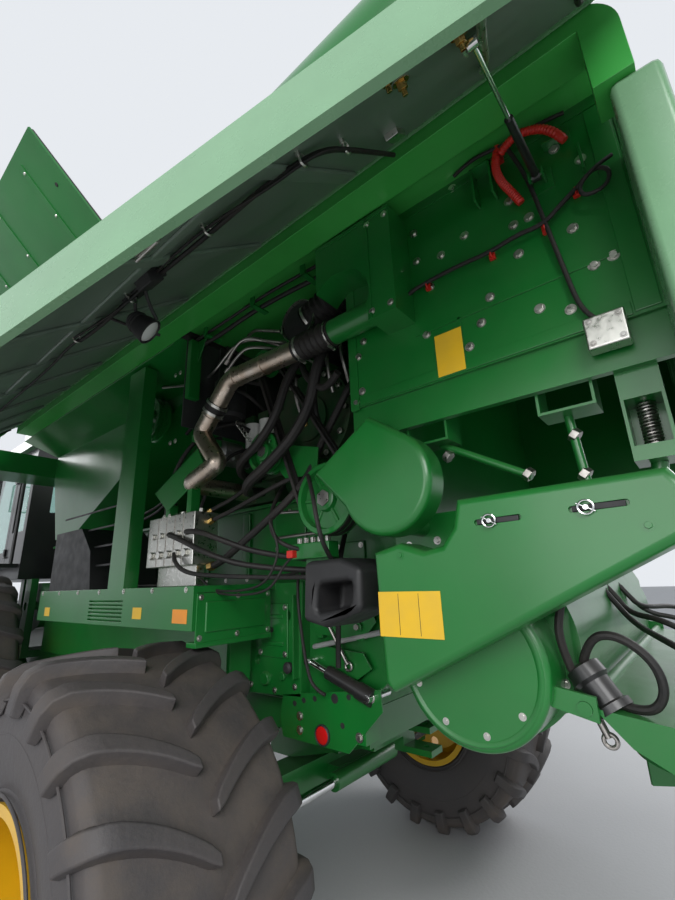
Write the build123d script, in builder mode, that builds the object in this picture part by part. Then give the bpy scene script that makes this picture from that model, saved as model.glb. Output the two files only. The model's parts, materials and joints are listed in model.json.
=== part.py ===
"""Combine harvester, parked with both side panels raised and the grain tank covers open.

Millimetres. The front faces -Y, the machine's left side is +X and the ground is Z = 0.
Most outlines are drawn from the side, as points (y, z), and filled across the machine along X.
"""
from build123d import *
import os
from math import asin, cos, degrees, pi, radians, sin

os.makedirs("parts", exist_ok=True)

# Running gear
WHEELBASE = 3660
REAR_AXLE_Y = 1330
FRONT_AXLE_Y = REAR_AXLE_Y - WHEELBASE
LUG_HEIGHT = 45
LUG_REACH = 125
LUG_ROOT, LUG_SHOULDER, LUG_BOW = 58, 88, 26
SEAT = 0.3
KINGPIN_X = 950
PIN_RADIUS = 35
STEER_ARM = 200
RIM_DISH, RIM_PLATE, RIM_LIP = 70, 16, 20

# name, axle_y, radius, width, rim_radius, centre_x, hub_x, lug_pitch, way the lugs point
WHEELS = (
    ("front", FRONT_AXLE_Y, 1030, 780, 483, 1370, 1180, 281, 1),
    ("rear", REAR_AXLE_Y, 810, 740, 330, 1420, 1210, 254, -1),
)
FRONT_RADIUS = WHEELS[0][2]
REAR_RADIUS = WHEELS[1][2]
FRONT_HUB_X = WHEELS[0][6]
REAR_HUB_X = WHEELS[1][6]

# Main frame and separator body
RAIL_IN, RAIL_OUT = 560, 640
RAIL_LOW, RAIL_TOP = 1150, 1300
FRAME_FRONT, FRAME_REAR = -2400, 2050
BODY_HALF = 690
BODY_FRONT, BODY_REAR = -1880, 2380
BODY_TOP = 2300

# Straw hood, engine deck and roof rails
HOOD_HALF = 1100
HOOD_WALL = 40
HOOD_REAR = 3410
HOOD_LOW = 2380
HOOD_BAND = 2510
DECK_LOW, DECK_TOP = 3290, 3320
RAIL_X0 = HOOD_HALF + 140
RAIL_X1 = RAIL_X0 + 120
ROOF_LOW, ROOF_TOP = 3230, 3330
ROOF_FRONT = -1200

# Raised side panels
PANEL_TUBE = 14
PANEL_HINGE_X, PANEL_HINGE_Z = RAIL_X1 + PANEL_TUBE + 0.5, 3290
PANEL_OPEN = -38.5
PANEL_FRONT, PANEL_REAR = -1180, 3480
PANEL_DEEP, PANEL_SHORT = 1270, 534
PANEL_KNEE_Y = 1170
PANEL_THICK = 24
TUCK_DEPTH = 150
TUCK_TURN = 51.5
STRUT_Y = 3190

# Grain tank and its covers
TANK_HALF = RAIL_X0
TANK_FRONT, TANK_REAR = -1400, 1250
TANK_RIM, TANK_END_RIM = 3320, 3270
TANK_WALL = 20
LID_PIN = 10
LID_HINGE_X, LID_HINGE_Z = TANK_HALF - 12, 3345
LID_OPEN = 45.2
LID_CHORD = 1200

# Unloading auger
AUGER_X, AUGER_Y, AUGER_Z = RAIL_X1 + 175, -1700, 3395
AUGER_RADIUS = 160
REAR_END = 4430
FRONT_END = -REAR_END

# Cab
CAB_HALF = 900
CAB_FLOOR, CAB_TOP = 1990, 3430
CAB_REAR, CAB_FRONT = -2180, -3980
CAB_WALL = 50
DOOR_FRONT, DOOR_REAR = -3650, -2750

# Feeder house
FEEDER_Y, FEEDER_Z = -2150, 1720
FEEDER_HALF = 700
FEEDER_NOSE = -4250
LIFT_X = 600
LIFT_Y, LIFT_Z = -2520, 900
LIFT_PIN_Y, LIFT_PIN_Z = -3300, 940
LIFT_ROD, LIFT_BARREL = 30, 48
EYE_LUG, FOOT_LUG = LIFT_ROD + 6, LIFT_BARREL + 6
LUG_PLATE = 20

# Side shelves
SHELF_TOP = 1860
SHELF_OUT = RAIL_X0


def block(xs, ys, zs, mode=Mode.ADD):
    """A box between two corners, each given as a pair of limits."""
    with Locations(((xs[0] + xs[1]) / 2, (ys[0] + ys[1]) / 2, (zs[0] + zs[1]) / 2)):
        Box(abs(xs[1] - xs[0]), abs(ys[1] - ys[0]), abs(zs[1] - zs[0]), mode=mode)


def side_plate(outline, x0, x1, mode=Mode.ADD):
    """A side outline of points (y, z), filled from one plane across the machine to another."""
    with BuildSketch(Plane.YZ.offset(x0)) as profile:
        with BuildLine():
            Polyline(*outline, close=True)
        make_face()
    extrude(profile.sketch, amount=x1 - x0, mode=mode)


def bar(start, end, radius, mode=Mode.ADD):
    """A round bar from one point to another."""
    run = Vector(*end) - Vector(*start)
    with Locations(Plane(origin=start, z_dir=run)):
        Cylinder(radius, run.length, align=(Align.CENTER, Align.CENTER, Align.MIN), mode=mode)


def disc(y, z, radius, x0, x1, mode=Mode.ADD):
    """A disc on an axle across the machine, between two planes."""
    bar((x0, y, z), (x1, y, z), radius, mode)


def pipe(points, bend, radius):
    """A round pipe along straight runs with rounded bends."""
    with BuildLine() as path:
        FilletPolyline(*points, radius=bend)
    start = path.line @ 0
    with BuildSketch(Plane(origin=start, z_dir=path.line % 0)) as section:
        Circle(radius)
    sweep(section.sketch, path=path.line)


def write_pair(left, name):
    """Writes a left-hand piece and its mirror image."""
    left.label = f"{name}_left"
    export_step(left, f"parts/{name}_left.step")
    right = mirror(left, about=Plane.YZ)
    right.label = f"{name}_right"
    export_step(right, f"parts/{name}_right.step")


# Tyres and rims
def lug_planes(axle_y, radius, centre_x, floor, lugs, start):
    """One plane for each lug, touching a circle round the axle."""
    planes = []
    for k in range(lugs):
        turn = radians(start + 360 * k / lugs)
        planes.append(
            Plane(
                origin=(centre_x, axle_y + floor * sin(turn), radius + floor * cos(turn)),
                x_dir=(1, 0, 0),
                z_dir=(0, sin(turn), cos(turn)),
            )
        )
    return planes


for name, axle_y, radius, width, rim_radius, centre_x, hub_x, lug_pitch, way in WHEELS:
    lugs = round(2 * pi * radius / lug_pitch)
    carcass = radius - LUG_HEIGHT
    half = width / 2
    bead = half - 40
    belly = (rim_radius + carcass) / 2 + 30
    axle = Axis((centre_x, axle_y, radius), (1, 0, 0))
    lug_floor = carcass - 60
    lug_top = (radius**2 - LUG_REACH**2) ** 0.5
    lug_turn = degrees(asin(LUG_REACH / radius))
    with BuildPart() as tyre:
        with BuildSketch(Plane.XZ.offset(-axle_y)):
            with BuildLine():
                for wall in (-1, 1):
                    ThreePointArc(
                        (centre_x + wall * bead, radius + rim_radius),
                        (centre_x + wall * half, radius + belly),
                        (centre_x + wall * (half - 40), radius + carcass),
                    )
                Line((centre_x - half + 40, radius + carcass), (centre_x + half - 40, radius + carcass))
                Line((centre_x - bead, radius + rim_radius), (centre_x + bead, radius + rim_radius))
            make_face()
        revolve(axis=axle)
        for side in (1, -1):
            first = 180 - lug_turn + (side < 0) * 180 / lugs
            planes = lug_planes(axle_y, radius, centre_x, lug_floor, lugs, first)
            with BuildSketch(*planes):
                with BuildLine():
                    inner, outer = side * 12, side * (half - 8)
                    middle = (inner + outer) / 2
                    ThreePointArc(
                        (inner, -way * LUG_REACH),
                        (middle, way * (LUG_BOW - LUG_SHOULDER / 2)),
                        (outer, way * (LUG_REACH - LUG_SHOULDER)),
                    )
                    Line((outer, way * (LUG_REACH - LUG_SHOULDER)), (outer, way * LUG_REACH))
                    ThreePointArc(
                        (outer, way * LUG_REACH),
                        (middle, way * (LUG_BOW + LUG_ROOT / 2)),
                        (inner, way * (LUG_ROOT - LUG_REACH)),
                    )
                    Line((inner, way * (LUG_ROOT - LUG_REACH)), (inner, -way * LUG_REACH))
                make_face()
            extrude(amount=lug_top - lug_floor)
    write_pair(tyre.part, f"{name}_tyre")

    barrel_out = rim_radius - SEAT
    barrel_in = rim_radius - 14
    dish_radius = rim_radius * 0.82
    with BuildPart() as rim:
        with BuildSketch(Plane.XZ.offset(-axle_y)):
            with Locations((centre_x, radius + (barrel_in + barrel_out) / 2)):
                Rectangle(2 * (bead + RIM_LIP), barrel_out - barrel_in)
            for end in (-1, 1):
                with Locations((centre_x + end * (bead + RIM_LIP), radius + rim_radius + 4)):
                    Rectangle(12, 36)
            with BuildLine():
                Polyline(
                    (hub_x, radius + 60),
                    (hub_x, radius + dish_radius),
                    (hub_x + RIM_DISH, radius + barrel_in + 2),
                    (hub_x + RIM_DISH + RIM_PLATE, radius + barrel_in + 2),
                    (hub_x + RIM_PLATE, radius + dish_radius - RIM_PLATE / 2),
                    (hub_x + RIM_PLATE, radius + 60),
                    close=True,
                )
            make_face()
            with Locations((hub_x + 45, radius + 70)):
                Rectangle(90, 100)
        revolve(axis=axle)
        with BuildSketch(Plane.YZ.offset(hub_x + 16)):
            with Locations((axle_y, radius)):
                with PolarLocations(rim_radius * 0.68, 8):
                    Circle(rim_radius * 0.1)
        extrude(amount=-16, mode=Mode.SUBTRACT)
    write_pair(rim.part, f"{name}_rim")


# Main frame
with BuildPart() as main_frame:
    for side in (-1, 1):
        block((side * RAIL_IN, side * RAIL_OUT), (FRAME_FRONT, FRAME_REAR), (RAIL_LOW, RAIL_TOP))
    for y, depth in ((FRAME_FRONT + 50, 100), (-1750, 100), (1040, 100), (REAR_AXLE_Y, 300), (2000, 100)):
        block((-RAIL_IN, RAIL_IN), (y - depth / 2, y + depth / 2), (RAIL_LOW, RAIL_TOP))
    block((-170, 170), (REAR_AXLE_Y - 140, REAR_AXLE_Y + 140), (900, RAIL_LOW))
    for side in (-1, 1):
        for front, rear in ((FRAME_FRONT, FRAME_FRONT + 100), (-2230, -2070)):
            block((side * RAIL_OUT, side * 800), (front, rear), (1235, RAIL_TOP))
            block((side * 735, side * 800), (front, rear), (RAIL_TOP, CAB_FLOOR))
        disc(FEEDER_Y, FEEDER_Z, 41, side * 730, side * 805, Mode.SUBTRACT)
main_frame.part.label = "main_frame"
export_step(main_frame.part, "parts/main_frame.step")


# Front axle with its final drives
with BuildPart() as front_axle:
    block((-700, 700), (FRONT_AXLE_Y - 110, FRONT_AXLE_Y + 110), (930, RAIL_LOW))
    block((-260, 160), (FRONT_AXLE_Y + 110, FRONT_AXLE_Y + 450), (850, RAIL_LOW))
    for side in (-1, 1):
        disc(FRONT_AXLE_Y, FRONT_RADIUS, 200, side * 690, side * 960)
        disc(FRONT_AXLE_Y, FRONT_RADIUS, 150, side * 960, side * (FRONT_HUB_X - SEAT))
        for edge in (FOOT_LUG, -FOOT_LUG - LUG_PLATE):
            side_plate(
                (
                    (FRONT_AXLE_Y - 110, 1100),
                    (LIFT_Y - 40, LIFT_Z + 40),
                    (LIFT_Y - 40, LIFT_Z - 40),
                    (FRONT_AXLE_Y - 110, 935),
                ),
                side * LIFT_X + edge,
                side * LIFT_X + edge + LUG_PLATE,
            )
        disc(LIFT_Y, LIFT_Z, 20, side * LIFT_X - FOOT_LUG, side * LIFT_X + FOOT_LUG)
front_axle.part.label = "front_axle"
export_step(front_axle.part, "parts/front_axle.step")


# Steered rear axle with its double-ended cylinder
STEER_Y = REAR_AXLE_Y + STEER_ARM
YOKE_TOP, YOKE_LOW = REAR_RADIUS + 95, REAR_RADIUS - 95
YOKE_PLATE = 40
with BuildPart() as rear_axle:
    block((-820, 820), (REAR_AXLE_Y - 85, REAR_AXLE_Y + 85), (REAR_RADIUS - 85, 900 - SEAT))
    for side in (-1, 1):
        block(
            (side * 790, side * 840),
            (REAR_AXLE_Y - 75, REAR_AXLE_Y + 75),
            (YOKE_LOW - YOKE_PLATE, YOKE_TOP + YOKE_PLATE),
        )
        for low in (YOKE_LOW - YOKE_PLATE, YOKE_TOP):
            block((side * 800, side * KINGPIN_X), (REAR_AXLE_Y - 60, REAR_AXLE_Y + 60), (low, low + YOKE_PLATE))
            bar((side * KINGPIN_X, REAR_AXLE_Y, low), (side * KINGPIN_X, REAR_AXLE_Y, low + YOKE_PLATE), 60)
        bar(
            (side * KINGPIN_X, REAR_AXLE_Y, YOKE_LOW),
            (side * KINGPIN_X, REAR_AXLE_Y, YOKE_TOP),
            PIN_RADIUS,
        )
    block((-200, 200), (REAR_AXLE_Y + 85, STEER_Y - 30), (REAR_RADIUS - 40, REAR_RADIUS + 40))
    disc(STEER_Y, REAR_RADIUS, 45, -290, 290)
    disc(STEER_Y, REAR_RADIUS, 26, -290, 290, Mode.SUBTRACT)
rear_axle.part.label = "rear_axle"
export_step(rear_axle.part, "parts/rear_axle.step")


# Steering knuckles with their spindles and slotted arms
ARM_LOW = REAR_RADIUS + 30
with BuildPart() as knuckle:
    bar((KINGPIN_X, REAR_AXLE_Y, YOKE_LOW + 3), (KINGPIN_X, REAR_AXLE_Y, YOKE_TOP - 3), 68)
    disc(REAR_AXLE_Y, REAR_RADIUS, 55, KINGPIN_X, REAR_HUB_X - SEAT)
    disc(REAR_AXLE_Y, REAR_RADIUS, 95, REAR_HUB_X - 25, REAR_HUB_X - SEAT)
    block((KINGPIN_X - 40, KINGPIN_X + 40), (REAR_AXLE_Y, REAR_AXLE_Y + STEER_ARM + 60), (ARM_LOW, ARM_LOW + 24))
    block(
        (KINGPIN_X - 15, KINGPIN_X + 15),
        (REAR_AXLE_Y + STEER_ARM - 16, REAR_AXLE_Y + STEER_ARM + 42),
        (ARM_LOW, ARM_LOW + 24),
        Mode.SUBTRACT,
    )
    bar(
        (KINGPIN_X, REAR_AXLE_Y, YOKE_LOW),
        (KINGPIN_X, REAR_AXLE_Y, YOKE_TOP),
        PIN_RADIUS + 0.5,
        Mode.SUBTRACT,
    )
write_pair(knuckle.part, "steering_knuckle")


# Steering rod, sliding in the cylinder on the rear axle
with BuildPart() as steering_rod:
    disc(STEER_Y, REAR_RADIUS, 25, -KINGPIN_X, KINGPIN_X)
    for side in (-1, 1):
        bar((side * KINGPIN_X, STEER_Y, REAR_RADIUS - 26), (side * KINGPIN_X, STEER_Y, REAR_RADIUS + 25), 32)
        bar((side * KINGPIN_X, STEER_Y, REAR_RADIUS), (side * KINGPIN_X, STEER_Y, ARM_LOW + 34), 11)
steering_rod.part.label = "steering_rod"
export_step(steering_rod.part, "parts/steering_rod.step")


# Separator body: the closed housing between the wheels, its cleaning shoe and grain elevators
BODY_OUTLINE = (
    (BODY_FRONT, RAIL_TOP),
    (FRAME_REAR, RAIL_TOP),
    (BODY_REAR, 1600),
    (BODY_REAR, BODY_TOP),
    (BODY_FRONT, BODY_TOP),
)
SHOE_HALF = RAIL_IN - 10
FAN_Y, FAN_Z, FAN_RADIUS = -1280, 1000, 300
SHOE_OUTLINE = (
    (FAN_Y - FAN_RADIUS, RAIL_TOP),
    (FAN_Y - FAN_RADIUS, FAN_Z),
    (FAN_Y, FAN_Z - FAN_RADIUS),
    (-300, 820),
    (500, 900),
    (900, RAIL_LOW),
    (900, RAIL_TOP),
)
ELEVATOR_DEPTH = 170
# front, rear, low end
ELEVATORS = (
    (-1080, -860, 760),
    (-560, -400, 900),
)
AIR_BOX_IN = 905
with BuildPart() as separator_body:
    side_plate(BODY_OUTLINE, -BODY_HALF, BODY_HALF)
    side_plate(SHOE_OUTLINE, -SHOE_HALF, SHOE_HALF)
    disc(FAN_Y, FAN_Z, FAN_RADIUS, -SHOE_HALF, SHOE_HALF)
    for front, rear, low in ELEVATORS:
        block((-BODY_HALF - ELEVATOR_DEPTH, -BODY_HALF), (front, rear), (low, BODY_TOP - 10))
        block((-BODY_HALF, -RAIL_OUT - 10), (front, rear), (low, RAIL_TOP))
    block((BODY_HALF, AIR_BOX_IN - SEAT), (2200, 2300), (1780, 1860))
separator_body.part.label = "separator_body"
export_step(separator_body.part, "parts/separator_body.step")


# Straw hood: side walls, front wall and roof, open below and behind.
# Its left wall carries an air duct with a notch for the charge pipe, and both walls carry strut brackets.
# Under the left wall hang two channels with stay rods, and a spring box with its bent lever
HOOD_FRONT_LOW = 2050
DUCT_LOW, DUCT_TOP = 2770, 3225
DUCT_OUT = RAIL_X0 - 4
PIPE_X, PIPE_Z = HOOD_HALF + 60, 2850
STUB_END = 2580 - SEAT
STRUT_FOOT_X, STRUT_FOOT_Z = HOOD_HALF + 40, 3070
STRUT_RADIUS = 12
STRUT_LUG = STRUT_RADIUS + 5
STRUT_PIN = 8
CHANNELS, CHANNEL_HALF, CHANNEL_LOW = (2680, 3130), 78, 2320
CHANNEL_IN = HOOD_HALF - 150
with BuildPart() as straw_hood:
    inside = HOOD_HALF - HOOD_WALL
    block((-inside, inside), (BODY_REAR, BODY_REAR + HOOD_WALL), (HOOD_FRONT_LOW, DECK_LOW))
    block((-inside, inside), (BODY_REAR + HOOD_WALL, HOOD_REAR), (DECK_LOW - HOOD_WALL, DECK_LOW))
    block((HOOD_HALF, DUCT_OUT), (2330, 2700), (DUCT_LOW, DUCT_TOP))
    block((HOOD_HALF, DUCT_OUT + 1), (2320, STUB_END + SEAT), (DUCT_LOW - 5, PIPE_Z + 50), Mode.SUBTRACT)
    disc(2440, PIPE_Z + 50, 150, HOOD_HALF, DUCT_OUT + 1, Mode.SUBTRACT)
    for side in (-1, 1):
        inner, outer = side * inside, side * HOOD_HALF
        block((inner, outer), (BODY_REAR, HOOD_REAR), (HOOD_BAND, DECK_LOW))
        block((inner, side * (HOOD_HALF - 14)), (BODY_REAR, HOOD_REAR), (HOOD_LOW, HOOD_BAND))
        block(
            (outer, side * (HOOD_HALF + 8)),
            (STRUT_Y - 40, STRUT_Y + 40),
            (STRUT_FOOT_Z - 40, STRUT_FOOT_Z + 40),
        )
        for y in (STRUT_Y - STRUT_LUG - 6, STRUT_Y + STRUT_LUG):
            block((outer, side * (STRUT_FOOT_X + 14)), (y, y + 6), (STRUT_FOOT_Z - 14, STRUT_FOOT_Z + 14))
        bar(
            (side * STRUT_FOOT_X, STRUT_Y - STRUT_LUG, STRUT_FOOT_Z),
            (side * STRUT_FOOT_X, STRUT_Y + STRUT_LUG, STRUT_FOOT_Z),
            STRUT_PIN,
        )
    for y in CHANNELS:
        for edge in (y - CHANNEL_HALF, y + CHANNEL_HALF - 8):
            side_plate(
                (
                    (edge, HOOD_BAND + 8),
                    (edge + 8, HOOD_BAND + 8),
                    (edge + 8, CHANNEL_LOW),
                    (edge, CHANNEL_LOW),
                ),
                CHANNEL_IN,
                inside,
            )
        block((CHANNEL_IN, inside), (y - CHANNEL_HALF, y + CHANNEL_HALF), (CHANNEL_LOW - 8, CHANNEL_LOW))
    bar((CHANNEL_IN + 40, CHANNELS[0] + 20, CHANNEL_LOW - 4), (CHANNEL_IN + 40, 2990, 2150), 13)
    bar((CHANNEL_IN + 40, CHANNELS[1] - 10, CHANNEL_LOW - 4), (CHANNEL_IN + 40, CHANNELS[1] + 5, 2110), 13)
    block((CHANNEL_IN, inside), (3262, 3362), (2130, HOOD_BAND + 8))
    block((CHANNEL_IN + 8, inside + 1), (3270, 3354), (2170, 2300), Mode.SUBTRACT)
    with BuildLine() as lever:
        FilletPolyline(
            (CHANNEL_IN + 40, 3312, 2131),
            (CHANNEL_IN + 40, 3300, 2060),
            (CHANNEL_IN + 40, 3325, 1985),
            (CHANNEL_IN + 40, 3370, 1960),
            radius=30,
        )
    with BuildSketch(Plane(origin=lever.line @ 0, z_dir=lever.line % 0)) as lever_round:
        Circle(20)
    sweep(lever_round.sketch, path=lever.line)
straw_hood.part.label = "straw_hood"
export_step(straw_hood.part, "parts/straw_hood.step")


# Roof rails, bent down at the rear, and the engine deck between them
RAIL_BEND = 150
RAIL_REAR = 3470
RAIL_FOOT = 3020
with BuildPart() as roof_rails:
    for side in (-1, 1):
        with BuildSketch(Plane.YZ.offset(side * RAIL_X0)):
            with BuildLine():
                Polyline(
                    (RAIL_REAR, ROOF_TOP - RAIL_BEND),
                    (RAIL_REAR, RAIL_FOOT),
                    (RAIL_REAR - 90, RAIL_FOOT),
                    (RAIL_REAR - 90, ROOF_LOW),
                    (ROOF_FRONT, ROOF_LOW),
                    (ROOF_FRONT, ROOF_TOP),
                    (RAIL_REAR - RAIL_BEND, ROOF_TOP),
                )
                RadiusArc(
                    (RAIL_REAR - RAIL_BEND, ROOF_TOP),
                    (RAIL_REAR, ROOF_TOP - RAIL_BEND),
                    RAIL_BEND,
                )
            make_face()
        extrude(amount=side * (RAIL_X1 - RAIL_X0))
    block((-RAIL_X0, RAIL_X0), (TANK_REAR + 20, HOOD_REAR), (DECK_LOW, DECK_TOP))
    block((-350, -50), (1490, 1790), (DECK_LOW, DECK_TOP), Mode.SUBTRACT)
roof_rails.part.label = "roof_rails"
export_step(roof_rails.part, "parts/roof_rails.step")


# Rear fascia: pale corner panels and the rear wall of the hood
FASCIA_REAR = 3520
with BuildPart() as rear_fascia:
    for side in (-1, 1):
        side_plate(
            (
                (HOOD_REAR, 2300),
                (HOOD_REAR + 60, 2300),
                (FASCIA_REAR, 2600),
                (FASCIA_REAR, RAIL_FOOT),
                (HOOD_REAR, RAIL_FOOT),
            ),
            side * (HOOD_HALF - 20),
            side * (RAIL_X1 - 15),
        )
    block((-HOOD_HALF + 20, HOOD_HALF - 20), (HOOD_REAR, HOOD_REAR + 50), (2450, DECK_LOW))
rear_fascia.part.label = "rear_fascia"
export_step(rear_fascia.part, "parts/rear_fascia.step")


# Grain tank: open bin on a waist, its floor rising to the rear, with the auger's elbow in front
FLOOR_FRONT, FLOOR_REAR = -1150, -750
FLOOR_RISE = 0.475
TANK_BACK_LOW = BODY_TOP + (TANK_REAR - FLOOR_REAR) * FLOOR_RISE
TANK_FRONT_LOW = 2900
TANK_WAIST, WAIST_TOP, FLARE_TOP = 940, 3120, 3225
ELBOW_TOP = 3190
LID_SEATS = (-1300, -700, -75, 550, 1150)


def tank_sides(shift, mode):
    """Cuts the two side recesses under the tank's flare, moved inwards by a wall."""
    for side in (-1, 1):
        with BuildSketch(Plane.XZ.offset(-TANK_REAR - 50)) as recess:
            with BuildLine():
                Polyline(
                    (side * (TANK_WAIST - shift), BODY_TOP - 50),
                    (side * (TANK_WAIST - shift), WAIST_TOP + shift),
                    (side * (TANK_HALF - shift), FLARE_TOP + shift),
                    (side * (TANK_HALF + 50), FLARE_TOP + shift),
                    (side * (TANK_HALF + 50), BODY_TOP - 50),
                    close=True,
                )
            make_face()
        extrude(recess.sketch, amount=TANK_REAR - TANK_FRONT + 100, mode=mode)


with BuildPart() as tank_space:
    side_plate(
        (
            (TANK_FRONT + TANK_WALL, TANK_RIM + 10),
            (TANK_FRONT + TANK_WALL, TANK_FRONT_LOW + 8),
            (FLOOR_FRONT + 14, BODY_TOP + TANK_WALL),
            (FLOOR_REAR - 4, BODY_TOP + TANK_WALL),
            (TANK_REAR - TANK_WALL, TANK_BACK_LOW + 14),
            (TANK_REAR - TANK_WALL, TANK_RIM + 10),
        ),
        -TANK_HALF + TANK_WALL,
        TANK_HALF - TANK_WALL,
    )
    tank_sides(TANK_WALL, Mode.SUBTRACT)

with BuildPart() as grain_tank:
    side_plate(
        (
            (TANK_FRONT, TANK_RIM),
            (TANK_FRONT, TANK_FRONT_LOW),
            (FLOOR_FRONT, BODY_TOP),
            (FLOOR_REAR, BODY_TOP),
            (TANK_REAR, TANK_BACK_LOW),
            (TANK_REAR, TANK_RIM),
        ),
        -TANK_HALF,
        TANK_HALF,
    )
    tank_sides(0, Mode.SUBTRACT)
    add(tank_space.part, mode=Mode.SUBTRACT)
    inside = TANK_HALF - TANK_WALL
    for y in (TANK_FRONT, TANK_REAR - TANK_WALL):
        block((-inside, inside), (y - 1, y + TANK_WALL + 1), (TANK_END_RIM, TANK_RIM + 1), Mode.SUBTRACT)
    for side in (-1, 1):
        for y in LID_SEATS:
            block(
                (side * (LID_HINGE_X - 8), side * (LID_HINGE_X + 8)),
                (y - 35, y + 35),
                (TANK_RIM, LID_HINGE_Z - LID_PIN - SEAT),
            )
    block((700, AUGER_X), (AUGER_Y - 150, TANK_FRONT), (2920, 3110))
    bar((AUGER_X, AUGER_Y, 2850), (AUGER_X, AUGER_Y, ELBOW_TOP), AUGER_RADIUS + 10)
grain_tank.part.label = "grain_tank"
export_step(grain_tank.part, "parts/grain_tank.step")


# Side covers of the tank, hinged on its rims and flared outwards
LID_THICK = 12
LID_RIBS, LID_RIB, LID_RIB_HIGH, LID_FAN = (-1080, -560, -75, 410, 930), 22, 5, 0.9
open_turn = radians(LID_OPEN)
with BuildPart() as tank_cover:
    cover_plane = Plane(
        origin=(LID_HINGE_X, 0, LID_HINGE_Z),
        x_dir=(0, 1, 0),
        z_dir=(sin(open_turn), 0, -cos(open_turn)),
    )
    with BuildSketch(cover_plane.offset(-LID_THICK / 2)):
        with BuildLine():
            Polyline(
                (TANK_FRONT + 20, 0),
                (TANK_REAR - 20, 0),
                (TANK_REAR - 162, LID_CHORD),
                (TANK_FRONT + 160, LID_CHORD),
                close=True,
            )
        make_face()
    extrude(amount=LID_THICK)
    bar((LID_HINGE_X, TANK_FRONT + 20, LID_HINGE_Z), (LID_HINGE_X, TANK_REAR - 20, LID_HINGE_Z), LID_PIN)
    with BuildSketch(cover_plane.offset(LID_THICK / 2)) as ribs:
        for y in LID_RIBS:
            with BuildLine():
                Polyline(
                    (y - LID_RIB, 60),
                    (y + LID_RIB, 60),
                    (y * LID_FAN + LID_RIB, LID_CHORD - 60),
                    (y * LID_FAN - LID_RIB, LID_CHORD - 60),
                    close=True,
                )
            make_face()
    extrude(ribs.sketch, amount=LID_RIB_HIGH)
write_pair(tank_cover.part, "tank_cover")


# Raised side panels: a flat skin, its hinge tube, the tucked lower band and two lugs for the strut
panel_turn = radians(PANEL_OPEN)
skin_down = Vector(cos(panel_turn), 0, sin(panel_turn))
skin_out = Vector(-sin(panel_turn), 0, cos(panel_turn))
STRUT_DOWN, STRUT_OFF = 383, 38
PANEL_EDGE = (
    (PANEL_FRONT, PANEL_DEEP),
    (PANEL_KNEE_Y, PANEL_DEEP),
    (PANEL_REAR, PANEL_SHORT),
)


def on_skin(y, down, out=0.0):
    """A point of the left panel, from its place along the hinge, down the skin and off it."""
    hinge = Vector(PANEL_HINGE_X, y, PANEL_HINGE_Z)
    return hinge + skin_down * down + skin_out * out


with BuildPart() as side_panel:
    skin_plane = Plane(origin=on_skin(0, 0), x_dir=(0, 1, 0), z_dir=-skin_out)
    with BuildSketch(skin_plane.offset(-PANEL_THICK / 2)):
        with BuildLine():
            Polyline((PANEL_REAR, 0), (PANEL_FRONT, 0), *PANEL_EDGE, close=True)
        make_face()
    extrude(amount=PANEL_THICK)
    bar(on_skin(PANEL_FRONT, 0), on_skin(PANEL_REAR, 0), PANEL_TUBE)
    for (y0, s0), (y1, s1) in zip(PANEL_EDGE[:-1], PANEL_EDGE[1:]):
        along = (on_skin(y1, s1) - on_skin(y0, s0)).normalized()
        across = along.cross(skin_out)
        tuck = (across * cos(radians(TUCK_TURN)) - skin_out * sin(radians(TUCK_TURN))).normalized()
        band_plane = Plane(origin=on_skin(y0, s0), x_dir=along, z_dir=along.cross(tuck))
        reach = (on_skin(y1, s1) - on_skin(y0, s0)).length
        with BuildSketch(band_plane.offset(-PANEL_THICK / 2)):
            with BuildLine():
                Polyline((0, -6), (reach, -6), (reach, TUCK_DEPTH), (0, TUCK_DEPTH), close=True)
            make_face()
        extrude(amount=PANEL_THICK)
    for y in (STRUT_Y - STRUT_LUG - 3, STRUT_Y + STRUT_LUG + 3):
        with Locations(Plane(origin=on_skin(y, STRUT_DOWN, -31), x_dir=(0, 1, 0), z_dir=skin_out)):
            Box(6, 28, 40)
write_pair(side_panel.part, "side_panel")


# Gas struts that hold the panels up, between the hood wall and the skin
strut_foot = Vector(STRUT_FOOT_X, STRUT_Y, STRUT_FOOT_Z)
strut_head = on_skin(STRUT_Y, STRUT_DOWN, -STRUT_OFF)
strut_run = (strut_head - strut_foot).normalized()
across = Vector(0, STRUT_RADIUS, 0)
STRUT_BARREL, STRUT_ROD = 265, 270
with BuildPart() as strut_barrel:
    bar(strut_foot + strut_run * 12, strut_foot + strut_run * STRUT_BARREL, STRUT_RADIUS)
    bar(strut_foot + strut_run * 20, strut_foot + strut_run * (STRUT_BARREL + 1), 6.5, Mode.SUBTRACT)
    bar(strut_foot - across, strut_foot + across, 16)
    bar(strut_foot - across, strut_foot + across, STRUT_PIN + 0.5, Mode.SUBTRACT)
write_pair(strut_barrel.part, "strut_barrel")

with BuildPart() as strut_rod:
    bar(strut_head - strut_run * STRUT_ROD, strut_head - strut_run * 8, 6)
    bar(strut_head - across, strut_head + across, 13)
write_pair(strut_rod.part, "strut_rod")


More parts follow.
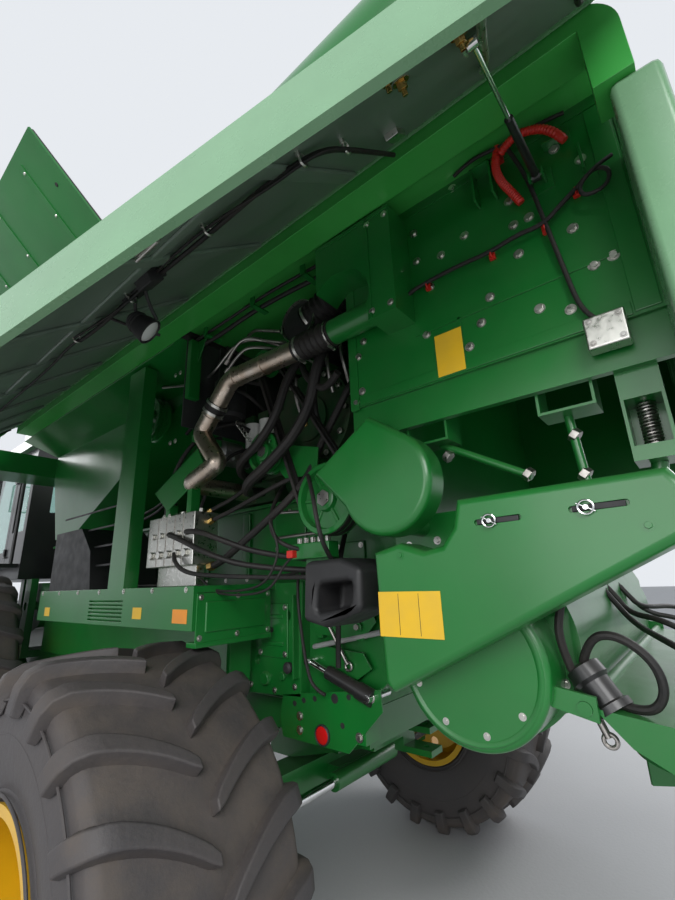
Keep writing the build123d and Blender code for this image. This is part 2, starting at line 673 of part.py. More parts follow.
# Engine across the machine, behind the tank: crankcase, six heads, manifolds, turbocharger,
# and on its left end the flywheel housing and two filters
ENGINE_FRONT, ENGINE_REAR = 1400, 2300
CASE_LOW, CASE_TOP = 2420, 2860
HEAD_TOP, ROCKER_TOP = 2960, 3040
ENGINE_SIDE, FLYWHEEL_SIDE = 800, 880
PULLEY_Y, PULLEY_Z = 1778, 2970
PIPE_LOW_Y, PIPE_LOW_Z = 1350, 2370
FLYWHEEL_Y, FLYWHEEL_Z, FLYWHEEL_RADIUS = 1950, 2650, 260
CYLINDERS, CYLINDER_PITCH, CYLINDER_FIRST = 6, 215, -540
EXHAUST_X, EXHAUST_Y = -200, 1640
TURBO_TOP, TURBO_RADIUS = 3120, 78
INTAKE_Y, INTAKE_Z, INTAKE_RADIUS = 2060, 3080, 105
with BuildPart() as engine_block:
    side_plate(
        (
            (ENGINE_FRONT + 90, CASE_LOW),
            (ENGINE_FRONT, CASE_LOW + 150),
            (ENGINE_FRONT, CASE_TOP - 160),
            (ENGINE_FRONT + 160, CASE_TOP),
            (ENGINE_REAR - 100, CASE_TOP),
            (ENGINE_REAR, CASE_TOP - 160),
            (ENGINE_REAR, CASE_LOW + 150),
            (ENGINE_REAR - 90, CASE_LOW),
        ),
        -700,
        ENGINE_SIDE,
    )
    fillet(engine_block.edges().filter_by(Axis.X), 30)
    side_plate(
        (
            (ENGINE_FRONT + 200, BODY_TOP),
            (ENGINE_FRONT + 120, CASE_LOW),
            (ENGINE_REAR - 120, CASE_LOW),
            (ENGINE_REAR - 200, BODY_TOP),
        ),
        -600,
        650,
    )
    for k in range(CYLINDERS):
        x = CYLINDER_FIRST + k * CYLINDER_PITCH
        block((x - 95, x + 95), (1680, 2120), (CASE_TOP, HEAD_TOP))
        block((x - 80, x + 80), (1710, 2090), (HEAD_TOP, ROCKER_TOP))
        block((x - 30, x + 30), (2120, 2175), (HEAD_TOP - 75, HEAD_TOP - 15))
        block((x - 30, x + 30), (1600, 1680), (HEAD_TOP - 85, HEAD_TOP - 25))
    last = CYLINDER_FIRST + (CYLINDERS - 1) * CYLINDER_PITCH
    disc(2200, HEAD_TOP - 45, 52, CYLINDER_FIRST - 60, last + 90)
    disc(1570, HEAD_TOP - 55, 42, CYLINDER_FIRST - 60, last + 60)
    disc(EXHAUST_Y, HEAD_TOP + 60, TURBO_RADIUS, EXHAUST_X - 110, EXHAUST_X + 110)
    bar((EXHAUST_X, EXHAUST_Y, CASE_TOP), (EXHAUST_X, EXHAUST_Y, TURBO_TOP), 55)
    block((last + 40, last + 130), (INTAKE_Y - 60, INTAKE_Y + 60), (HEAD_TOP - 40, INTAKE_Z + 60))
    block((last + 50, last + 130), (PULLEY_Y - 30, PULLEY_Y + 45), (CASE_TOP - 40, PULLEY_Z + 35))
    block((600, ENGINE_SIDE - 62), (PIPE_LOW_Y - 60, ENGINE_FRONT + 140), (PIPE_LOW_Z - 60, PIPE_LOW_Z + 60))
    disc(FLYWHEEL_Y, FLYWHEEL_Z, FLYWHEEL_RADIUS, ENGINE_SIDE, FLYWHEEL_SIDE)
    with BuildSketch(Plane.YZ.offset(FLYWHEEL_SIDE)) as bosses:
        with Locations((FLYWHEEL_Y, FLYWHEEL_Z)):
            with PolarLocations(FLYWHEEL_RADIUS - 24, 12):
                Circle(15)
            Circle(120)
    extrude(bosses.sketch, amount=16)
    for y in (1470, 1590):
        bar((ENGINE_SIDE + 40, y, 2560), (ENGINE_SIDE + 40, y, 2750), 46)
        block((ENGINE_SIDE, ENGINE_SIDE + 80), (y - 40, y + 40), (2750, 2790))
engine_block.part.label = "engine_block"
export_step(engine_block.part, "parts/engine_block.step")


# Charge-air pipe on the left of the engine, its ribbed sleeve and stub, and above it the intake hose,
# ribbed as well, from the duct to the engine's left end; the exhaust stack goes up through the deck
SLEEVE_FRONT, SLEEVE_REAR = 2150, 2345
HOSE_X, HOSE_RADIUS = 1010, 78
HOSE_TOP_Y, HOSE_TOP_Z = 2345, 3175


def ribbed(start, end, radius, ribs):
    """A ribbed sleeve between two points."""
    start, end = Vector(*start), Vector(*end)
    bar(start, end, radius)
    step = (end - start) / ribs
    for k in range(ribs):
        bar(start + step * (k + 0.25), start + step * (k + 0.75), radius + 7)


with BuildPart() as engine_pipes:
    pipe(
        (
            (PIPE_X, SLEEVE_REAR - 10, PIPE_Z),
            (PIPE_X, 1665, PIPE_Z + 18),
            (PIPE_X, 1425, 2630),
            (PIPE_X, 1590, 2440),
            (PIPE_X, PIPE_LOW_Y, PIPE_LOW_Z),
            (ENGINE_SIDE - 60, PIPE_LOW_Y, PIPE_LOW_Z),
        ),
        88,
        48,
    )
    ribbed((PIPE_X, SLEEVE_REAR, PIPE_Z), (PIPE_X, SLEEVE_FRONT, PIPE_Z), 54, 5)
    bar((PIPE_X, SLEEVE_REAR, PIPE_Z), (PIPE_X, STUB_END, PIPE_Z), 52)
    disc(INTAKE_Y, INTAKE_Z, INTAKE_RADIUS, CYLINDER_FIRST + 5 * CYLINDER_PITCH + 130 + SEAT, HOSE_X + 60)
    ribbed(
        (HOSE_X, INTAKE_Y, INTAKE_Z),
        (HOSE_X, HOSE_TOP_Y, HOSE_TOP_Z),
        HOSE_RADIUS,
        7,
    )
    bar((EXHAUST_X, EXHAUST_Y, TURBO_TOP + SEAT), (EXHAUST_X, EXHAUST_Y, 3500), 120)
    bar((EXHAUST_X, EXHAUST_Y, 3500), (EXHAUST_X, EXHAUST_Y, 3900), 75)
    bar((EXHAUST_X, EXHAUST_Y, 3600), (EXHAUST_X, EXHAUST_Y, 3901), 70, Mode.SUBTRACT)
engine_pipes.part.label = "engine_pipes"
export_step(engine_pipes.part, "parts/engine_pipes.step")


# Cooling package on the right, with its rotary dust screen
SCREEN_Y, SCREEN_Z, SCREEN_RADIUS = 1850, 2760, 430
with BuildPart() as cooling_box:
    block((-1150, -740), (ENGINE_FRONT - 20, ENGINE_REAR + 20), (BODY_TOP + 20, 3220))
    block((-690, -760), (ENGINE_FRONT + 100, ENGINE_REAR - 100), (BODY_TOP, BODY_TOP + 40))
    disc(SCREEN_Y, SCREEN_Z, 30, -1150, -1190)
cooling_box.part.label = "cooling_box"
export_step(cooling_box.part, "parts/cooling_box.step")

with BuildPart() as rotary_screen:
    disc(SCREEN_Y, SCREEN_Z, SCREEN_RADIUS, -1160, -1230)
    disc(SCREEN_Y, SCREEN_Z, SCREEN_RADIUS - 12, -1159, -1218, Mode.SUBTRACT)
    disc(SCREEN_Y, SCREEN_Z, 60, -1162, -1220)
    disc(SCREEN_Y, SCREEN_Z, 30.5, -1159, -1192, Mode.SUBTRACT)
    with BuildSketch(Plane.YZ.offset(-1230)) as spokes:
        with Locations((SCREEN_Y, SCREEN_Z)):
            Circle(SCREEN_RADIUS - 8)
            Circle(SCREEN_RADIUS - 30, mode=Mode.SUBTRACT)
            with PolarLocations(SCREEN_RADIUS / 2, 8):
                Rectangle(SCREEN_RADIUS - 30, 18)
            Circle(60)
    extrude(spokes.sketch, amount=-8)
rotary_screen.part.label = "rotary_screen"
export_step(rotary_screen.part, "parts/rotary_screen.step")


# Belt drive on the left, open to view: grooved pulleys on the engine, the tank and the body,
# a belt pair from the engine down to the beater, and an idler on a swinging arm
COVER_BACK, COVER_FACE = HOOD_HALF - 40, HOOD_HALF + 100
PULLEY_IN, PULLEY_OUT = COVER_BACK - 90, COVER_BACK
GROOVE, GROOVE_WIDTH = 16, 26
BELT_WIDE, BELT_THICK = GROOVE_WIDTH - 2 * SEAT, 14
ARM_Y, ARM_Z = 1549, 2498
# y, z, radius, shaft radius, shaft root
ENGINE_PULLEY = (PULLEY_Y, PULLEY_Z, 62, 26, CYLINDER_FIRST + 5 * CYLINDER_PITCH + 130)
IDLER = (1795, 2475, 102, 30, FLYWHEEL_SIDE + 16)
COUNTERSHAFT = (620, 2960, 150, 50, TANK_WAIST)
BEATER = (2185, 2190, 150, 35, BODY_HALF)
GROOVES = (PULLEY_IN + 18, PULLEY_IN + 54)


def pulley(y, z, radius, shaft, root):
    """A dished pulley with two belt grooves, on its shaft."""
    disc(y, z, radius, PULLEY_IN, PULLEY_OUT)
    for x in GROOVES:
        disc(y, z, radius + 1, x, x + GROOVE_WIDTH, Mode.SUBTRACT)
        disc(y, z, radius - GROOVE, x, x + GROOVE_WIDTH)
    disc(y, z, radius - GROOVE - 10, PULLEY_OUT - 24, PULLEY_OUT, Mode.SUBTRACT)
    disc(y, z, shaft, root + SEAT, PULLEY_OUT + 6)


def belt(first, second, x):
    """A belt round two pulleys, lying in one of their grooves."""
    with BuildSketch(Plane.YZ.offset(x)) as loop:
        for y, z, radius, _, _ in (first, second):
            with Locations((y, z)):
                Circle(radius + 2)
        make_hull()
        offset(amount=-BELT_THICK, mode=Mode.SUBTRACT)
    extrude(loop.sketch, amount=BELT_WIDE)


with BuildPart() as drive_pulleys:
    for row in (ENGINE_PULLEY, IDLER, COUNTERSHAFT, BEATER):
        pulley(*row)
    for x in GROOVES:
        belt(ENGINE_PULLEY, BEATER, x + (GROOVE_WIDTH - BELT_WIDE) / 2)
    with BuildSketch(Plane.YZ.offset(PULLEY_IN - 26)) as arm:
        for y, z, radius in ((IDLER[0], IDLER[1], 48), (ARM_Y, ARM_Z, 38)):
            with Locations((y, z)):
                Circle(radius)
        make_hull()
    extrude(arm.sketch, amount=18)
    disc(ARM_Y, ARM_Z, 24, ENGINE_SIDE + SEAT, PULLEY_IN - 2)
drive_pulleys.part.label = "drive_pulleys"
export_step(drive_pulleys.part, "parts/drive_pulleys.step")


# Straw chopper under the hood, with its round drive cover and the tailboard's hinge lugs
CHOPPER_HALF = 900
CHOPPER_Y, CHOPPER_Z, CHOPPER_RADIUS = 2740, 1660, 280
CHOPPER_FRONT = BODY_REAR + HOOD_WALL + SEAT
CHOPPER_REAR = 3000
CHOPPER_TOP = HOOD_FRONT_LOW + 40
ROUND_Z, ROUND_RADIUS, ROUND_EDGE = CHOPPER_Z - 55, 228, 18
TAIL_HINGE_Y, TAIL_HINGE_Z = CHOPPER_REAR + 30, 1520
TAIL_HALF = 1000
with BuildPart() as chopper_housing:
    disc(CHOPPER_Y, CHOPPER_Z, CHOPPER_RADIUS, -CHOPPER_HALF, CHOPPER_HALF)
    side_plate(
        (
            (CHOPPER_FRONT, CHOPPER_TOP),
            (CHOPPER_FRONT, CHOPPER_Z - 100),
            (CHOPPER_Y, CHOPPER_Z - CHOPPER_RADIUS + 20),
            (CHOPPER_REAR, CHOPPER_Z - 170),
            (CHOPPER_REAR, CHOPPER_Z + 140),
            (CHOPPER_REAR - 120, CHOPPER_TOP),
        ),
        -CHOPPER_HALF,
        CHOPPER_HALF,
    )
    disc(CHOPPER_Y, ROUND_Z, ROUND_RADIUS, CHOPPER_HALF, COVER_BACK - SEAT)
    fillet(chopper_housing.faces().sort_by(Axis.X)[-1].edges(), ROUND_EDGE)
    for side in (-1, 1):
        disc(CHOPPER_REAR - 70, TAIL_HINGE_Z + 30, 25, side * CHOPPER_HALF, side * (TAIL_HALF + 20))
        side_plate(
            (
                (CHOPPER_REAR - 95, TAIL_HINGE_Z + 5),
                (CHOPPER_REAR - 95, TAIL_HINGE_Z + 55),
                (TAIL_HINGE_Y + 30, TAIL_HINGE_Z + 30),
                (TAIL_HINGE_Y + 30, TAIL_HINGE_Z - 30),
            ),
            side * (TAIL_HALF + 6),
            side * (TAIL_HALF + 20),
        )
        disc(
            TAIL_HINGE_Y,
            TAIL_HINGE_Z,
            18.5,
            side * (TAIL_HALF + 5),
            side * (TAIL_HALF + 21),
            Mode.SUBTRACT,
        )
chopper_housing.part.label = "chopper_housing"
export_step(chopper_housing.part, "parts/chopper_housing.step")


# Covers of the chopper drive on the left, the upper one on a stand-off from the chopper
D_Y, D_Z, D_RADIUS = 2568, 2172, 178
COVER_ROUND = 24
# y, z and tilt of the slots for the cover's pins
COVER_SLOTS = ((2935, 2004, 1), (3180, 2010, 1))
with BuildPart() as chopper_cover:
    side_plate(
        (
            (D_Y - 53, D_Z - 228),
            (D_Y + 48, D_Z - 204),
            (D_Y + 132, D_Z - 234),
            (D_Y + 192, D_Z - 222),
            (D_Y + 232, D_Z - 172),
            (D_Y + 252, D_Z - 94),
            (3330, 2082),
            (3370, 2010),
            (3350, 1930),
            (2560, 1536),
            (2530, 1560),
        ),
        COVER_BACK,
        COVER_FACE,
    )
    fillet(chopper_cover.faces().sort_by(Axis.X)[-1].edges(), COVER_ROUND)
    for y, z, tilt in COVER_SLOTS:
        with BuildSketch(Plane.YZ.offset(COVER_FACE - 10)) as slot:
            with Locations((y, z)):
                SlotOverall(130, 16, rotation=tilt)
        extrude(slot.sketch, amount=11, mode=Mode.SUBTRACT)
chopper_cover.part.label = "chopper_cover"
export_step(chopper_cover.part, "parts/chopper_cover.step")

with BuildPart() as upper_drive_cover:
    disc(D_Y, D_Z, D_RADIUS, HOOD_HALF + SEAT, COVER_FACE)
    side_plate(
        ((D_Y - 312, D_Z + 84), (D_Y - 48, D_Z + 252), (D_Y + 112, D_Z + 138), (D_Y - 68, D_Z - 164)),
        HOOD_HALF + SEAT,
        COVER_FACE,
    )
    fillet(upper_drive_cover.faces().sort_by(Axis.X)[-1].edges(), COVER_ROUND)
    disc(D_Y - 28, D_Z - 127, 35, CHOPPER_HALF + SEAT, HOOD_HALF + SEAT)
upper_drive_cover.part.label = "upper_drive_cover"
export_step(upper_drive_cover.part, "parts/upper_drive_cover.step")


# Tailboard with its side fins and, on top, the motors of the spreader discs under it
SPREADER_X, SPREADER_Y, SPREADER_Z = 430, 3300, 1290
TAIL_PLATE = 12
TAIL_END, TAIL_LOW = 3950, 1400
with BuildPart() as tailboard:
    side_plate(
        (
            (TAIL_HINGE_Y, TAIL_HINGE_Z - 10),
            (TAIL_END, TAIL_LOW),
            (TAIL_END, TAIL_LOW + TAIL_PLATE),
            (TAIL_HINGE_Y, TAIL_HINGE_Z - 10 + TAIL_PLATE),
        ),
        -TAIL_HALF,
        TAIL_HALF,
    )
    for side in (-1, 1):
        side_plate(
            (
                (TAIL_HINGE_Y + 20, TAIL_HINGE_Z - 5),
                (TAIL_END, TAIL_LOW + 10),
                (TAIL_END + 50, TAIL_LOW - 220),
                (TAIL_END - 450, TAIL_LOW - 160),
                (TAIL_HINGE_Y + 90, TAIL_LOW + 40),
            ),
            side * (TAIL_HALF - 12),
            side * TAIL_HALF,
        )
        bar((side * SPREADER_X, SPREADER_Y, SPREADER_Z + 60), (side * SPREADER_X, SPREADER_Y, 1500), 40)
        bar((side * SPREADER_X, SPREADER_Y, 1485), (side * SPREADER_X, SPREADER_Y, 1610), 70)
    bar((-TAIL_HALF - 24, TAIL_HINGE_Y, TAIL_HINGE_Z), (TAIL_HALF + 24, TAIL_HINGE_Y, TAIL_HINGE_Z), 18)
tailboard.part.label = "tailboard"
export_step(tailboard.part, "parts/tailboard.step")

with BuildPart() as spreader_disc:
    bar((SPREADER_X, SPREADER_Y, SPREADER_Z), (SPREADER_X, SPREADER_Y, SPREADER_Z + 12), 270)
    bar((SPREADER_X, SPREADER_Y, SPREADER_Z), (SPREADER_X, SPREADER_Y, SPREADER_Z + 60 - SEAT), 60)
    for turn in range(0, 360, 60):
        way = Vector(cos(radians(turn)), sin(radians(turn)), 0)
        centre = Vector(SPREADER_X, SPREADER_Y, SPREADER_Z - 30)
        with Locations(Plane(origin=centre + way * 160, x_dir=way, z_dir=(0, 0, 1))):
            Box(200, 12, 84)
write_pair(spreader_disc.part, "spreader_disc")


# Drawbar bracket under the frame, with its tow jaw
HITCH_X = 350
HITCH_Y, HITCH_Z = 1960, 1020
HITCH_BORE = 16
with BuildPart() as hitch_bracket:
    for side in (-1, 1):
        side_plate(
            ((1110, RAIL_LOW), (1880, RAIL_LOW), (1880, 1060), (1660, 1000), (1280, 905), (1110, 905)),
            side * HITCH_X,
            side * (HITCH_X + 16),
        )
        with BuildSketch(Plane.YZ.offset(side * HITCH_X)) as rows:
            with Locations((1450, 1075)):
                with GridLocations(90, 62, 7, 2):
                    Circle(11)
        extrude(rows.sketch, amount=side * 17, mode=Mode.SUBTRACT)
    block((-HITCH_X, HITCH_X), (1780, 1860), (HITCH_Z + 10, RAIL_LOW))
    for low in (HITCH_Z - 70, HITCH_Z + 40):
        block((-60, 60), (1790, HITCH_Y + 60), (low, low + 30))
    block((-60, 60), (1790, 1850), (HITCH_Z - 70, HITCH_Z + 70))
    bar((0, HITCH_Y, HITCH_Z - 80), (0, HITCH_Y, HITCH_Z + 80), HITCH_BORE, Mode.SUBTRACT)
hitch_bracket.part.label = "hitch_bracket"
export_step(hitch_bracket.part, "parts/hitch_bracket.step")


# Plastic air box on the left
with BuildPart() as air_box:
    side_plate(
        ((2150, 1720), (2250, 1700), (2420, 1760), (2425, 1900), (2330, 1940), (2160, 1935)),
        AIR_BOX_IN,
        1150,
    )
    side_plate(
        ((2210, 1750), (2370, 1770), (2385, 1860), (2220, 1850)),
        1000,
        1151,
        Mode.SUBTRACT,
    )
air_box.part.label = "air_box"
export_step(air_box.part, "parts/air_box.step")


# Side shelves with hanging skirts, the posts on them and the pressed plates behind
POST_FRONT, POST_REAR = 700, 890
LOUVRES, LOUVRE_LOW, LOUVRE_PITCH, LOUVRE_Y = 6, 1690, 20, (480, 900)
# y, z and radius of the holes in the pressed plates
PLATE_HOLES = ((1430, 1480, 22), (1430, 1640, 34), (1560, 1560, 46), (1660, 1460, 18), (1650, 1700, 26))
with BuildPart() as side_shelves:
    for side in (-1, 1):
        block((side * BODY_HALF, side * SHELF_OUT), (-350, 1560), (SHELF_TOP - 30, SHELF_TOP))
        block((side * (SHELF_OUT - 20), side * SHELF_OUT), (-350, 1560), (1670, SHELF_TOP - 30))
        block((side * (SHELF_OUT - 80), side * SHELF_OUT), (POST_FRONT, POST_REAR), (SHELF_TOP, 3190))
        block(
            (side * (SHELF_OUT - 74), side * (SHELF_OUT - 15)),
            (POST_FRONT + 15, POST_REAR - 15),
            (SHELF_TOP, 3200),
            Mode.SUBTRACT,
        )
        for k in range(LOUVRES):
            low = LOUVRE_LOW + k * LOUVRE_PITCH
            block((side * (SHELF_OUT - 21), side * (SHELF_OUT + 1)), LOUVRE_Y, (low, low + 9), Mode.SUBTRACT)
        side_plate(
            ((1350, 1320), (1740, 1340), (1760, SHELF_TOP), (1350, SHELF_TOP)),
            side * BODY_HALF,
            side * 750,
        )
        for y, z, radius in PLATE_HOLES:
            disc(y, z, radius, side * 730, side * 751, Mode.SUBTRACT)
        for y in (1362, 1722):
            block((side * 750, side * 790), (y, y + 10), (1420, SHELF_TOP - 60))
side_shelves.part.label = "side_shelves"
export_step(side_shelves.part, "parts/side_shelves.step")


# Hydraulic valve block on the left shelf
with BuildPart() as valve_block:
    block((1040, 1180), (1000, 1440), (1960, 2220))
    block((1080, 1130), (1040, 1400), (SHELF_TOP, 1960))
valve_block.part.label = "valve_block"
export_step(valve_block.part, "parts/valve_block.step")


# Tool box on the left shelf and fuel tank on the right one
with BuildPart() as side_tanks:
    side_plate(
        ((-320, SHELF_TOP), (360, SHELF_TOP), (300, 2100), (120, 2260), (-320, 2260)),
        760,
        1200,
    )
    block((-1150, -BODY_HALF - 10), (-330, 650), (SHELF_TOP, 2450))
    fillet(side_tanks.edges().filter_by(Axis.Y).group_by(Axis.X)[0], 60)
    for y in (-120, 400):
        block((-1158, -1140), (y, y + 50), (SHELF_TOP + 62, 2388))
        block((-1088, -BODY_HALF - 10), (y, y + 50), (2449, 2458))
    bar((-1000, -230, 2449), (-1000, -230, 2500), 50)
side_tanks.part.label = "side_tanks"
export_step(side_tanks.part, "parts/side_tanks.step")


# Cab shell with its window and door openings
CAB_OUTLINE = (
    (CAB_REAR, CAB_FLOOR),
    (CAB_REAR, CAB_TOP),
    (-3800, CAB_TOP),
    (CAB_FRONT, 2700),
    (-3900, CAB_FLOOR),
)
CAB_INSIDE = (
    (CAB_REAR - CAB_WALL, CAB_FLOOR + CAB_WALL),
    (CAB_REAR - CAB_WALL, CAB_TOP - CAB_WALL),
    (-3765, CAB_TOP - CAB_WALL),
    (CAB_FRONT + 52, 2695),
    (-3855, CAB_FLOOR + CAB_WALL),
)
SIDE_WINDOW = ((-2650, 2500), (-2650, 3330), (-2270, 3330), (-2270, 2500))
DOOR_LOW, DOOR_TOP = 2170, 3360
DOOR_HINGE_X, DOOR_HINGE_Y = CAB_HALF + 12, DOOR_REAR + 2
DOOR_HINGES = (2250, 3100)
HINGE_LONG = 80
SCREEN_HALF, BACK_HALF = CAB_HALF - 120, CAB_HALF - 200
with BuildPart() as cab_shell:
    side_plate(CAB_OUTLINE, -CAB_HALF, CAB_HALF)
    side_plate(CAB_INSIDE, -CAB_HALF + CAB_WALL, CAB_HALF - CAB_WALL, Mode.SUBTRACT)
    side_plate(SIDE_WINDOW, -CAB_HALF - 1, CAB_HALF + 1, Mode.SUBTRACT)
    block((CAB_HALF - CAB_WALL - 1, CAB_HALF + 1), (DOOR_FRONT, DOOR_REAR), (DOOR_LOW, DOOR_TOP), Mode.SUBTRACT)
    block((-CAB_HALF - 1, -CAB_HALF + CAB_WALL + 1), (DOOR_FRONT, DOOR_REAR), (2350, DOOR_TOP), Mode.SUBTRACT)
    block((-SCREEN_HALF, SCREEN_HALF), (CAB_FRONT - 50, -3700), (2160, 3340), Mode.SUBTRACT)
    block((-BACK_HALF, BACK_HALF), (CAB_REAR - CAB_WALL - 1, CAB_REAR + 1), (2700, 3300), Mode.SUBTRACT)
    for low in DOOR_HINGES:
        block(
            (CAB_HALF, DOOR_HINGE_X + 10),
            (DOOR_HINGE_Y - 10, DOOR_REAR + 50),
            (low - 20 - SEAT, low - SEAT),
        )
cab_shell.part.label = "cab_shell"
export_step(cab_shell.part, "parts/cab_shell.step")


# Glass of the cab, seated in its openings
with BuildPart() as cab_glass:
    side_plate(
        ((-3919, 2160), (CAB_FRONT, 2700), (-3823, 3340), (-3817, 3340), (CAB_FRONT + 6, 2700), (-3913, 2160)),
        -SCREEN_HALF + SEAT,
        SCREEN_HALF - SEAT,
    )
    for side in (-1, 1):
        block((side * (CAB_HALF - 30), side * (CAB_HALF - 24)), (-2650 + SEAT, -2270 - SEAT), (2500 + SEAT, 3330 - SEAT))
    block(
        (-CAB_HALF + 24, -CAB_HALF + 30),
        (DOOR_FRONT + SEAT, DOOR_REAR - SEAT),
        (2350 + SEAT, DOOR_TOP - SEAT),
    )
    block((-BACK_HALF + SEAT, BACK_HALF - SEAT), (CAB_REAR - 30, CAB_REAR - 24), (2700 + SEAT, 3300 - SEAT))
cab_glass.part.label = "cab_glass"
export_step(cab_glass.part, "parts/cab_glass.step")


# Cab door, hinged at its rear edge
DOOR_GAP = 6
with BuildPart() as cab_door:
    block(
        (CAB_HALF - 40, CAB_HALF),
        (DOOR_FRONT + DOOR_GAP, DOOR_REAR - DOOR_GAP),
        (DOOR_LOW + DOOR_GAP, DOOR_TOP - DOOR_GAP),
    )
    block((CAB_HALF - 41, CAB_HALF + 1), (DOOR_FRONT + 70, DOOR_REAR - 70), (2300, DOOR_TOP - 70), Mode.SUBTRACT)
    for low in DOOR_HINGES:
        bar((DOOR_HINGE_X, DOOR_HINGE_Y, low), (DOOR_HINGE_X, DOOR_HINGE_Y, low + HINGE_LONG), 11)
        block((CAB_HALF - 10, DOOR_HINGE_X), (DOOR_REAR - 65, DOOR_REAR - 6), (low, low + HINGE_LONG))
cab_door.part.label = "cab_door"
export_step(cab_door.part, "parts/cab_door.step")

with BuildPart() as cab_door_glass:
    block(
        (CAB_HALF - 24, CAB_HALF - 18),
        (DOOR_FRONT + 70 + SEAT, DOOR_REAR - 70 - SEAT),
        (2300 + SEAT, DOOR_TOP - 70 - SEAT),
    )
cab_door_glass.part.label = "cab_door_glass"
export_step(cab_door_glass.part, "parts/cab_door_glass.step")


# Cab roof, crowned, with lamps in its front brow and at its rear, and a mirror on an arm at each side
ROOF_OUT, ROOF_NOSE, ROOF_TAIL, ROOF_CAP = CAB_HALF + 60, CAB_FRONT - 70, CAB_REAR + 60, CAB_TOP + 160
BROW = 34
LAMP_X = (300, 440, 620, 760)
LAMP_Z = CAB_TOP + 78
MIRROR_X, MIRROR_Y = ROOF_OUT + 260, CAB_FRONT - 20
with BuildPart() as cab_roof:
    block((-ROOF_OUT, ROOF_OUT), (ROOF_NOSE, ROOF_TAIL), (CAB_TOP, ROOF_CAP))
    fillet(cab_roof.edges().filter_by(Axis.Z), 120)
    fillet(cab_roof.faces().sort_by(Axis.Z)[-1].edges(), 70)
    for side in (-1, 1):
        for x in LAMP_X:
            block((side * x - 56, side * x + 56), (ROOF_NOSE - 1, ROOF_NOSE + BROW), (LAMP_Z - 40, LAMP_Z + 40), Mode.SUBTRACT)
            bar((side * x, ROOF_NOSE + BROW + 1, LAMP_Z), (side * x, ROOF_NOSE + 6, LAMP_Z), 37)
        for x in LAMP_X[::3]:
            block((side * x - 56, side * x + 56), (ROOF_TAIL - BROW, ROOF_TAIL + 1), (LAMP_Z - 40, LAMP_Z + 40), Mode.SUBTRACT)
            bar((side * x, ROOF_TAIL - BROW - 1, LAMP_Z), (side * x, ROOF_TAIL - 6, LAMP_Z), 37)
        bar((side * (ROOF_OUT - 60), MIRROR_Y + 80, LAMP_Z - 30), (side * MIRROR_X, MIRROR_Y, LAMP_Z - 30), 13)
        bar((side * MIRROR_X, MIRROR_Y, LAMP_Z - 30), (side * MIRROR_X, MIRROR_Y, LAMP_Z - 560), 13)
        block(
            (side * (MIRROR_X - 95), side * (MIRROR_X + 95)),
            (MIRROR_Y - 40, MIRROR_Y + 10),
            (LAMP_Z - 570, LAMP_Z - 190),
        )
cab_roof.part.label = "cab_roof"
export_step(cab_roof.part, "parts/cab_roof.step")


# Operator's seat and controls
with BuildPart() as seat_console:
    block((-250, 250), (-3100, -2600), (CAB_FLOOR + CAB_WALL, 2450))
    block((-250, 250), (-2700, -2580), (2450, 3150))
    block((-450, -280), (-3200, -2600), (CAB_FLOOR + CAB_WALL, 2600))
    block((-60, 60), (-3650, -3560), (CAB_FLOOR + CAB_WALL, 2650))
seat_console.part.label = "seat_console"
export_step(seat_console.part, "parts/seat_console.step")


# Landing beside the cab with its handrails
LANDING_FRONT, LANDING_REAR = -3450, -2250
LANDING_OUT = CAB_HALF + 600
LANDING_LOW, LANDING_TOP = 2110, 2150
BRACKET_LOW = LANDING_LOW - 250
HAND_RAIL = LANDING_TOP + 1000
LADDER_X, LADDER_Y = CAB_HALF + 100, LANDING_FRONT - 50
with BuildPart() as landing:
    block((CAB_HALF + SEAT, LANDING_OUT), (LANDING_FRONT, LANDING_REAR), (LANDING_LOW, LANDING_TOP))
    outer, rear = LANDING_OUT - 20, LANDING_REAR - 20
    for y in (rear, rear - 400):
        bar((outer, y, LANDING_TOP), (outer, y, HAND_RAIL), 18)
    bar((outer, rear, HAND_RAIL), (outer, rear - 400, HAND_RAIL), 18)
    bar((CAB_HALF + 60, rear, LANDING_TOP), (CAB_HALF + 60, rear, HAND_RAIL), 18)
    bar((CAB_HALF + 60, rear, HAND_RAIL), (outer, rear, HAND_RAIL), 18)
    block((LADDER_X - 60, LADDER_X + 60), (LANDING_FRONT, LANDING_FRONT + 12), (BRACKET_LOW, LANDING_LOW))
    for low, high in ((BRACKET_LOW, BRACKET_LOW + 34), (LANDING_LOW, LANDING_TOP)):
        block((LADDER_X - 20, LADDER_X + 20), (LADDER_Y - 20, LANDING_FRONT), (low, high))
    bar((LADDER_X, LADDER_Y, BRACKET_LOW), (LADDER_X, LADDER_Y, LANDING_TOP), 14)
landing.part.label = "landing"
export_step(landing.part, "parts/landing.step")


# Access ladder, swivelling on a pin at the landing's front inner corner
with BuildPart() as ladder:
    bar((LADDER_X, LADDER_Y, BRACKET_LOW + 40), (LADDER_X, LADDER_Y, LANDING_LOW - 6), 24)
    for x in (LADDER_X + 50, LANDING_OUT - 40):
        block((x - 15, x + 15), (LADDER_Y - 60, LADDER_Y + 20), (450, LANDING_LOW - 6))
    for step in range(6):
        z = 470 + 300 * step
        block((LADDER_X + 50, LANDING_OUT - 40), (LADDER_Y - 80, LADDER_Y + 20), (z, z + 25))
    block((LADDER_X, LADDER_X + 50), (LADDER_Y - 12, LADDER_Y + 12), (BRACKET_LOW + 90, BRACKET_LOW + 150))
    bar((LADDER_X, LADDER_Y, BRACKET_LOW + 30), (LADDER_X, LADDER_Y, LANDING_LOW), 14.5, Mode.SUBTRACT)
ladder.part.label = "ladder"
export_step(ladder.part, "parts/ladder.step")


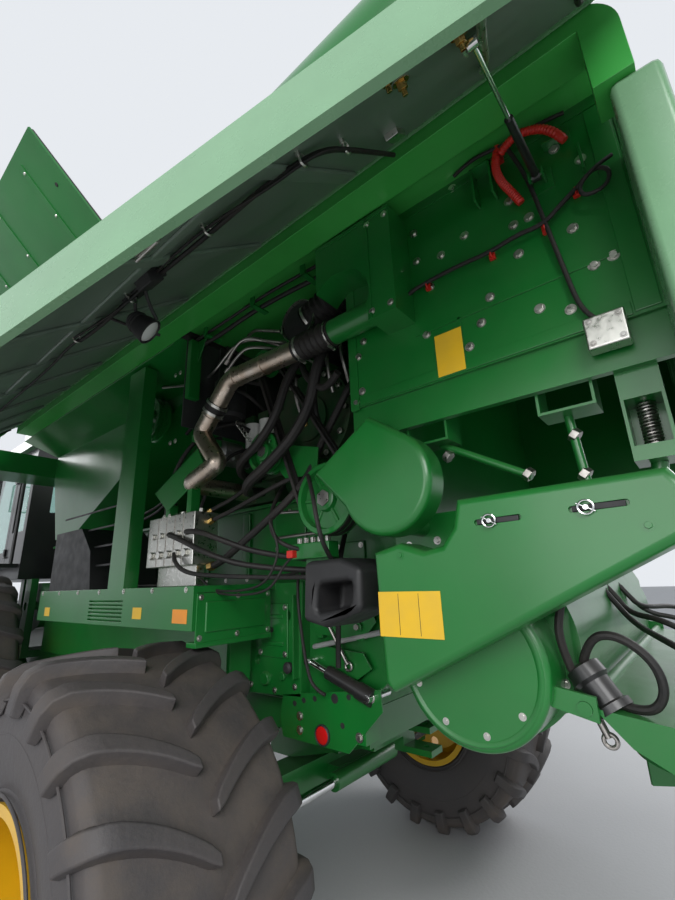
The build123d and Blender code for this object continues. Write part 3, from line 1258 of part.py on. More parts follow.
# Unloading auger, folded back along the left side: its elbow, its tube with a flange, and its boot
SPOUT_FRONT = REAR_END - 260
ELBOW_LOW = ELBOW_TOP + SEAT
ELBOW_END = AUGER_Y + AUGER_Z - ELBOW_LOW
FLANGE_RADIUS, FLANGE_THICK = AUGER_RADIUS + 28, 14
RING_START = ELBOW_END + FLANGE_THICK + SEAT
TUBE_START = RING_START + FLANGE_THICK + SEAT
BAND_RADIUS, BAND_WIDTH = AUGER_RADIUS + 4, 60


def round_tube(start, end, radius):
    """A length of the auger's tube between two places along the machine."""
    bar((AUGER_X, start, AUGER_Z), (AUGER_X, end, AUGER_Z), radius)


with BuildPart() as unloading_auger:
    with BuildSketch(Plane.XY.offset(ELBOW_LOW)) as elbow_mouth:
        with Locations((AUGER_X, AUGER_Y)):
            Circle(AUGER_RADIUS)
    revolve(elbow_mouth.sketch, axis=Axis((AUGER_X, ELBOW_END, ELBOW_LOW), (-1, 0, 0)), revolution_arc=90)
    round_tube(ELBOW_END, ELBOW_END + FLANGE_THICK, FLANGE_RADIUS)
    round_tube(RING_START, RING_START + FLANGE_THICK, FLANGE_RADIUS)
    round_tube(TUBE_START, SPOUT_FRONT, AUGER_RADIUS)
    for share in (1 / 3, 2 / 3):
        band = TUBE_START + share * (SPOUT_FRONT - TUBE_START)
        round_tube(band, band + BAND_WIDTH, BAND_RADIUS)
    side_plate(
        (
            (SPOUT_FRONT + SEAT, AUGER_Z + 170),
            (REAR_END - 60, AUGER_Z + 150),
            (REAR_END, AUGER_Z),
            (REAR_END - 20, AUGER_Z - 280),
            (SPOUT_FRONT + SEAT, AUGER_Z - 280),
        ),
        AUGER_X - 155,
        AUGER_X + 155,
    )
unloading_auger.part.label = "unloading_auger"
export_step(unloading_auger.part, "parts/unloading_auger.step")


# Feeder house, hollow at its mouth, with the header's interface plate and hooks
TOP_SLOPE = (1950 - 1330) / 2050
LOW_SLOPE = (1495 - 650) / 2150


def feeder_top(y):
    """Height of the feeder house's upper face."""
    return 1950 - TOP_SLOPE * (-2200 - y)


def feeder_low(y):
    """Height of the feeder house's lower face."""
    return 1495 - LOW_SLOPE * (-2100 - y)


MOUTH_BACK = -3600
FEEDER_RIBS, FEEDER_RIB = (-2700, -3150, -3600), 12
FEEDER_WALL = 50
PLATE_FACE = FEEDER_NOSE - 80
MOUTH_HALF = 640
MOUTH_LOW, MOUTH_TOP = 710, 1270
PLATE_TOP = 1400
with BuildPart() as feeder_house:
    disc(FEEDER_Y, FEEDER_Z, 228, -FEEDER_HALF, FEEDER_HALF)
    side_plate(
        (
            (-2200, feeder_top(-2200) - 4),
            (FEEDER_NOSE, feeder_top(FEEDER_NOSE)),
            (FEEDER_NOSE, feeder_low(FEEDER_NOSE)),
            (-2100, feeder_low(-2100) + 4),
        ),
        -FEEDER_HALF,
        FEEDER_HALF,
    )
    block((-780, 780), (PLATE_FACE, FEEDER_NOSE), (600, PLATE_TOP))
    block(
        (-MOUTH_HALF, MOUTH_HALF),
        (PLATE_FACE - 1, FEEDER_NOSE + 1),
        (MOUTH_LOW, MOUTH_TOP),
        Mode.SUBTRACT,
    )
    side_plate(
        (
            (MOUTH_BACK, feeder_top(MOUTH_BACK) - FEEDER_WALL),
            (FEEDER_NOSE, feeder_top(FEEDER_NOSE) - FEEDER_WALL),
            (FEEDER_NOSE, feeder_low(FEEDER_NOSE) + FEEDER_WALL),
            (MOUTH_BACK, feeder_low(MOUTH_BACK) + FEEDER_WALL),
        ),
        -FEEDER_HALF + FEEDER_WALL,
        FEEDER_HALF - FEEDER_WALL,
        Mode.SUBTRACT,
    )
    disc(FEEDER_Y, FEEDER_Z, 40, -790, 790)
    for side in (-1, 1):
        for edge in (EYE_LUG, -EYE_LUG - LUG_PLATE):
            side_plate(
                (
                    (LIFT_PIN_Y + 130, feeder_low(LIFT_PIN_Y + 130) + 5),
                    (LIFT_PIN_Y - 130, feeder_low(LIFT_PIN_Y - 130) + 5),
                    (LIFT_PIN_Y - 50, LIFT_PIN_Z - 50),
                    (LIFT_PIN_Y + 50, LIFT_PIN_Z - 50),
                ),
                side * LIFT_X + edge,
                side * LIFT_X + edge + LUG_PLATE,
            )
        for y in FEEDER_RIBS:
            block(
                (side * FEEDER_HALF, side * (FEEDER_HALF + FEEDER_RIB)),
                (y - 25, y + 25),
                (feeder_low(y) + 40, feeder_top(y) - 40),
            )
        side_plate(
            (
                (FEEDER_NOSE, PLATE_TOP - 5),
                (FEEDER_NOSE, PLATE_TOP + 30),
                (FRONT_END + 50, PLATE_TOP + 30),
                (FRONT_END + 35, PLATE_TOP + 70),
                (FRONT_END, PLATE_TOP + 70),
                (FRONT_END, PLATE_TOP + 4),
                (PLATE_FACE + 2, PLATE_TOP + 4),
                (PLATE_FACE + 4, PLATE_TOP - 5),
            ),
            side * 560,
            side * 680,
        )
feeder_house.part.label = "feeder_house"
export_step(feeder_house.part, "parts/feeder_house.step")


# Lift cylinders between the front axle and the feeder house
BARREL_LENGTH = 520
LIFT_EYE = 42
foot_point = Vector(0, LIFT_Y, LIFT_Z)
head_point = Vector(0, LIFT_PIN_Y, LIFT_PIN_Z)
lift_run = (head_point - foot_point).normalized()
with BuildPart() as lift_barrels:
    for side in (-1, 1):
        foot = foot_point + Vector(side * LIFT_X, 0, 0)
        half_eye = Vector(LIFT_BARREL - 2, 0, 0)
        bar(foot + lift_run * 20, foot + lift_run * BARREL_LENGTH, LIFT_BARREL)
        bar(foot + lift_run * 60, foot + lift_run * (BARREL_LENGTH + 1), LIFT_ROD + 1, Mode.SUBTRACT)
        bar(foot - half_eye, foot + half_eye, LIFT_EYE)
        bar(foot - half_eye, foot + half_eye, 20.5, Mode.SUBTRACT)
lift_barrels.part.label = "lift_barrels"
export_step(lift_barrels.part, "parts/lift_barrels.step")

with BuildPart() as lift_rods:
    for side in (-1, 1):
        foot = foot_point + Vector(side * LIFT_X, 0, 0)
        head = head_point + Vector(side * LIFT_X, 0, 0)
        half_eye = Vector(LIFT_ROD, 0, 0)
        bar(foot + lift_run * 200, head - lift_run * 10, LIFT_ROD)
        bar(head - half_eye, head + half_eye, LIFT_EYE)
lift_rods.part.label = "lift_rods"
export_step(lift_rods.part, "parts/lift_rods.step")
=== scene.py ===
"""Looks of a combine harvester, parked with its side panels raised over the engine bay.

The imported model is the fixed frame: metres, front -Y, the machine's left +X, up +Z.
Each operator makes one piece or one group of like pieces, and the stage has its own.
"""

import json
from math import asin, atan2, cos, pi, radians, sin, sqrt

import bpy
from mathutils import Matrix, Vector

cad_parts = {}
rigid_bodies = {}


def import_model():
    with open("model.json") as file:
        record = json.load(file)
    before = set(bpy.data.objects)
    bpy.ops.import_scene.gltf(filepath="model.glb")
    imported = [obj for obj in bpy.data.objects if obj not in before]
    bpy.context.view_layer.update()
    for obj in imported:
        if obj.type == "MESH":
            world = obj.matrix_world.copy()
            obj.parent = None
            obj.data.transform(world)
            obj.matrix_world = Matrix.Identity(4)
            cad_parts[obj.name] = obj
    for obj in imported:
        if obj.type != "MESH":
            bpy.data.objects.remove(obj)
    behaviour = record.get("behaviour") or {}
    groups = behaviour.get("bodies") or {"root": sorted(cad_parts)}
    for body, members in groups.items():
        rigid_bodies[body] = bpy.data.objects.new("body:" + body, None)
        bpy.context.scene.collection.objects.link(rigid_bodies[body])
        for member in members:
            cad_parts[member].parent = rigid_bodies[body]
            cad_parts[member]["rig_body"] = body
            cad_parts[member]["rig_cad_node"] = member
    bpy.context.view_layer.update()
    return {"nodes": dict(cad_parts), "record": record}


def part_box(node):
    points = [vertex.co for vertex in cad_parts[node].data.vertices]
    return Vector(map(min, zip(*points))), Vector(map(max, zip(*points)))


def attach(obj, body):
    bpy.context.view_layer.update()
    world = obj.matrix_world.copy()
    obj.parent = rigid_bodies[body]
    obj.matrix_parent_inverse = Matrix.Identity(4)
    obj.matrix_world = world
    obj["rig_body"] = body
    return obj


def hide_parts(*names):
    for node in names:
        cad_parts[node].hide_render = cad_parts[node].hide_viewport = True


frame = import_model()

bl_info = {
    "name": "Combine harvester looks",
    "version": (1, 0, 0),
    "blender": (4, 5, 0),
    "location": "View3D > Sidebar > Harvester",
    "description": "Adds paint, hoses, guards and small parts to the packed combine harvester",
    "category": "Object",
}

# Main directions: the machine's left, its rear, up
LEFTWARD, REARWARD, UPWARD = (1, 0, 0), (0, 1, 0), (0, 0, 1)

# The record's material slot that each finish belongs to
SLOTS = {look: slot for slot, looks in (
    ("green_paint", "green"),
    ("pale_green_paint", "pale lining bright"),
    ("yellow_paint", "yellow label orange_label"),
    ("black_plastic", "hose belt plastic red_plastic white_plastic amber red_glass lens mirror seat"),
    ("dark_steel", "dark"),
    ("black_steel", "black"),
    ("coated_pipe", "pipe rust"),
    ("machined_steel", "zinc steel chrome brass grey_plastic"),
    ("engine_casting", "aluminium"),
) for look in looks.split()}
# The material of each finish, filled by main()
FINISHES = {}


# Settings

class HarvesterPaint(bpy.types.PropertyGroup):
    """Colours of the machine, as the shaders take them"""

    green: bpy.props.FloatVectorProperty(
        name="Green", description="Body paint", subtype="COLOR", size=3,
        default=(0.006, 0.15, 0.022), min=0, max=1)
    pale: bpy.props.FloatVectorProperty(
        name="Pale green", description="Paint of the raised panels' edges, rails and rear corners",
        subtype="COLOR", size=3, default=(0.185, 0.36, 0.2), min=0, max=1)
    inner: bpy.props.FloatVectorProperty(
        name="Panel lining", description="Dull inner face of the raised panels", subtype="COLOR",
        size=3, default=(0.15, 0.195, 0.16), min=0, max=1)
    # Rail green: the body green made brighter, a painted highlight where the roof rails face the open sky
    rail: bpy.props.FloatVectorProperty(
        name="Rail green", description="Roof rails in the open light", subtype="COLOR", size=3,
        default=(0.045, 0.36, 0.06), min=0, max=1)
    # Bright edge: a painted highlight, the lit rim along the raised panels' edge bead, lighter than the pale
    # paint
    bright: bpy.props.FloatVectorProperty(
        name="Bright edge", description="Worn edges of the raised panels", subtype="COLOR",
        size=3, default=(0.3, 0.56, 0.28), min=0, max=1)
    yellow: bpy.props.FloatVectorProperty(
        name="Yellow", description="Rims and blank label plates", subtype="COLOR", size=3,
        default=(0.7, 0.4, 0.008), min=0, max=1)
    rubber: bpy.props.FloatVectorProperty(
        name="Tyre rubber", description="Clean rubber between the lugs", subtype="COLOR", size=3,
        default=(0.058, 0.054, 0.057), min=0, max=1)
    soil: bpy.props.FloatVectorProperty(
        name="Dry soil", description="Dust and dried soil", subtype="COLOR", size=3,
        default=(0.135, 0.108, 0.086), min=0, max=1)
    dust: bpy.props.FloatProperty(
        name="Dust", description="How much dust lies on the paint", subtype="FACTOR",
        default=0.16, min=0, max=1)


class HarvesterSizes(bpy.types.PropertyGroup):
    """Sizes that the small parts share"""

    bolt: bpy.props.FloatProperty(
        name="Bolt radius", description="Half the width of a bolt's head", unit="LENGTH",
        default=0.011, min=0.004, max=0.03)
    cable: bpy.props.FloatProperty(
        name="Cable radius", description="Radius of a cable in its sleeve", unit="LENGTH",
        default=0.006, min=0.002, max=0.02)
    front_lugs: bpy.props.IntProperty(
        name="Front lugs", description="Lugs on each side of a drive tyre", default=23, min=12, max=32)
    rear_lugs: bpy.props.IntProperty(
        name="Rear lugs", description="Lugs on each side of a steered tyre", default=20, min=12, max=32)
    lug_height: bpy.props.FloatProperty(
        name="Lug height", description="Height of a lug over the carcass", unit="LENGTH",
        default=0.048, min=0.02, max=0.08)


class HarvesterStage(bpy.types.PropertyGroup):
    """Camera and light"""

    camera: bpy.props.FloatVectorProperty(
        name="Camera place", description="Behind the left rear wheel, under the raised panel",
        subtype="TRANSLATION", size=3, default=(2.4, 3.36, 1.86))
    lens: bpy.props.FloatProperty(
        name="Lens", description="Focal length in millimetres on a 36 mm sensor", default=17.44, min=8,
        max=120)
    floor: bpy.props.FloatVectorProperty(
        name="Floor", description="Colour of the floor", subtype="COLOR", size=3,
        default=(0.5, 0.495, 0.5), min=0, max=1)
    key_power: bpy.props.FloatProperty(
        name="Key light", description="Power of the large lamp in watts", default=900, min=0, max=5000)


# Making meshes

def deselect():
    """Leaves edit mode and clears the selection."""
    if bpy.context.object and bpy.context.object.mode != "OBJECT":
        bpy.ops.object.mode_set(mode="OBJECT")
    bpy.ops.object.select_all(action="DESELECT")


def choose(*pieces):
    """Selects some objects, the first of them active."""
    deselect()
    for piece in pieces:
        piece.select_set(True)
    bpy.context.view_layer.objects.active = pieces[0]


def settle(piece):
    """Moves an object's place into its mesh."""
    choose(piece)
    bpy.ops.object.transform_apply(location=True, rotation=True, scale=True)
    return piece


def modify(piece, kind, **settings):
    """Adds a modifier and applies it."""
    choose(piece)
    modifier = piece.modifiers.new(kind.title(), kind)
    for key, value in settings.items():
        setattr(modifier, key, value)
    bpy.ops.object.modifier_apply(modifier=modifier.name)
    return piece


def round_edges(piece, width, segments=2, angle=35):
    """Bevels the edges that are sharper than an angle."""
    return modify(
        piece, "BEVEL", width=width, segments=segments, limit_method="ANGLE",
        angle_limit=radians(angle), miter_outer="MITER_ARC")


def slab(low, high, bevel=0.004, segments=2):
    """A box between two corners with rounded edges."""
    deselect()
    middle = [(a + b) / 2 for a, b in zip(low, high)]
    bpy.ops.mesh.primitive_cube_add(size=1, location=middle)
    piece = bpy.context.object
    piece.scale = [abs(b - a) for a, b in zip(low, high)]
    settle(piece)
    return round_edges(piece, bevel, segments) if bevel else piece


def rod(start, end, radius, end_radius=None, sides=20, bevel=0.0):
    """A round bar or cone from one point to another."""
    start, end = Vector(start), Vector(end)
    run = end - start
    deselect()
    bpy.ops.mesh.primitive_cone_add(
        vertices=sides, radius1=radius, radius2=radius if end_radius is None else end_radius,
        depth=run.length, location=(start + end) / 2, rotation=run.to_track_quat("Z", "Y").to_euler())
    piece = settle(bpy.context.object)
    return round_edges(piece, bevel, 2, 50) if bevel else piece


def nut(start, end, radius, bevel=0.001):
    """A hexagonal bar from one point to another."""
    return rod(start, end, radius, sides=6, bevel=bevel)


def edit_all():
    """Enters edit mode with the whole mesh selected."""
    bpy.ops.object.mode_set(mode="EDIT")
    bpy.ops.mesh.select_all(action="SELECT")


def face_outwards():
    """Turns the faces of the mesh in edit mode outwards, and leaves edit mode."""
    bpy.ops.mesh.select_all(action="SELECT")
    bpy.ops.mesh.normals_make_consistent(inside=False)
    bpy.ops.object.mode_set(mode="OBJECT")


def plate(outline, low, high, across="X", bevel=0.003):
    """A flat outline, given in the two other axes, thickened along one axis."""
    place = {
        "X": lambda a, b: (low, a, b),
        "Y": lambda a, b: (a, low, b),
        "Z": lambda a, b: (a, b, low),
    }[across]
    thick = {"X": (high - low, 0, 0), "Y": (0, high - low, 0), "Z": (0, 0, high - low)}[across]
    deselect()
    bpy.ops.mesh.primitive_circle_add(vertices=len(outline), radius=1, fill_type="NGON")
    piece = bpy.context.object
    for vertex, (a, b) in zip(piece.data.vertices, outline):
        vertex.co = place(a, b)
    edit_all()
    bpy.ops.mesh.extrude_region_move(TRANSFORM_OT_translate={"value": thick})
    face_outwards()
    return round_edges(piece, bevel) if bevel else piece


def hose(points, radius, fine=6, ribs=0.0, pitch=0.0, sides=3):
    """A smooth hose, cable or bent tube along a line, ribbed where it is corrugated."""
    deselect()
    bpy.ops.curve.primitive_nurbs_path_add()
    piece = bpy.context.object
    piece.data.splines.clear()
    spline = piece.data.splines.new("NURBS")
    spline.points.add(len(points) - 1)
    for point, co in zip(spline.points, points):
        point.co = (*co, 1)
    spline.order_u = 3
    spline.use_endpoint_u = True
    spline.resolution_u = fine
    piece.data.resolution_u = fine
    piece.data.bevel_depth = radius
    piece.data.bevel_resolution = sides
    piece.data.use_fill_caps = True
    if ribs:
        length = spline.calc_length()
        spline.resolution_u = max(4, int(2 * length / pitch / max(1, len(points) - 1)))
        piece.data.resolution_u = spline.resolution_u
    choose(piece)
    bpy.ops.object.convert(target="MESH")
    piece = bpy.context.object
    if ribs:
        swell_rings(piece, ribs, 2 * (sides + 2))
    return settle(piece)


def hoses(rows, fine=8):
    """Hoses from rows of their points and radius."""
    return [hose(points, radius, fine) for points, radius in rows]


def swell_rings(piece, ribs, ring):
    """Moves every second ring of a swept tube outwards."""
    vertices = piece.data.vertices
    count = len(vertices) // ring
    for k in range(1, count - 1, 2):
        group = vertices[k * ring:(k + 1) * ring]
        middle = sum((v.co for v in group), Vector()) / ring
        for vertex in group:
            out = (vertex.co - middle).normalized()
            vertex.co = vertex.co + out * ribs


def ring(middle, axis, radius, thick, sides=48, around=10):
    """A torus about an axis."""
    deselect()
    bpy.ops.mesh.primitive_torus_add(
        location=middle, rotation=Vector(axis).to_track_quat("Z", "Y").to_euler(),
        major_radius=radius, minor_radius=thick, major_segments=sides, minor_segments=around)
    return settle(bpy.context.object)


def lathe(profile, middle, axis, steps=64):
    """A profile of (radius, height) points spun about an axis and closed."""
    deselect()
    bpy.ops.mesh.primitive_circle_add(vertices=len(profile), radius=1, fill_type="NOTHING")
    piece = bpy.context.object
    for vertex, (radius, height) in zip(piece.data.vertices, profile):
        vertex.co = (radius, 0, height)
    edit_all()
    bpy.ops.mesh.spin(steps=steps, angle=2 * pi, center=(0, 0, 0), axis=UPWARD)
    bpy.ops.mesh.select_all(action="SELECT")
    bpy.ops.mesh.remove_doubles(threshold=0.00005)
    face_outwards()
    turn = Vector(axis).to_track_quat("Z", "Y").to_matrix().to_4x4()
    piece.data.transform(Matrix.Translation(middle) @ turn)
    return piece


def copy_to(piece, matrix):
    """Another piece of the same shape, moved, with a mesh of its own."""
    twin = piece.copy()
    twin.data = piece.data.copy()
    bpy.context.scene.collection.objects.link(twin)
    twin.data.transform(matrix)
    return twin


def together(pieces):
    """Joins pieces into the first."""
    choose(*pieces)
    if len(pieces) > 1:
        bpy.ops.object.join()
    return bpy.context.object


def mirrored(piece):
    """A copy on the machine's other side, its faces still outwards."""
    twin = copy_to(piece, Matrix.Diagonal((-1, 1, 1, 1)))
    twin.data.flip_normals()
    return twin


def dress(piece, look, smooth=35):
    """Gives an object one finish, and smooth shading up to an angle."""
    piece.data.materials.clear()
    piece.data.materials.append(FINISHES[look])
    choose(piece)
    bpy.ops.object.shade_smooth_by_angle(angle=radians(smooth))


def finish(name, pieces, look, body="chassis", slot=None, smooth=35):
    """Joins pieces under a name, gives them a finish and a body; the slot is worked out but not given to the
    piece.
    """
    piece = together(pieces if isinstance(pieces, list) else [pieces])
    piece.name = piece.data.name = name
    dress(piece, look, smooth)
    modify(piece, "WEIGHTED_NORMAL", keep_sharp=True)
    slot = slot or SLOTS[look]
    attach(piece, body)
    return piece


def both_sides(name, pieces, look, body="chassis", slot=None):
    """Finishes a piece of the left side, and its mirror image on the right side's body."""
    left = finish(f"{name}_left", pieces, look, body, slot)
    finish(f"{name}_right", mirrored(left), look, body.replace("left", "right"), slot)


def bolts(places, axis, radius, high=0.006, washer=1.5):
    """Hexagon heads on washers at some places, all facing one way."""
    axis = Vector(axis).normalized()
    head = rod((0, 0, 0), axis * high, radius, radius * 0.94, sides=6, bevel=0.0008)
    disc = rod((0, 0, 0), axis * high * 0.25, radius * washer, sides=16)
    one = together([head, disc])
    twins = [copy_to(one, Matrix.Translation(place)) for place in places]
    bpy.data.objects.remove(one)
    return together(twins)


# Materials

class Shader:
    """A material's node tree, with short calls to add and join its nodes."""

    def __init__(self, name):
        self.material = bpy.data.materials.new(name)
        self.material.use_nodes = True
        self.tree = self.material.node_tree
        self.surface = self.tree.nodes["Principled BSDF"]
        self.place = self.tree.nodes.new("ShaderNodeTexCoord").outputs["Object"]

    def node(self, kind, inputs=(), **settings):
        """Adds a node; inputs are pairs of a socket and a value or another node's output."""
        made = self.tree.nodes.new(kind)
        for key, value in settings.items():
            setattr(made, key, value)
        for key, value in inputs:
            self.join(value, made.inputs[key])
        return made

    def join(self, value, socket):
        """Links an output to a socket, or sets the socket's value."""
        if isinstance(value, bpy.types.NodeSocket):
            self.tree.links.new(value, socket)
        else:
            socket.default_value = value

    def noise(self, scale, detail=3.0, rough=0.55, stretch=None):
        """A noise over the object's own coordinates."""
        place = self.place
        if stretch:
            place = self.node("ShaderNodeMapping", [("Vector", place), ("Scale", stretch)]).outputs[0]
        inputs = [("Vector", place), ("Scale", scale), ("Detail", detail), ("Roughness", rough)]
        return self.node("ShaderNodeTexNoise", inputs).outputs["Fac"]

    def levels(self, value, low, high, to_low=0.0, to_high=1.0):
        """Maps a range of a value to another, clamped."""
        inputs = [
            ("Value", value), ("From Min", low), ("From Max", high), ("To Min", to_low), ("To Max", to_high)]
        return self.node("ShaderNodeMapRange", inputs, clamp=True).outputs["Result"]

    def maths(self, operation, first, second):
        """One arithmetic step."""
        return self.node("ShaderNodeMath", [(0, first), (1, second)], operation=operation).outputs[0]

    def blend(self, factor, first, second):
        """Mixes two colours."""
        made = self.node("ShaderNodeMix", data_type="RGBA")
        self.join(factor, made.inputs["Factor"])
        self.join(colour4(first), made.inputs["A"])
        self.join(colour4(second), made.inputs["B"])
        return made.outputs["Result"]

    def relief(self, heights):
        """Chains bumps: pairs of a height output and a distance in metres."""
        normal = None
        for height, distance in heights:
            inputs = [("Height", height), ("Distance", distance)]
            if normal is not None:
                inputs.append(("Normal", normal))
            normal = self.node("ShaderNodeBump", inputs).outputs["Normal"]
        self.tree.links.new(normal, self.surface.inputs["Normal"])

    def set(self, **values):
        """Sets or links sockets of the surface shader, named with underscores."""
        for key, value in values.items():
            self.join(value, self.surface.inputs[key.replace("_", " ")])
        return self


def colour4(value):
    """A colour with its alpha, or the output it was given."""
    return value if isinstance(value, bpy.types.NodeSocket) else (*value[:3], 1.0)


def shade(colour, factor):
    """A colour made lighter or darker."""
    return tuple(min(1.0, c * factor) for c in colour[:3])


def upward(shader):
    """How far a surface faces up, from 0 to 1."""
    normal = shader.node("ShaderNodeNewGeometry").outputs["Normal"]
    parts = shader.node("ShaderNodeSeparateXYZ", [(0, normal)])
    return shader.levels(parts.outputs["Z"], 0.1, 1.0)


def paint(name, colour, dusty=1.0, rough=0.3):
    """Sprayed paint: slightly uneven, dusty where it faces up, scuffed in small marks."""
    look = bpy.context.scene.harvester_paint
    s = Shader(name)
    cloud = s.levels(s.noise(2.3, 5), 0.3, 0.75)
    speck = s.levels(s.noise(70, 4), 0.58, 0.72)
    film = s.maths("MULTIPLY", s.levels(s.noise(6.5, 6), 0.35, 0.8), 0.35 * look.dust * dusty)
    settled = s.maths("MULTIPLY", upward(s), look.dust * dusty)
    settled = s.maths("MULTIPLY", settled, s.levels(s.noise(11, 5), 0.25, 0.7, 0.45, 1.0))
    dirt = s.maths("ADD", film, settled)
    dirt = s.maths("ADD", dirt, s.maths("MULTIPLY", speck, 0.16 * look.dust * dusty))
    base = s.blend(cloud, shade(colour, 0.86), shade(colour, 1.12))
    s.set(Base_Color=s.blend(dirt, base, look.soil))
    s.set(Roughness=s.levels(dirt, 0.0, 0.5, rough, 0.75), Coat_Weight=0.35, Coat_Roughness=0.18)
    s.relief([(s.noise(2.0, 2), 0.004), (s.noise(420, 2), 0.00012)])
    return s.material


def lining(name, colour):
    """Dull primer on the panels' inside, with long wipe marks and a soft sheen."""
    look = bpy.context.scene.harvester_paint
    s = Shader(name)
    wipe = s.levels(s.noise(5, 6, 0.6, stretch=(1.0, 0.22, 1.0)), 0.35, 0.7)
    cloud = s.levels(s.noise(1.6, 4), 0.3, 0.75)
    base = s.blend(wipe, shade(colour, 0.78), shade(colour, 1.25))
    s.set(Base_Color=s.blend(s.maths("MULTIPLY", cloud, 0.3), base, shade(look.pale, 0.6)))
    s.set(Roughness=s.levels(wipe, 0, 1, 0.34, 0.55), Coat_Weight=0.2, Coat_Roughness=0.3)
    s.relief([(s.noise(2.2, 3), 0.006), (s.noise(300, 2), 0.0002)])
    return s.material


def rubber(name, colour, soil):
    """Belt or hose rubber, with dried soil in its pores."""
    look = bpy.context.scene.harvester_paint
    s = Shader(name)
    blotch = s.levels(s.noise(4.5, 7, 0.62), 0.36, 0.68)
    pores = s.levels(s.noise(95, 4), 0.42, 0.66)
    dirt = s.maths("MULTIPLY", s.maths("ADD", blotch, s.maths("MULTIPLY", pores, 0.5)), soil)
    s.set(Base_Color=s.blend(dirt, colour, look.soil), Roughness=s.levels(dirt, 0, 0.7, 0.52, 0.92))
    s.set(Specular_IOR_Level=0.35)
    s.relief([(s.noise(9, 5), 0.004), (s.noise(160, 4), 0.0006)])
    return s.material


def plastic(name, colour, rough=0.55, grain=0.00025):
    """Moulded plastic with a fine grain."""
    look = bpy.context.scene.harvester_paint
    s = Shader(name)
    dirt = s.maths("MULTIPLY", s.levels(s.noise(9, 6), 0.45, 0.8), 0.35 * look.dust)
    s.set(Base_Color=s.blend(dirt, colour, look.soil))
    s.set(Roughness=s.levels(s.noise(14, 3), 0.3, 0.7, rough - 0.08, rough + 0.12))
    s.relief([(s.noise(650, 2), grain)])
    return s.material


def metal(name, colour, rough=0.35, tint=None, grain=0.0001):
    """Bare metal with a clouded sheen."""
    s = Shader(name)
    cloud = s.levels(s.noise(5.5, 6), 0.3, 0.7)
    s.set(Base_Color=s.blend(cloud, colour, tint or shade(colour, 0.72)), Metallic=1.0)
    s.set(Roughness=s.levels(s.noise(60, 3), 0.3, 0.7, rough - 0.1, rough + 0.12))
    s.relief([(s.noise(240, 3), grain)])
    return s.material


def glass(name, colour):
    """Tinted glass, thin and clear."""
    s = Shader(name)
    haze = s.levels(s.noise(3, 5), 0.4, 0.8)
    s.set(Base_Color=colour4(colour), Transmission_Weight=1.0, IOR=1.45)
    s.set(Roughness=s.levels(haze, 0, 1, 0.0, 0.06))
    return s.material


def cast(name, colour):
    """Painted rough casting."""
    look = bpy.context.scene.harvester_paint
    s = Shader(name)
    dirt = s.levels(s.noise(8, 7, 0.6), 0.42, 0.72, 0.0, 0.55)
    s.set(Base_Color=s.blend(dirt, colour, shade(look.soil, 0.6)), Roughness=s.levels(dirt, 0, 0.5, 0.6, 0.9))
    s.relief([(s.noise(55, 5), 0.0015), (s.noise(260, 3), 0.0004)])
    return s.material


def label(name, colour, faded):
    """A blank label plate, unevenly faded."""
    s = Shader(name)
    fade = s.levels(s.noise(12, 4), 0.35, 0.75)
    s.set(Base_Color=s.blend(fade, colour, faded), Roughness=0.42)
    s.relief([(s.noise(300, 2), 0.0001)])
    return s.material


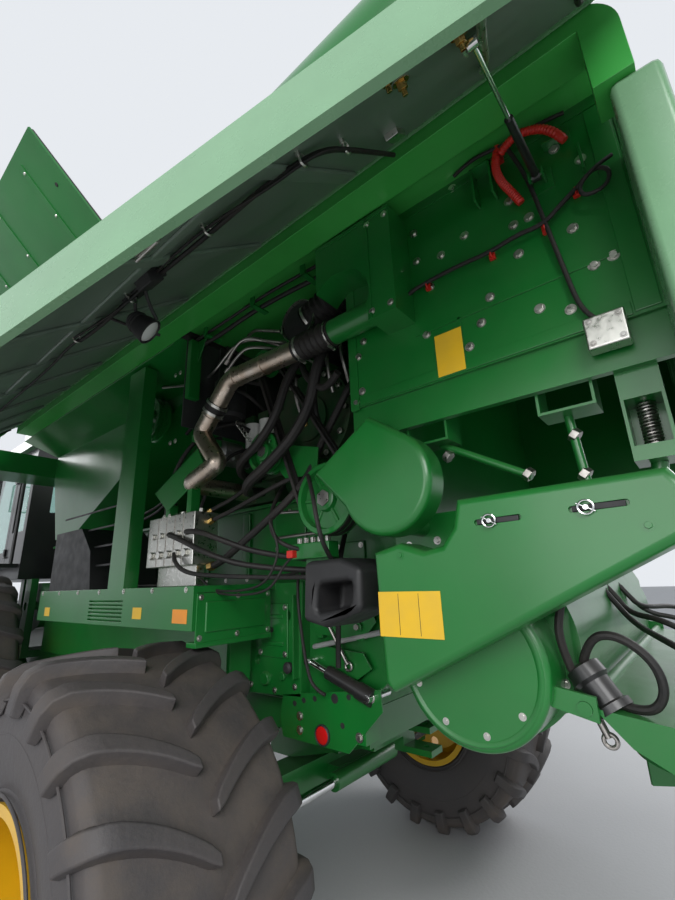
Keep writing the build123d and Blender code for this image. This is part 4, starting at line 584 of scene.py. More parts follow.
def make_materials():
    """Every finish of the machine, by a short name."""
    look = bpy.context.scene.harvester_paint
    return {
        "green": paint("green_paint", look.green),
        "pale": paint("pale_paint", look.pale, 0.7, 0.26),
        "lining": lining("panel_lining", look.inner),
        "yellow": paint("yellow_paint", look.yellow, 0.8),
        "black": paint("black_satin_paint", (0.012, 0.012, 0.013), 0.9, 0.4),
        "dark": paint("dark_grey_paint", (0.035, 0.037, 0.037), 1.0, 0.5),
        "belt": rubber("belt_rubber", (0.016, 0.015, 0.015), 0.12),
        "hose": rubber("hose_rubber", (0.012, 0.012, 0.012), 0.1),
        "plastic": plastic("black_plastic", (0.018, 0.018, 0.019)),
        "grey_plastic": plastic("grey_plastic", (0.3, 0.31, 0.3), 0.45),
        "red_plastic": plastic("red_plastic", (0.55, 0.02, 0.012), 0.4),
        "white_plastic": plastic("white_plastic", (0.75, 0.75, 0.72), 0.4),
        "amber": plastic("amber_lens", (0.75, 0.2, 0.01), 0.2),
        "pipe": metal("aluminised_pipe", (0.66, 0.6, 0.53), 0.34, (0.48, 0.36, 0.26)),
        "zinc": metal("zinc_plate", (0.72, 0.71, 0.66), 0.33),
        "steel": metal("worn_steel", (0.5, 0.49, 0.47), 0.35, (0.33, 0.3, 0.27)),
        "chrome": metal("hard_chrome", (0.86, 0.86, 0.86), 0.14, (0.78, 0.78, 0.78)),
        "rust": metal("warm_cast_iron", (0.28, 0.16, 0.1), 0.6, (0.12, 0.08, 0.06), grain=0.0006),
        # Engine casting: the body green darkened to a third, painted shade of the engine bay; the cast shader
        # adds real dirt and roughness
        "casting": cast("shaded_green_casting", shade(look.green, 0.32)),
        "glass": glass("cab_glass", (0.55, 0.7, 0.66)),
        "label": label("blank_label", (0.78, 0.47, 0.015), (0.7, 0.43, 0.03)),
        "orange_label": label("blank_orange_label", (0.85, 0.3, 0.02), (0.75, 0.28, 0.04)),
        "red_glass": plastic("red_reflector", (0.62, 0.01, 0.01), 0.15),
        "seat": plastic("seat_cloth", (0.05, 0.05, 0.055), 0.85, 0.0006),
        # Brighter copy of the body green on the roof rails: painted highlight
        "rail": paint("lit_rail_paint", look.rail, 0.5, 0.28),
        # Edge bead colour: painted highlight along the raised panels' edge
        "bright": paint("bright_edge_paint", look.bright, 0.3, 0.3),
        "brass": metal("brass_fitting", (0.62, 0.42, 0.14), 0.3, (0.45, 0.3, 0.1)),
        "aluminium": metal("cast_aluminium", (0.52, 0.52, 0.51), 0.5, (0.36, 0.36, 0.35), grain=0.0004),
        "mirror": metal("mirror_glass", (0.85, 0.87, 0.88), 0.12, grain=0.0),
        "lens": plastic("lamp_lens", (0.8, 0.82, 0.8), 0.12, 0.0001),
    }


# Frame nodes

# node, material, edge width in metres
SOFTENED = (
    ("straw_hood", "green", 0.006),
    ("separator_body", "green", 0.008),
    ("main_frame", "green", 0.006),
    ("side_shelves", "green", 0.004),
    ("chopper_housing", "green", 0.004),
    ("chopper_cover", "green", 0.003),
    ("upper_drive_cover", "green", 0.003),
    ("hitch_bracket", "green", 0.003),
    ("rear_fascia", "pale", 0.018),
    ("roof_rails", "rail", 0.012),
    ("side_tanks", "plastic", 0.004),
    ("air_box", "plastic", 0.02),
    ("cooling_box", "dark", 0.01),
    # The engine block's dark green casting colour is painted shade
    ("engine_block", "casting", 0.005),
    ("cab_shell", "black", 0.01),
    ("cab_roof", "green", 0.004),
    ("cab_door", "black", 0.006),
    ("seat_console", "seat", 0.04),
    ("feeder_house", "green", 0.006),
    ("front_axle", "green", 0.008),
    ("rear_axle", "green", 0.008),
    ("grain_tank", "green", 0.004),
    ("tailboard", "green", 0.003),
    ("valve_block", "zinc", 0.004),
    ("unloading_auger", "green", 0.012),
)
# node, or the pair of nodes that end in left and right, and material
PAINTED = (
    ("steering_rod", "chrome"),
    ("lift_barrels", "black"),
    ("lift_rods", "chrome"),
    ("ladder", "black"),
    ("landing", "black"),
    ("cab_glass", "glass"),
    ("cab_door_glass", "glass"),
    ("rotary_screen", "dark"),
    ("steering_knuckle", "green"),
    ("front_rim", "yellow"),
    ("rear_rim", "yellow"),
    ("strut_barrel", "black"),
    ("strut_rod", "chrome"),
    ("spreader_disc", "green"),
    ("tank_cover", "green"),
    ("side_panel", "pale"),
)


def body_of(node):
    """The body that a CAD node rides on."""
    return frame["nodes"][node]["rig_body"]


def slot_of(node):
    """The record's slot of a CAD node."""
    return next(row["material_slot"] for row in frame["record"]["subparts"] if row["node"] == node)


def cad_copy(node):
    """A merged copy of a CAD node's mesh."""
    twin = frame["nodes"][node].copy()
    twin.data = frame["nodes"][node].data.copy()
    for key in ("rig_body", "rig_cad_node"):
        del twin[key]
    twin.parent = None
    bpy.context.scene.collection.objects.link(twin)
    choose(twin)
    edit_all()
    bpy.ops.mesh.remove_doubles(threshold=0.00002)
    bpy.ops.mesh.dissolve_limited(angle_limit=radians(0.6))
    bpy.ops.object.mode_set(mode="OBJECT")
    return twin


class HARVESTER_OT_frame(bpy.types.Operator):
    """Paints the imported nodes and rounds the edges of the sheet-metal ones"""

    bl_idname = "harvester.frame"
    bl_label = "Paint the frame"

    def execute(self, context):
        for name, look in PAINTED:
            for node in (name, f"{name}_left", f"{name}_right"):
                if node in frame["nodes"]:
                    dress(frame["nodes"][node], look)
        for node, look, width in SOFTENED:
            piece = round_edges(cad_copy(node), width, 2, 40)
            piece = finish(f"{node}_sheet", piece, look, body_of(node), slot_of(node))
            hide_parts(node)
        return {"FINISHED"}


class HARVESTER_OT_stage(bpy.types.Operator):
    """Camera, floor, lamps and the plain pale surroundings"""

    bl_idname = "harvester.stage"
    bl_label = "Set the stage"

    RIGHT = Vector((-0.63868, 0.76868, -0.03481))
    UP = Vector((0.19976, 0.20933, 0.95722))
    BACK = Vector((0.74309, 0.60441, -0.28725))

    def execute(self, context):
        settings = context.scene.harvester_stage
        deselect()
        bpy.ops.object.camera_add()
        camera = context.object
        turn = Matrix((self.RIGHT, self.UP, self.BACK)).transposed().to_4x4()
        camera.matrix_world = Matrix.Translation(settings.camera) @ turn
        camera.data.lens = settings.lens
        camera.data.sensor_width = 36
        camera.data.clip_start = 0.01
        camera.data.clip_end = 200
        context.scene.camera = camera

        deselect()
        bpy.ops.mesh.primitive_plane_add(size=120, location=(0, 0, -0.001))
        floor = context.object
        floor.name = "floor"
        s = Shader("pale_floor")
        tone = s.levels(s.noise(0.8, 5), 0.3, 0.7)
        s.set(Base_Color=s.blend(tone, shade(settings.floor, 0.95), settings.floor), Roughness=0.8)
        s.relief([(s.noise(40, 4), 0.002)])
        floor.data.materials.append(s.material)

        world = bpy.data.worlds.new("pale_sky")
        context.scene.world = world
        world.use_nodes = True
        tree = world.node_tree
        light = tree.nodes["Background"]
        light.inputs["Color"].default_value = (0.86, 0.93, 1.0, 1)
        light.inputs["Strength"].default_value = 0.62
        seen = tree.nodes.new("ShaderNodeBackground")
        seen.inputs["Color"].default_value = (0.8, 0.83, 0.87, 1)
        seen.inputs["Strength"].default_value = 1.0
        rays = tree.nodes.new("ShaderNodeLightPath").outputs
        shown = rays["Is Camera Ray"]
        for ray in ("Is Transmission Ray", "Is Glossy Ray"):
            larger = tree.nodes.new("ShaderNodeMath")
            larger.operation = "MAXIMUM"
            tree.links.new(shown, larger.inputs[0])
            tree.links.new(rays[ray], larger.inputs[1])
            shown = larger.outputs[0]
        mix = tree.nodes.new("ShaderNodeMixShader")
        tree.links.new(shown, mix.inputs["Fac"])
        tree.links.new(light.outputs[0], mix.inputs[1])
        tree.links.new(seen.outputs[0], mix.inputs[2])
        tree.links.new(mix.outputs[0], tree.nodes["World Output"].inputs["Surface"])

        # place, aim, size in metres, share of the key's power
        lamps = (
            ((9.0, 9.0, 7.5), (0, 2, 2), 6.0, 1.0), ((-9.0, 6.0, 8.0), (0, 1, 2), 6.0, 0.6),
            ((10.0, 3.0, 3.0), (0.8, 2.2, 2.0), 5.0, 0.22), ((3.0, -9.0, 8.0), (0, 0, 2), 6.0, 0.6))
        for place, aim, size, share in lamps:
            deselect()
            bpy.ops.object.light_add(type="AREA", location=place)
            lamp = context.object
            lamp.data.size = size
            lamp.data.energy = settings.key_power * share
            lamp.rotation_euler = (Vector(aim) - Vector(place)).to_track_quat("-Z", "Y").to_euler()
        context.scene.view_settings.view_transform = "Standard"
        return {"FINISHED"}


# Tyres and wheels

# name, axle y, radius, half width, rim radius, middle x, way the lugs point
TYRES = (
    ("front", -2.33, 1.03, 0.39, 0.483, 1.37, 1),
    ("rear", 1.33, 0.81, 0.37, 0.33, 1.42, -1),
)
LUG_REACH = 0.125
LUG_START, LUG_OVERHANG, LUG_SWEEP, LUG_BOW, LUG_SUNK = 0.008, 0.075, 0.192, 0.13, 0.012
TREAD_MARGIN, CROWN_DROP = 0.078, 0.01
LUG_ROOT_WIDTH, LUG_SHOULDER_WIDTH = 0.058, 0.09
SHOULDER_ROUND, SHOULDER_TURN = 0.062, 1.2


def carcass_point(along, half, tread):
    """Place and outward way of a tyre's skin, at a distance from its middle over the shoulder."""
    flat = half - TREAD_MARGIN
    if along <= flat:
        return along, tread - CROWN_DROP * (along / flat) ** 2, 0.0, 1.0
    turn = min((along - flat) / SHOULDER_ROUND, SHOULDER_TURN)
    past = along - flat - turn * SHOULDER_ROUND
    x = flat + SHOULDER_ROUND * sin(turn) + past * cos(turn)
    r = tread - CROWN_DROP - SHOULDER_ROUND * (1 - cos(turn)) - past * sin(turn)
    return x, r, sin(turn), cos(turn)


def carcass(half, tread, rim):
    """Half a tyre's section from tread to bead, as points of width and radius."""
    belly = (rim + tread) / 2
    skin = [carcass_point(half * share, half, tread)[:2] for share in (0, 0.25, 0.5, 0.7)]
    skin += [
        carcass_point(half - TREAD_MARGIN + SHOULDER_ROUND * turn, half, tread)[:2]
        for turn in (0.3, 0.65, 1.0, 1.2)]
    wall = (
        (half - 0.006, belly + 0.07), (half, belly), (half - 0.008, belly - 0.07), (half - 0.03, rim + 0.06))
    bead = (
        (half - 0.022, rim + 0.048), (half - 0.022, rim + 0.034), (half - 0.04, rim + 0.022),
        (half - 0.044, rim))
    return skin + list(wall) + list(bead)


def tyre_lug(radius, half, height, way):
    """One lug, wide at the shoulder and bowed, wrapped over the crown and down the sidewall."""
    deselect()
    bpy.ops.mesh.primitive_grid_add(x_subdivisions=15, y_subdivisions=3, size=1)
    piece = bpy.context.object
    edit_all()
    bpy.ops.mesh.extrude_region_move(TRANSFORM_OT_translate={"value": UPWARD})
    face_outwards()
    long = half + LUG_OVERHANG
    for vertex in piece.data.vertices:
        share, across, top = vertex.co.x + 0.5, vertex.co.y, vertex.co.z > 0.5
        along = LUG_START + share * long
        q = along / half
        width = LUG_ROOT_WIDTH + (LUG_SHOULDER_WIDTH - LUG_ROOT_WIDTH) * min(q, 1)
        width *= (0.8 if top else 1.16) * (0.72 if share < 0.03 else 1.0)
        middle = way * (-LUG_SWEEP / 2 + LUG_SWEEP * q + LUG_BOW * q * (1 - q))
        high = height * (1 - 0.55 * max(0.0, q - 0.92) / 0.28) if top else -LUG_SUNK
        vertex.co = (along, middle + across * width, high)
    round_edges(piece, 0.007, 3, 38)
    tread = radius - height
    for vertex in piece.data.vertices:
        along, around, high = vertex.co
        x, r, out_x, out_r = carcass_point(max(along, 0), half, tread)
        turn = around / radius
        r = r + high * out_r
        vertex.co = (x + high * out_x, r * sin(turn), r * cos(turn))
    return piece


def tyre_rubber(name, axle_y, axle_z, tread):
    """Tyre rubber: dusty grey lugs, brown dried soil on the carcass between them."""
    look = bpy.context.scene.harvester_paint
    s = Shader(name)
    parts = s.node("ShaderNodeSeparateXYZ", [(0, s.place)])
    y = s.maths("SUBTRACT", parts.outputs["Y"], axle_y)
    z = s.maths("SUBTRACT", parts.outputs["Z"], axle_z)
    reach = s.maths("SQRT", s.maths("ADD", s.maths("MULTIPLY", y, y), s.maths("MULTIPLY", z, z)), 0.0)
    root = s.levels(reach, tread - 0.01, tread + 0.034, 1.0, 0.0)
    wall = s.levels(reach, tread - 0.09, tread - 0.02)
    root = s.maths("MULTIPLY", root, wall)
    blotch = s.levels(s.noise(6, 7, 0.6), 0.4, 0.64)
    pores = s.levels(s.noise(120, 4), 0.4, 0.7)
    cake = s.maths("MULTIPLY", root, s.maths("ADD", s.maths("MULTIPLY", blotch, 0.42), 0.06))
    dust = s.maths(
        "ADD", s.maths("MULTIPLY", s.levels(s.noise(2.6, 6), 0.3, 0.75), 0.22),
        s.maths("MULTIPLY", pores, 0.1))
    dirt = s.maths("ADD", cake, dust)
    s.set(Base_Color=s.blend(dirt, look.rubber, look.soil), Roughness=s.levels(dirt, 0, 0.8, 0.48, 0.9))
    s.set(Specular_IOR_Level=0.4)
    s.relief([(s.noise(7, 5), 0.006), (s.noise(60, 4), 0.001), (s.noise(260, 3), 0.0004)])
    return s.material


class HARVESTER_OT_tyres(bpy.types.Operator):
    """Four tyres: a spun carcass with curved lugs and rings on the sidewall"""

    bl_idname = "harvester.tyres"
    bl_label = "Tyres"

    def execute(self, context):
        sizes = context.scene.harvester_sizes
        for name, axle_y, radius, half, rim, middle, way in TYRES:
            height = sizes.lug_height
            lugs = getattr(sizes, f"{name}_lugs")
            tread = radius - height - 0.002
            section = carcass(half, tread, rim)
            profile = [(r, -x) for x, r in reversed(section[1:])] + [(r, x) for x, r in section]
            pieces = [lathe(profile, (0, 0, 0), LEFTWARD, 96)]
            for reach, thick in (
                    (rim + 0.055, 0.006), ((rim + tread) / 2 + 0.02, 0.004), (tread - 0.085, 0.005)):
                for x in (-half + 0.004, half - 0.004):
                    pieces.append(ring((x, 0, 0), LEFTWARD, reach, thick, 96, 8))
            first = pi - asin(LUG_REACH / radius)
            one = tyre_lug(radius - 0.002, half, height, way)
            other = copy_to(one, Matrix.Diagonal((-1, 1, 1, 1)))
            other.data.flip_normals()
            for row, start in ((one, first), (other, first + pi / lugs)):
                for k in range(lugs):
                    pieces.append(copy_to(row, Matrix.Rotation(-start - 2 * pi * k / lugs, 4, "X")))
                bpy.data.objects.remove(row)
            tyre = together(pieces)
            tyre.data.transform(Matrix.Translation((middle, axle_y, radius)))
            look = f"{name}_tyre_rubber"
            FINISHES[look] = tyre_rubber(look, axle_y, radius, tread)
            for side, piece in (("left", tyre), ("right", mirrored(tyre))):
                node = f"{name}_tyre_{side}"
                finish(f"{node}_lugged", piece, look, body_of(node), "tyre", 40)
                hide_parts(node)
        return {"FINISHED"}


class HARVESTER_OT_wheels(bpy.types.Operator):
    """Wheel nuts, hub caps and valves"""

    bl_idname = "harvester.wheels"
    bl_label = "Wheel nuts and hubs"

    def execute(self, context):
        # name, axle y, axle z, hub face x, nut circle, nuts, cap radius
        rows = (
            ("front", -2.33, 1.03, 1.196, 0.205, 12, 0.105), ("rear", 1.33, 0.81, 1.226, 0.155, 10, 0.085))
        for name, y, z, face, circle, count, cap in rows:
            turns = [2 * pi * k / count for k in range(count)]
            places = [(face, y + circle * sin(t), z + circle * cos(t)) for t in turns]
            nuts = bolts(places, LEFTWARD, 0.017, 0.022, 1.35)
            profile = (
                (0, 0.07), (cap * 0.5, 0.068), (cap * 0.86, 0.055), (cap, 0.03), (cap * 1.05, 0.0), (0, 0.0))
            dome = lathe(profile, (face + 0.058, y, z), LEFTWARD, 48)
            stem = rod((face + 0.01, y, z + circle * 1.35), (face + 0.05, y + 0.01, z + circle * 1.38), 0.005)
            body = body_of(f"{name}_rim_left")
            for part, piece, look in (
                    ("nuts", nuts, "zinc"), ("cap", dome, "yellow"), ("valve", stem, "steel")):
                both_sides(f"{name}_wheel_{part}", piece, look, body)
        return {"FINISHED"}


# Hood wall

HOOD_SIDE = 1.1
HOOD_BOLTS = (
    (2.73, 3.16), (2.905, 3.26), (2.73, 3.03), (2.83, 3.0), (2.925, 3.03), (3.09, 3.07), (3.17, 3.09),
    (3.25, 3.17), (3.31, 3.08), (3.09, 2.97), (3.14, 2.97), (2.775, 2.89), (3.09, 2.855), (3.25, 2.855),
    (2.46, 2.79), (2.62, 2.79), (2.43, 2.73), (2.98, 2.745), (2.74, 2.705), (3.28, 2.705), (3.33, 2.71),
    (2.94, 2.665), (3.12, 2.635), (2.89, 2.595), (3.2, 2.595), (2.44, 2.575), (2.41, 2.535))
HOOD_CLIPS = ((2.77, 2.89), (3.01, 2.89), (3.18, 2.89), (3.28, 2.965), (3.09, 3.25))


def on_hood(y, z, out=0.0):
    """A place on the outside of the hood's left wall."""
    return (HOOD_SIDE + out, y, z)


class HARVESTER_OT_hood_wall(bpy.types.Operator):
    """Bolts, seams, brackets and the small box on the hood's side walls"""

    bl_idname = "harvester.hood_wall"
    bl_label = "Hood wall"

    def execute(self, context):
        sizes = context.scene.harvester_sizes
        heads = bolts([on_hood(y, z) for y, z in HOOD_BOLTS], LEFTWARD, sizes.bolt, 0.009)
        lap = [
            slab((HOOD_SIDE, 2.385, 2.5), (HOOD_SIDE + 0.004, 2.425, 3.28), 0.0015),
            slab((HOOD_SIDE, 2.7, 3.245), (HOOD_SIDE + 0.004, 3.4, 3.262), 0.0015),
            slab((HOOD_SIDE, 3.345, 2.52), (HOOD_SIDE + 0.005, 3.405, 3.24), 0.002),
            slab((HOOD_SIDE, 2.43, 2.515), (HOOD_SIDE + 0.005, 3.34, 2.555), 0.002),
            slab((HOOD_SIDE, 2.86, 2.555), (HOOD_SIDE + 0.004, 2.872, 2.72), 0.001),
            slab((HOOD_SIDE, 2.7, 2.71), (HOOD_SIDE + 0.004, 3.345, 2.722), 0.001)]
        both_sides("hood_bolts", heads, "zinc")
        both_sides("hood_seams", lap, "green")

        angle = [
            slab((HOOD_SIDE, 2.99, 3.1), (HOOD_SIDE + 0.05, 2.998, 3.24), 0.001),
            slab((HOOD_SIDE, 3.052, 3.1), (HOOD_SIDE + 0.05, 3.06, 3.24), 0.001),
            slab((HOOD_SIDE, 2.99, 3.232), (HOOD_SIDE + 0.05, 3.06, 3.24), 0.001),
            slab((HOOD_SIDE, 3.22, 3.18), (HOOD_SIDE + 0.035, 3.3, 3.188), 0.001),
            slab((HOOD_SIDE, 3.31, 3.02), (HOOD_SIDE + 0.03, 3.318, 3.12), 0.001)]
        finish("hood_brackets", angle, "green")
        box = [slab((HOOD_SIDE, 3.225, 2.43), (HOOD_SIDE + 0.05, 3.325, 2.525), 0.006, 3)]
        finish("hood_box", box, "zinc")
        lid = bolts(
            [(HOOD_SIDE + 0.05, y, z) for y in (3.24, 3.31) for z in (2.445, 2.51)], LEFTWARD, 0.006, 0.004)
        finish("hood_box_bolts", lid, "steel")
        # White strip along the deck's green-painted edge: painted highlight
        strip = slab((1.15, 2.6, 3.322), (1.235, 3.32, 3.336), 0.004)
        finish("deck_edge_highlight_strip", strip, "white_plastic", "chassis", "green_paint")
        clips = []
        for y, z in HOOD_CLIPS:
            clips += [
                slab(on_hood(y - 0.01, z - 0.016), on_hood(y + 0.01, z + 0.016, 0.014), 0.003),
                ring(on_hood(y, z, 0.014), REARWARD, 0.011, 0.003, 20, 8)]
        finish("hood_clips", clips, "red_plastic")
        decal = slab(on_hood(2.77, 2.52, 0.0045), on_hood(2.87, 2.68, 0.0062), 0.0006)
        finish("hood_blank_plate", decal, "label")
        duct = bolts([(1.236, y, z) for y in (2.6, 2.68) for z in (2.8, 3.19)], LEFTWARD, 0.009, 0.006)
        finish("duct_bolts", duct, "zinc")
        folds = [
            slab((1.236, 2.592, 2.772), (1.24, 2.602, 3.222), 0.001),
            slab((1.236, 2.332, 3.205), (1.24, 2.698, 3.223), 0.001)]
        finish("duct_folds", folds, "green")
        return {"FINISHED"}


# places along, up and out
HARNESS = (
    ((2.64, 2.86, 0.02), (2.7, 2.885, 0.03), (2.77, 2.9, 0.022), (2.9, 2.905, 0.02), (3.01, 2.895, 0.022),
     (3.1, 2.905, 0.028), (3.18, 2.9, 0.022), (3.24, 2.93, 0.035), (3.28, 2.965, 0.022)),
    ((3.28, 2.965, 0.02), (3.33, 2.99, 0.045), (3.375, 2.955, 0.05), (3.36, 2.905, 0.045), (3.3, 2.9, 0.05),
     (3.29, 2.94, 0.055), (3.34, 2.975, 0.06), (3.385, 3.01, 0.03)),
    ((3.12, 3.25, 0.05), (3.145, 3.16, 0.045), (3.165, 3.07, 0.03), (3.185, 2.9, 0.022), (3.205, 2.74, 0.018),
     (3.222, 2.6, 0.018), (3.245, 2.54, 0.026), (3.262, 2.52, 0.026)),
    ((2.93, 3.27, 0.035), (2.99, 3.275, 0.05), (3.06, 3.262, 0.055), (3.12, 3.25, 0.05), (3.2, 3.262, 0.045),
     (3.3, 3.255, 0.03)),
)
# places along, up and out
RED_HOSES = (
    (
        (3.095, 3.262, 0.045), (3.075, 3.2, 0.05), (3.085, 3.12, 0.05), (3.115, 3.055, 0.035),
        (3.13, 3.02, 0.02)),
    ((3.1, 3.225, 0.05), (3.14, 3.245, 0.065), (3.2, 3.235, 0.065), (3.26, 3.2, 0.05), (3.285, 3.15, 0.03)))


class HARVESTER_OT_hood_cables(bpy.types.Operator):
    """Harness, red ribbed hoses and cables clipped to the hood wall"""

    bl_idname = "harvester.hood_cables"
    bl_label = "Hood cables"

    def execute(self, context):
        sizes = context.scene.harvester_sizes
        radii = (sizes.cable * 1.25, sizes.cable, sizes.cable * 1.15, sizes.cable * 1.1)
        cables = [hose([on_hood(*row) for row in path], radius, 8) for path, radius in zip(HARNESS, radii)]
        ends = [
            rod(on_hood(2.645, 2.855, 0.018), on_hood(2.625, 2.835, 0.018), 0.016, bevel=0.003),
            rod(on_hood(2.675, 2.872, 0.026), on_hood(2.65, 2.858, 0.02), 0.011, bevel=0.002)]
        finish("hood_harness", cables + ends, "hose")
        made = [hose([on_hood(*row) for row in path], 0.012, ribs=0.0022, pitch=0.009) for path in RED_HOSES]
        finish("hood_red_hoses", made, "red_plastic")
        return {"FINISHED"}


# Drive covers at the rear left

COVER_SIDE = 1.2


class HARVESTER_OT_covers(bpy.types.Operator):
    """Ring pins in their slots, black slabs in the slots as painted shadow, blank plate, bolts and round
    ridge on the drive covers
    """

    bl_idname = "harvester.covers"
    bl_label = "Drive covers"

    def execute(self, context):
        x = COVER_SIDE
        pins = []
        for y, z in ((2.915, 2.004), (3.155, 2.01)):
            pins += [
                ring((x + 0.008, y, z), (1, 0.1, 0), 0.017, 0.0028, 28, 8),
                rod((x - 0.012, y, z), (x + 0.01, y, z), 0.0065, bevel=0.001),
                rod((x + 0.006, y - 0.02, z + 0.012), (x + 0.006, y + 0.02, z - 0.012), 0.0022)]
        finish("cover_ring_pins", pins, "chrome")
        # Black slabs sunk into the two slots: painted shadow
        gaps = [
            slab((x - 0.0099, y - 0.0575, z - 0.0078), (x - 0.0005, y + 0.0575, z + 0.0078), 0.003)
            for y, z in ((2.935, 2.004), (3.18, 2.01))]
        finish("cover_slot_painted_shadows", gaps, "plastic")
        plates = [slab((x + 0.0003, 2.53, 1.692), (x + 0.0022, 2.745, 1.822), 0.0008)]
        finish("cover_blank_plate", plates, "label")
        lines = [slab((x + 0.0022, y, 1.698), (x + 0.0026, y + 0.0016, 1.816), 0) for y in (2.602, 2.672)]
        finish("cover_plate_lines", lines, "plastic")
        rim = lathe(
            ((0.196, 0.0), (0.203, 0.0045), (0.209, 0.0045), (0.214, 0.0)), (1.0597, 2.74, 1.605), LEFTWARD,
            72)
        spots = bolts([(1.0597, 2.74 + 0.222 * 0.82 * cos(t), 1.605 + 0.222 * 0.82 * sin(t))
                       for t in (3.5, 4.2, 4.9, 5.6)], LEFTWARD, 0.007, 0.004)
        finish("round_cover_ridge", rim, "green")
        finish("round_cover_screws", spots, "zinc")
        knobs = bolts([(x, 2.62, 1.93), (x, 3.27, 1.955)], LEFTWARD, 0.009, 0.005)
        finish("cover_bolts", knobs, "green")
        return {"FINISHED"}


# Raised side panel, seen from below

PANEL_HINGE = Vector((1.3745, 0, 3.29))
PANEL_DOWN = Vector((cos(radians(38.5)), 0, -sin(radians(38.5))))
PANEL_OUT = Vector((sin(radians(38.5)), 0, cos(radians(38.5))))
PANEL_SKIN = 0.012
# Its lower edge rises from the bend to the rear end
PANEL_BEND, PANEL_REAR = 1.17, 3.48
PANEL_DEPTH, PANEL_REAR_DEPTH = 1.27, 0.534


def on_panel(y, down, off=0.0):
    """A place at some distance off the raised panel's inner face."""
    place = PANEL_HINGE + PANEL_DOWN * down - PANEL_OUT * (PANEL_SKIN + off)
    return (place.x, y, place.z)


def panel_plate(outline, low, high, bevel=0.002):
    """A flat piece on the panel, from an outline of places along and down it."""
    piece = plate([(down, y) for y, down in outline], low, high, "Z", bevel)
    turn = Matrix((PANEL_DOWN, REARWARD, -PANEL_OUT)).transposed().to_4x4()
    piece.data.transform(Matrix.Translation(PANEL_HINGE - PANEL_OUT * PANEL_SKIN) @ turn)
    piece.data.flip_normals()
    return piece


def panel_edge(y):
    """How far down the panel reaches at a place along it."""
    rise = (PANEL_DEPTH - PANEL_REAR_DEPTH) / (PANEL_REAR - PANEL_BEND)
    return PANEL_DEPTH - max(0.0, y - PANEL_BEND) * rise


class HARVESTER_OT_panels(bpy.types.Operator):
    """Dark lining, pressed ribs, edge bead and latches of the side panels"""

    bl_idname = "harvester.panels"
    bl_label = "Side panels"

    def execute(self, context):
        inner = ((-1.13, 0.045), (-1.13, 1.215), (1.15, 1.215), (3.43, 0.49), (3.43, 0.045))
        both_sides("panel_lining", panel_plate(inner, -0.003, 0.004), "lining", "panel_left")
        ribs = []
        for y in (-0.85, -0.35, 0.15, 0.65, 1.12, 1.62, 2.16, 2.66):
            low = panel_edge(y) - 0.1
            ribs.append(panel_plate(
                ((y - 0.03, 0.07), (y - 0.03, low), (y + 0.03, low), (y + 0.03, 0.07)), 0, 0.02, 0.009))
        ribs.append(panel_plate(((-1.08, 0.6), (-1.08, 0.65), (2.62, 0.65), (2.62, 0.6)), 0, 0.016, 0.008))
        both_sides("panel_ribs", ribs, "lining", "panel_left")
        # The edge bead takes the bright edge colour: painted highlight along the panel's rim
        bead = [
            hose([on_panel(y, down, -PANEL_SKIN) for y, down in run], 0.0135, 4)
            for run in (
                ((-1.165, 0.02), (-1.165, 1.255)), ((-1.165, 1.262), (1.165, 1.262)),
                ((1.165, 1.262), (3.468, 0.528)), ((3.468, 0.528), (3.468, 0.02)))]
        both_sides("panel_bead", bead, "bright", "panel_left")
        seal = [hose([on_panel(y, down, 0.006) for y, down in run], 0.009, 4) for run in (
            ((-1.1, 1.18), (1.13, 1.18)), ((1.14, 1.178), (3.39, 0.468)), ((3.4, 0.46), (3.4, 0.08)),
            ((-1.11, 1.17), (-1.11, 0.08)))]
        both_sides("panel_seal", seal, "hose", "panel_left")
        latch = []
        for y in (-0.6, 0.9, 2.3):
            down = panel_edge(y) - 0.16
            latch += [
                panel_plate((
                    (y - 0.05, down - 0.03), (y - 0.05, down + 0.03), (y + 0.05, down + 0.03),
                    (y + 0.05, down - 0.03)), 0, 0.028, 0.006),
                rod(on_panel(y - 0.06, down, 0.034), on_panel(y + 0.06, down, 0.034), 0.007, bevel=0.001),
                rod(on_panel(y, down, 0.02), on_panel(y, down + 0.06, 0.034), 0.008, bevel=0.002)]
        both_sides("panel_latches", latch, "zinc", "panel_left")
        knobs = []
        for y, down in (
                (3.016, 0.5), (3.025, 0.42), (3.173, 0.411), (-1.04, 0.3), (-1.04, 0.9), (0.4, 1.1),
                (1.9, 0.93)):
            knobs += [
                nut(on_panel(y, down, 0.0), on_panel(y, down, 0.022), 0.013),
                rod(on_panel(y, down, 0.0), on_panel(y, down, 0.006), 0.021),
                rod(on_panel(y, down, 0.022), on_panel(y, down, 0.036), 0.007, bevel=0.001)]
        both_sides("panel_fittings", knobs, "brass", "panel_left")
        fins = []
        for k in range(9):
            down = 0.3 + 0.055 * k
            fins.append(panel_plate(
                ((-0.55, down), (-0.55, down + 0.028), (0.35, down + 0.028), (0.35, down)), -0.036, -0.022,
                0.006))
        both_sides("panel_vent_ridges", fins, "pale", "panel_left")
        bow = [hose([
            on_panel(y, down, off)
            for y, down, off in (
                (0.78, 1.16, -0.026), (0.78, 1.16, -0.056), (0.86, 1.16, -0.056), (1.0, 1.16, -0.056),
                (1.0, 1.16, -0.026))], 0.009)]
        both_sides("panel_handle", bow, "black", "panel_left", "black_plastic")
        return {"FINISHED"}


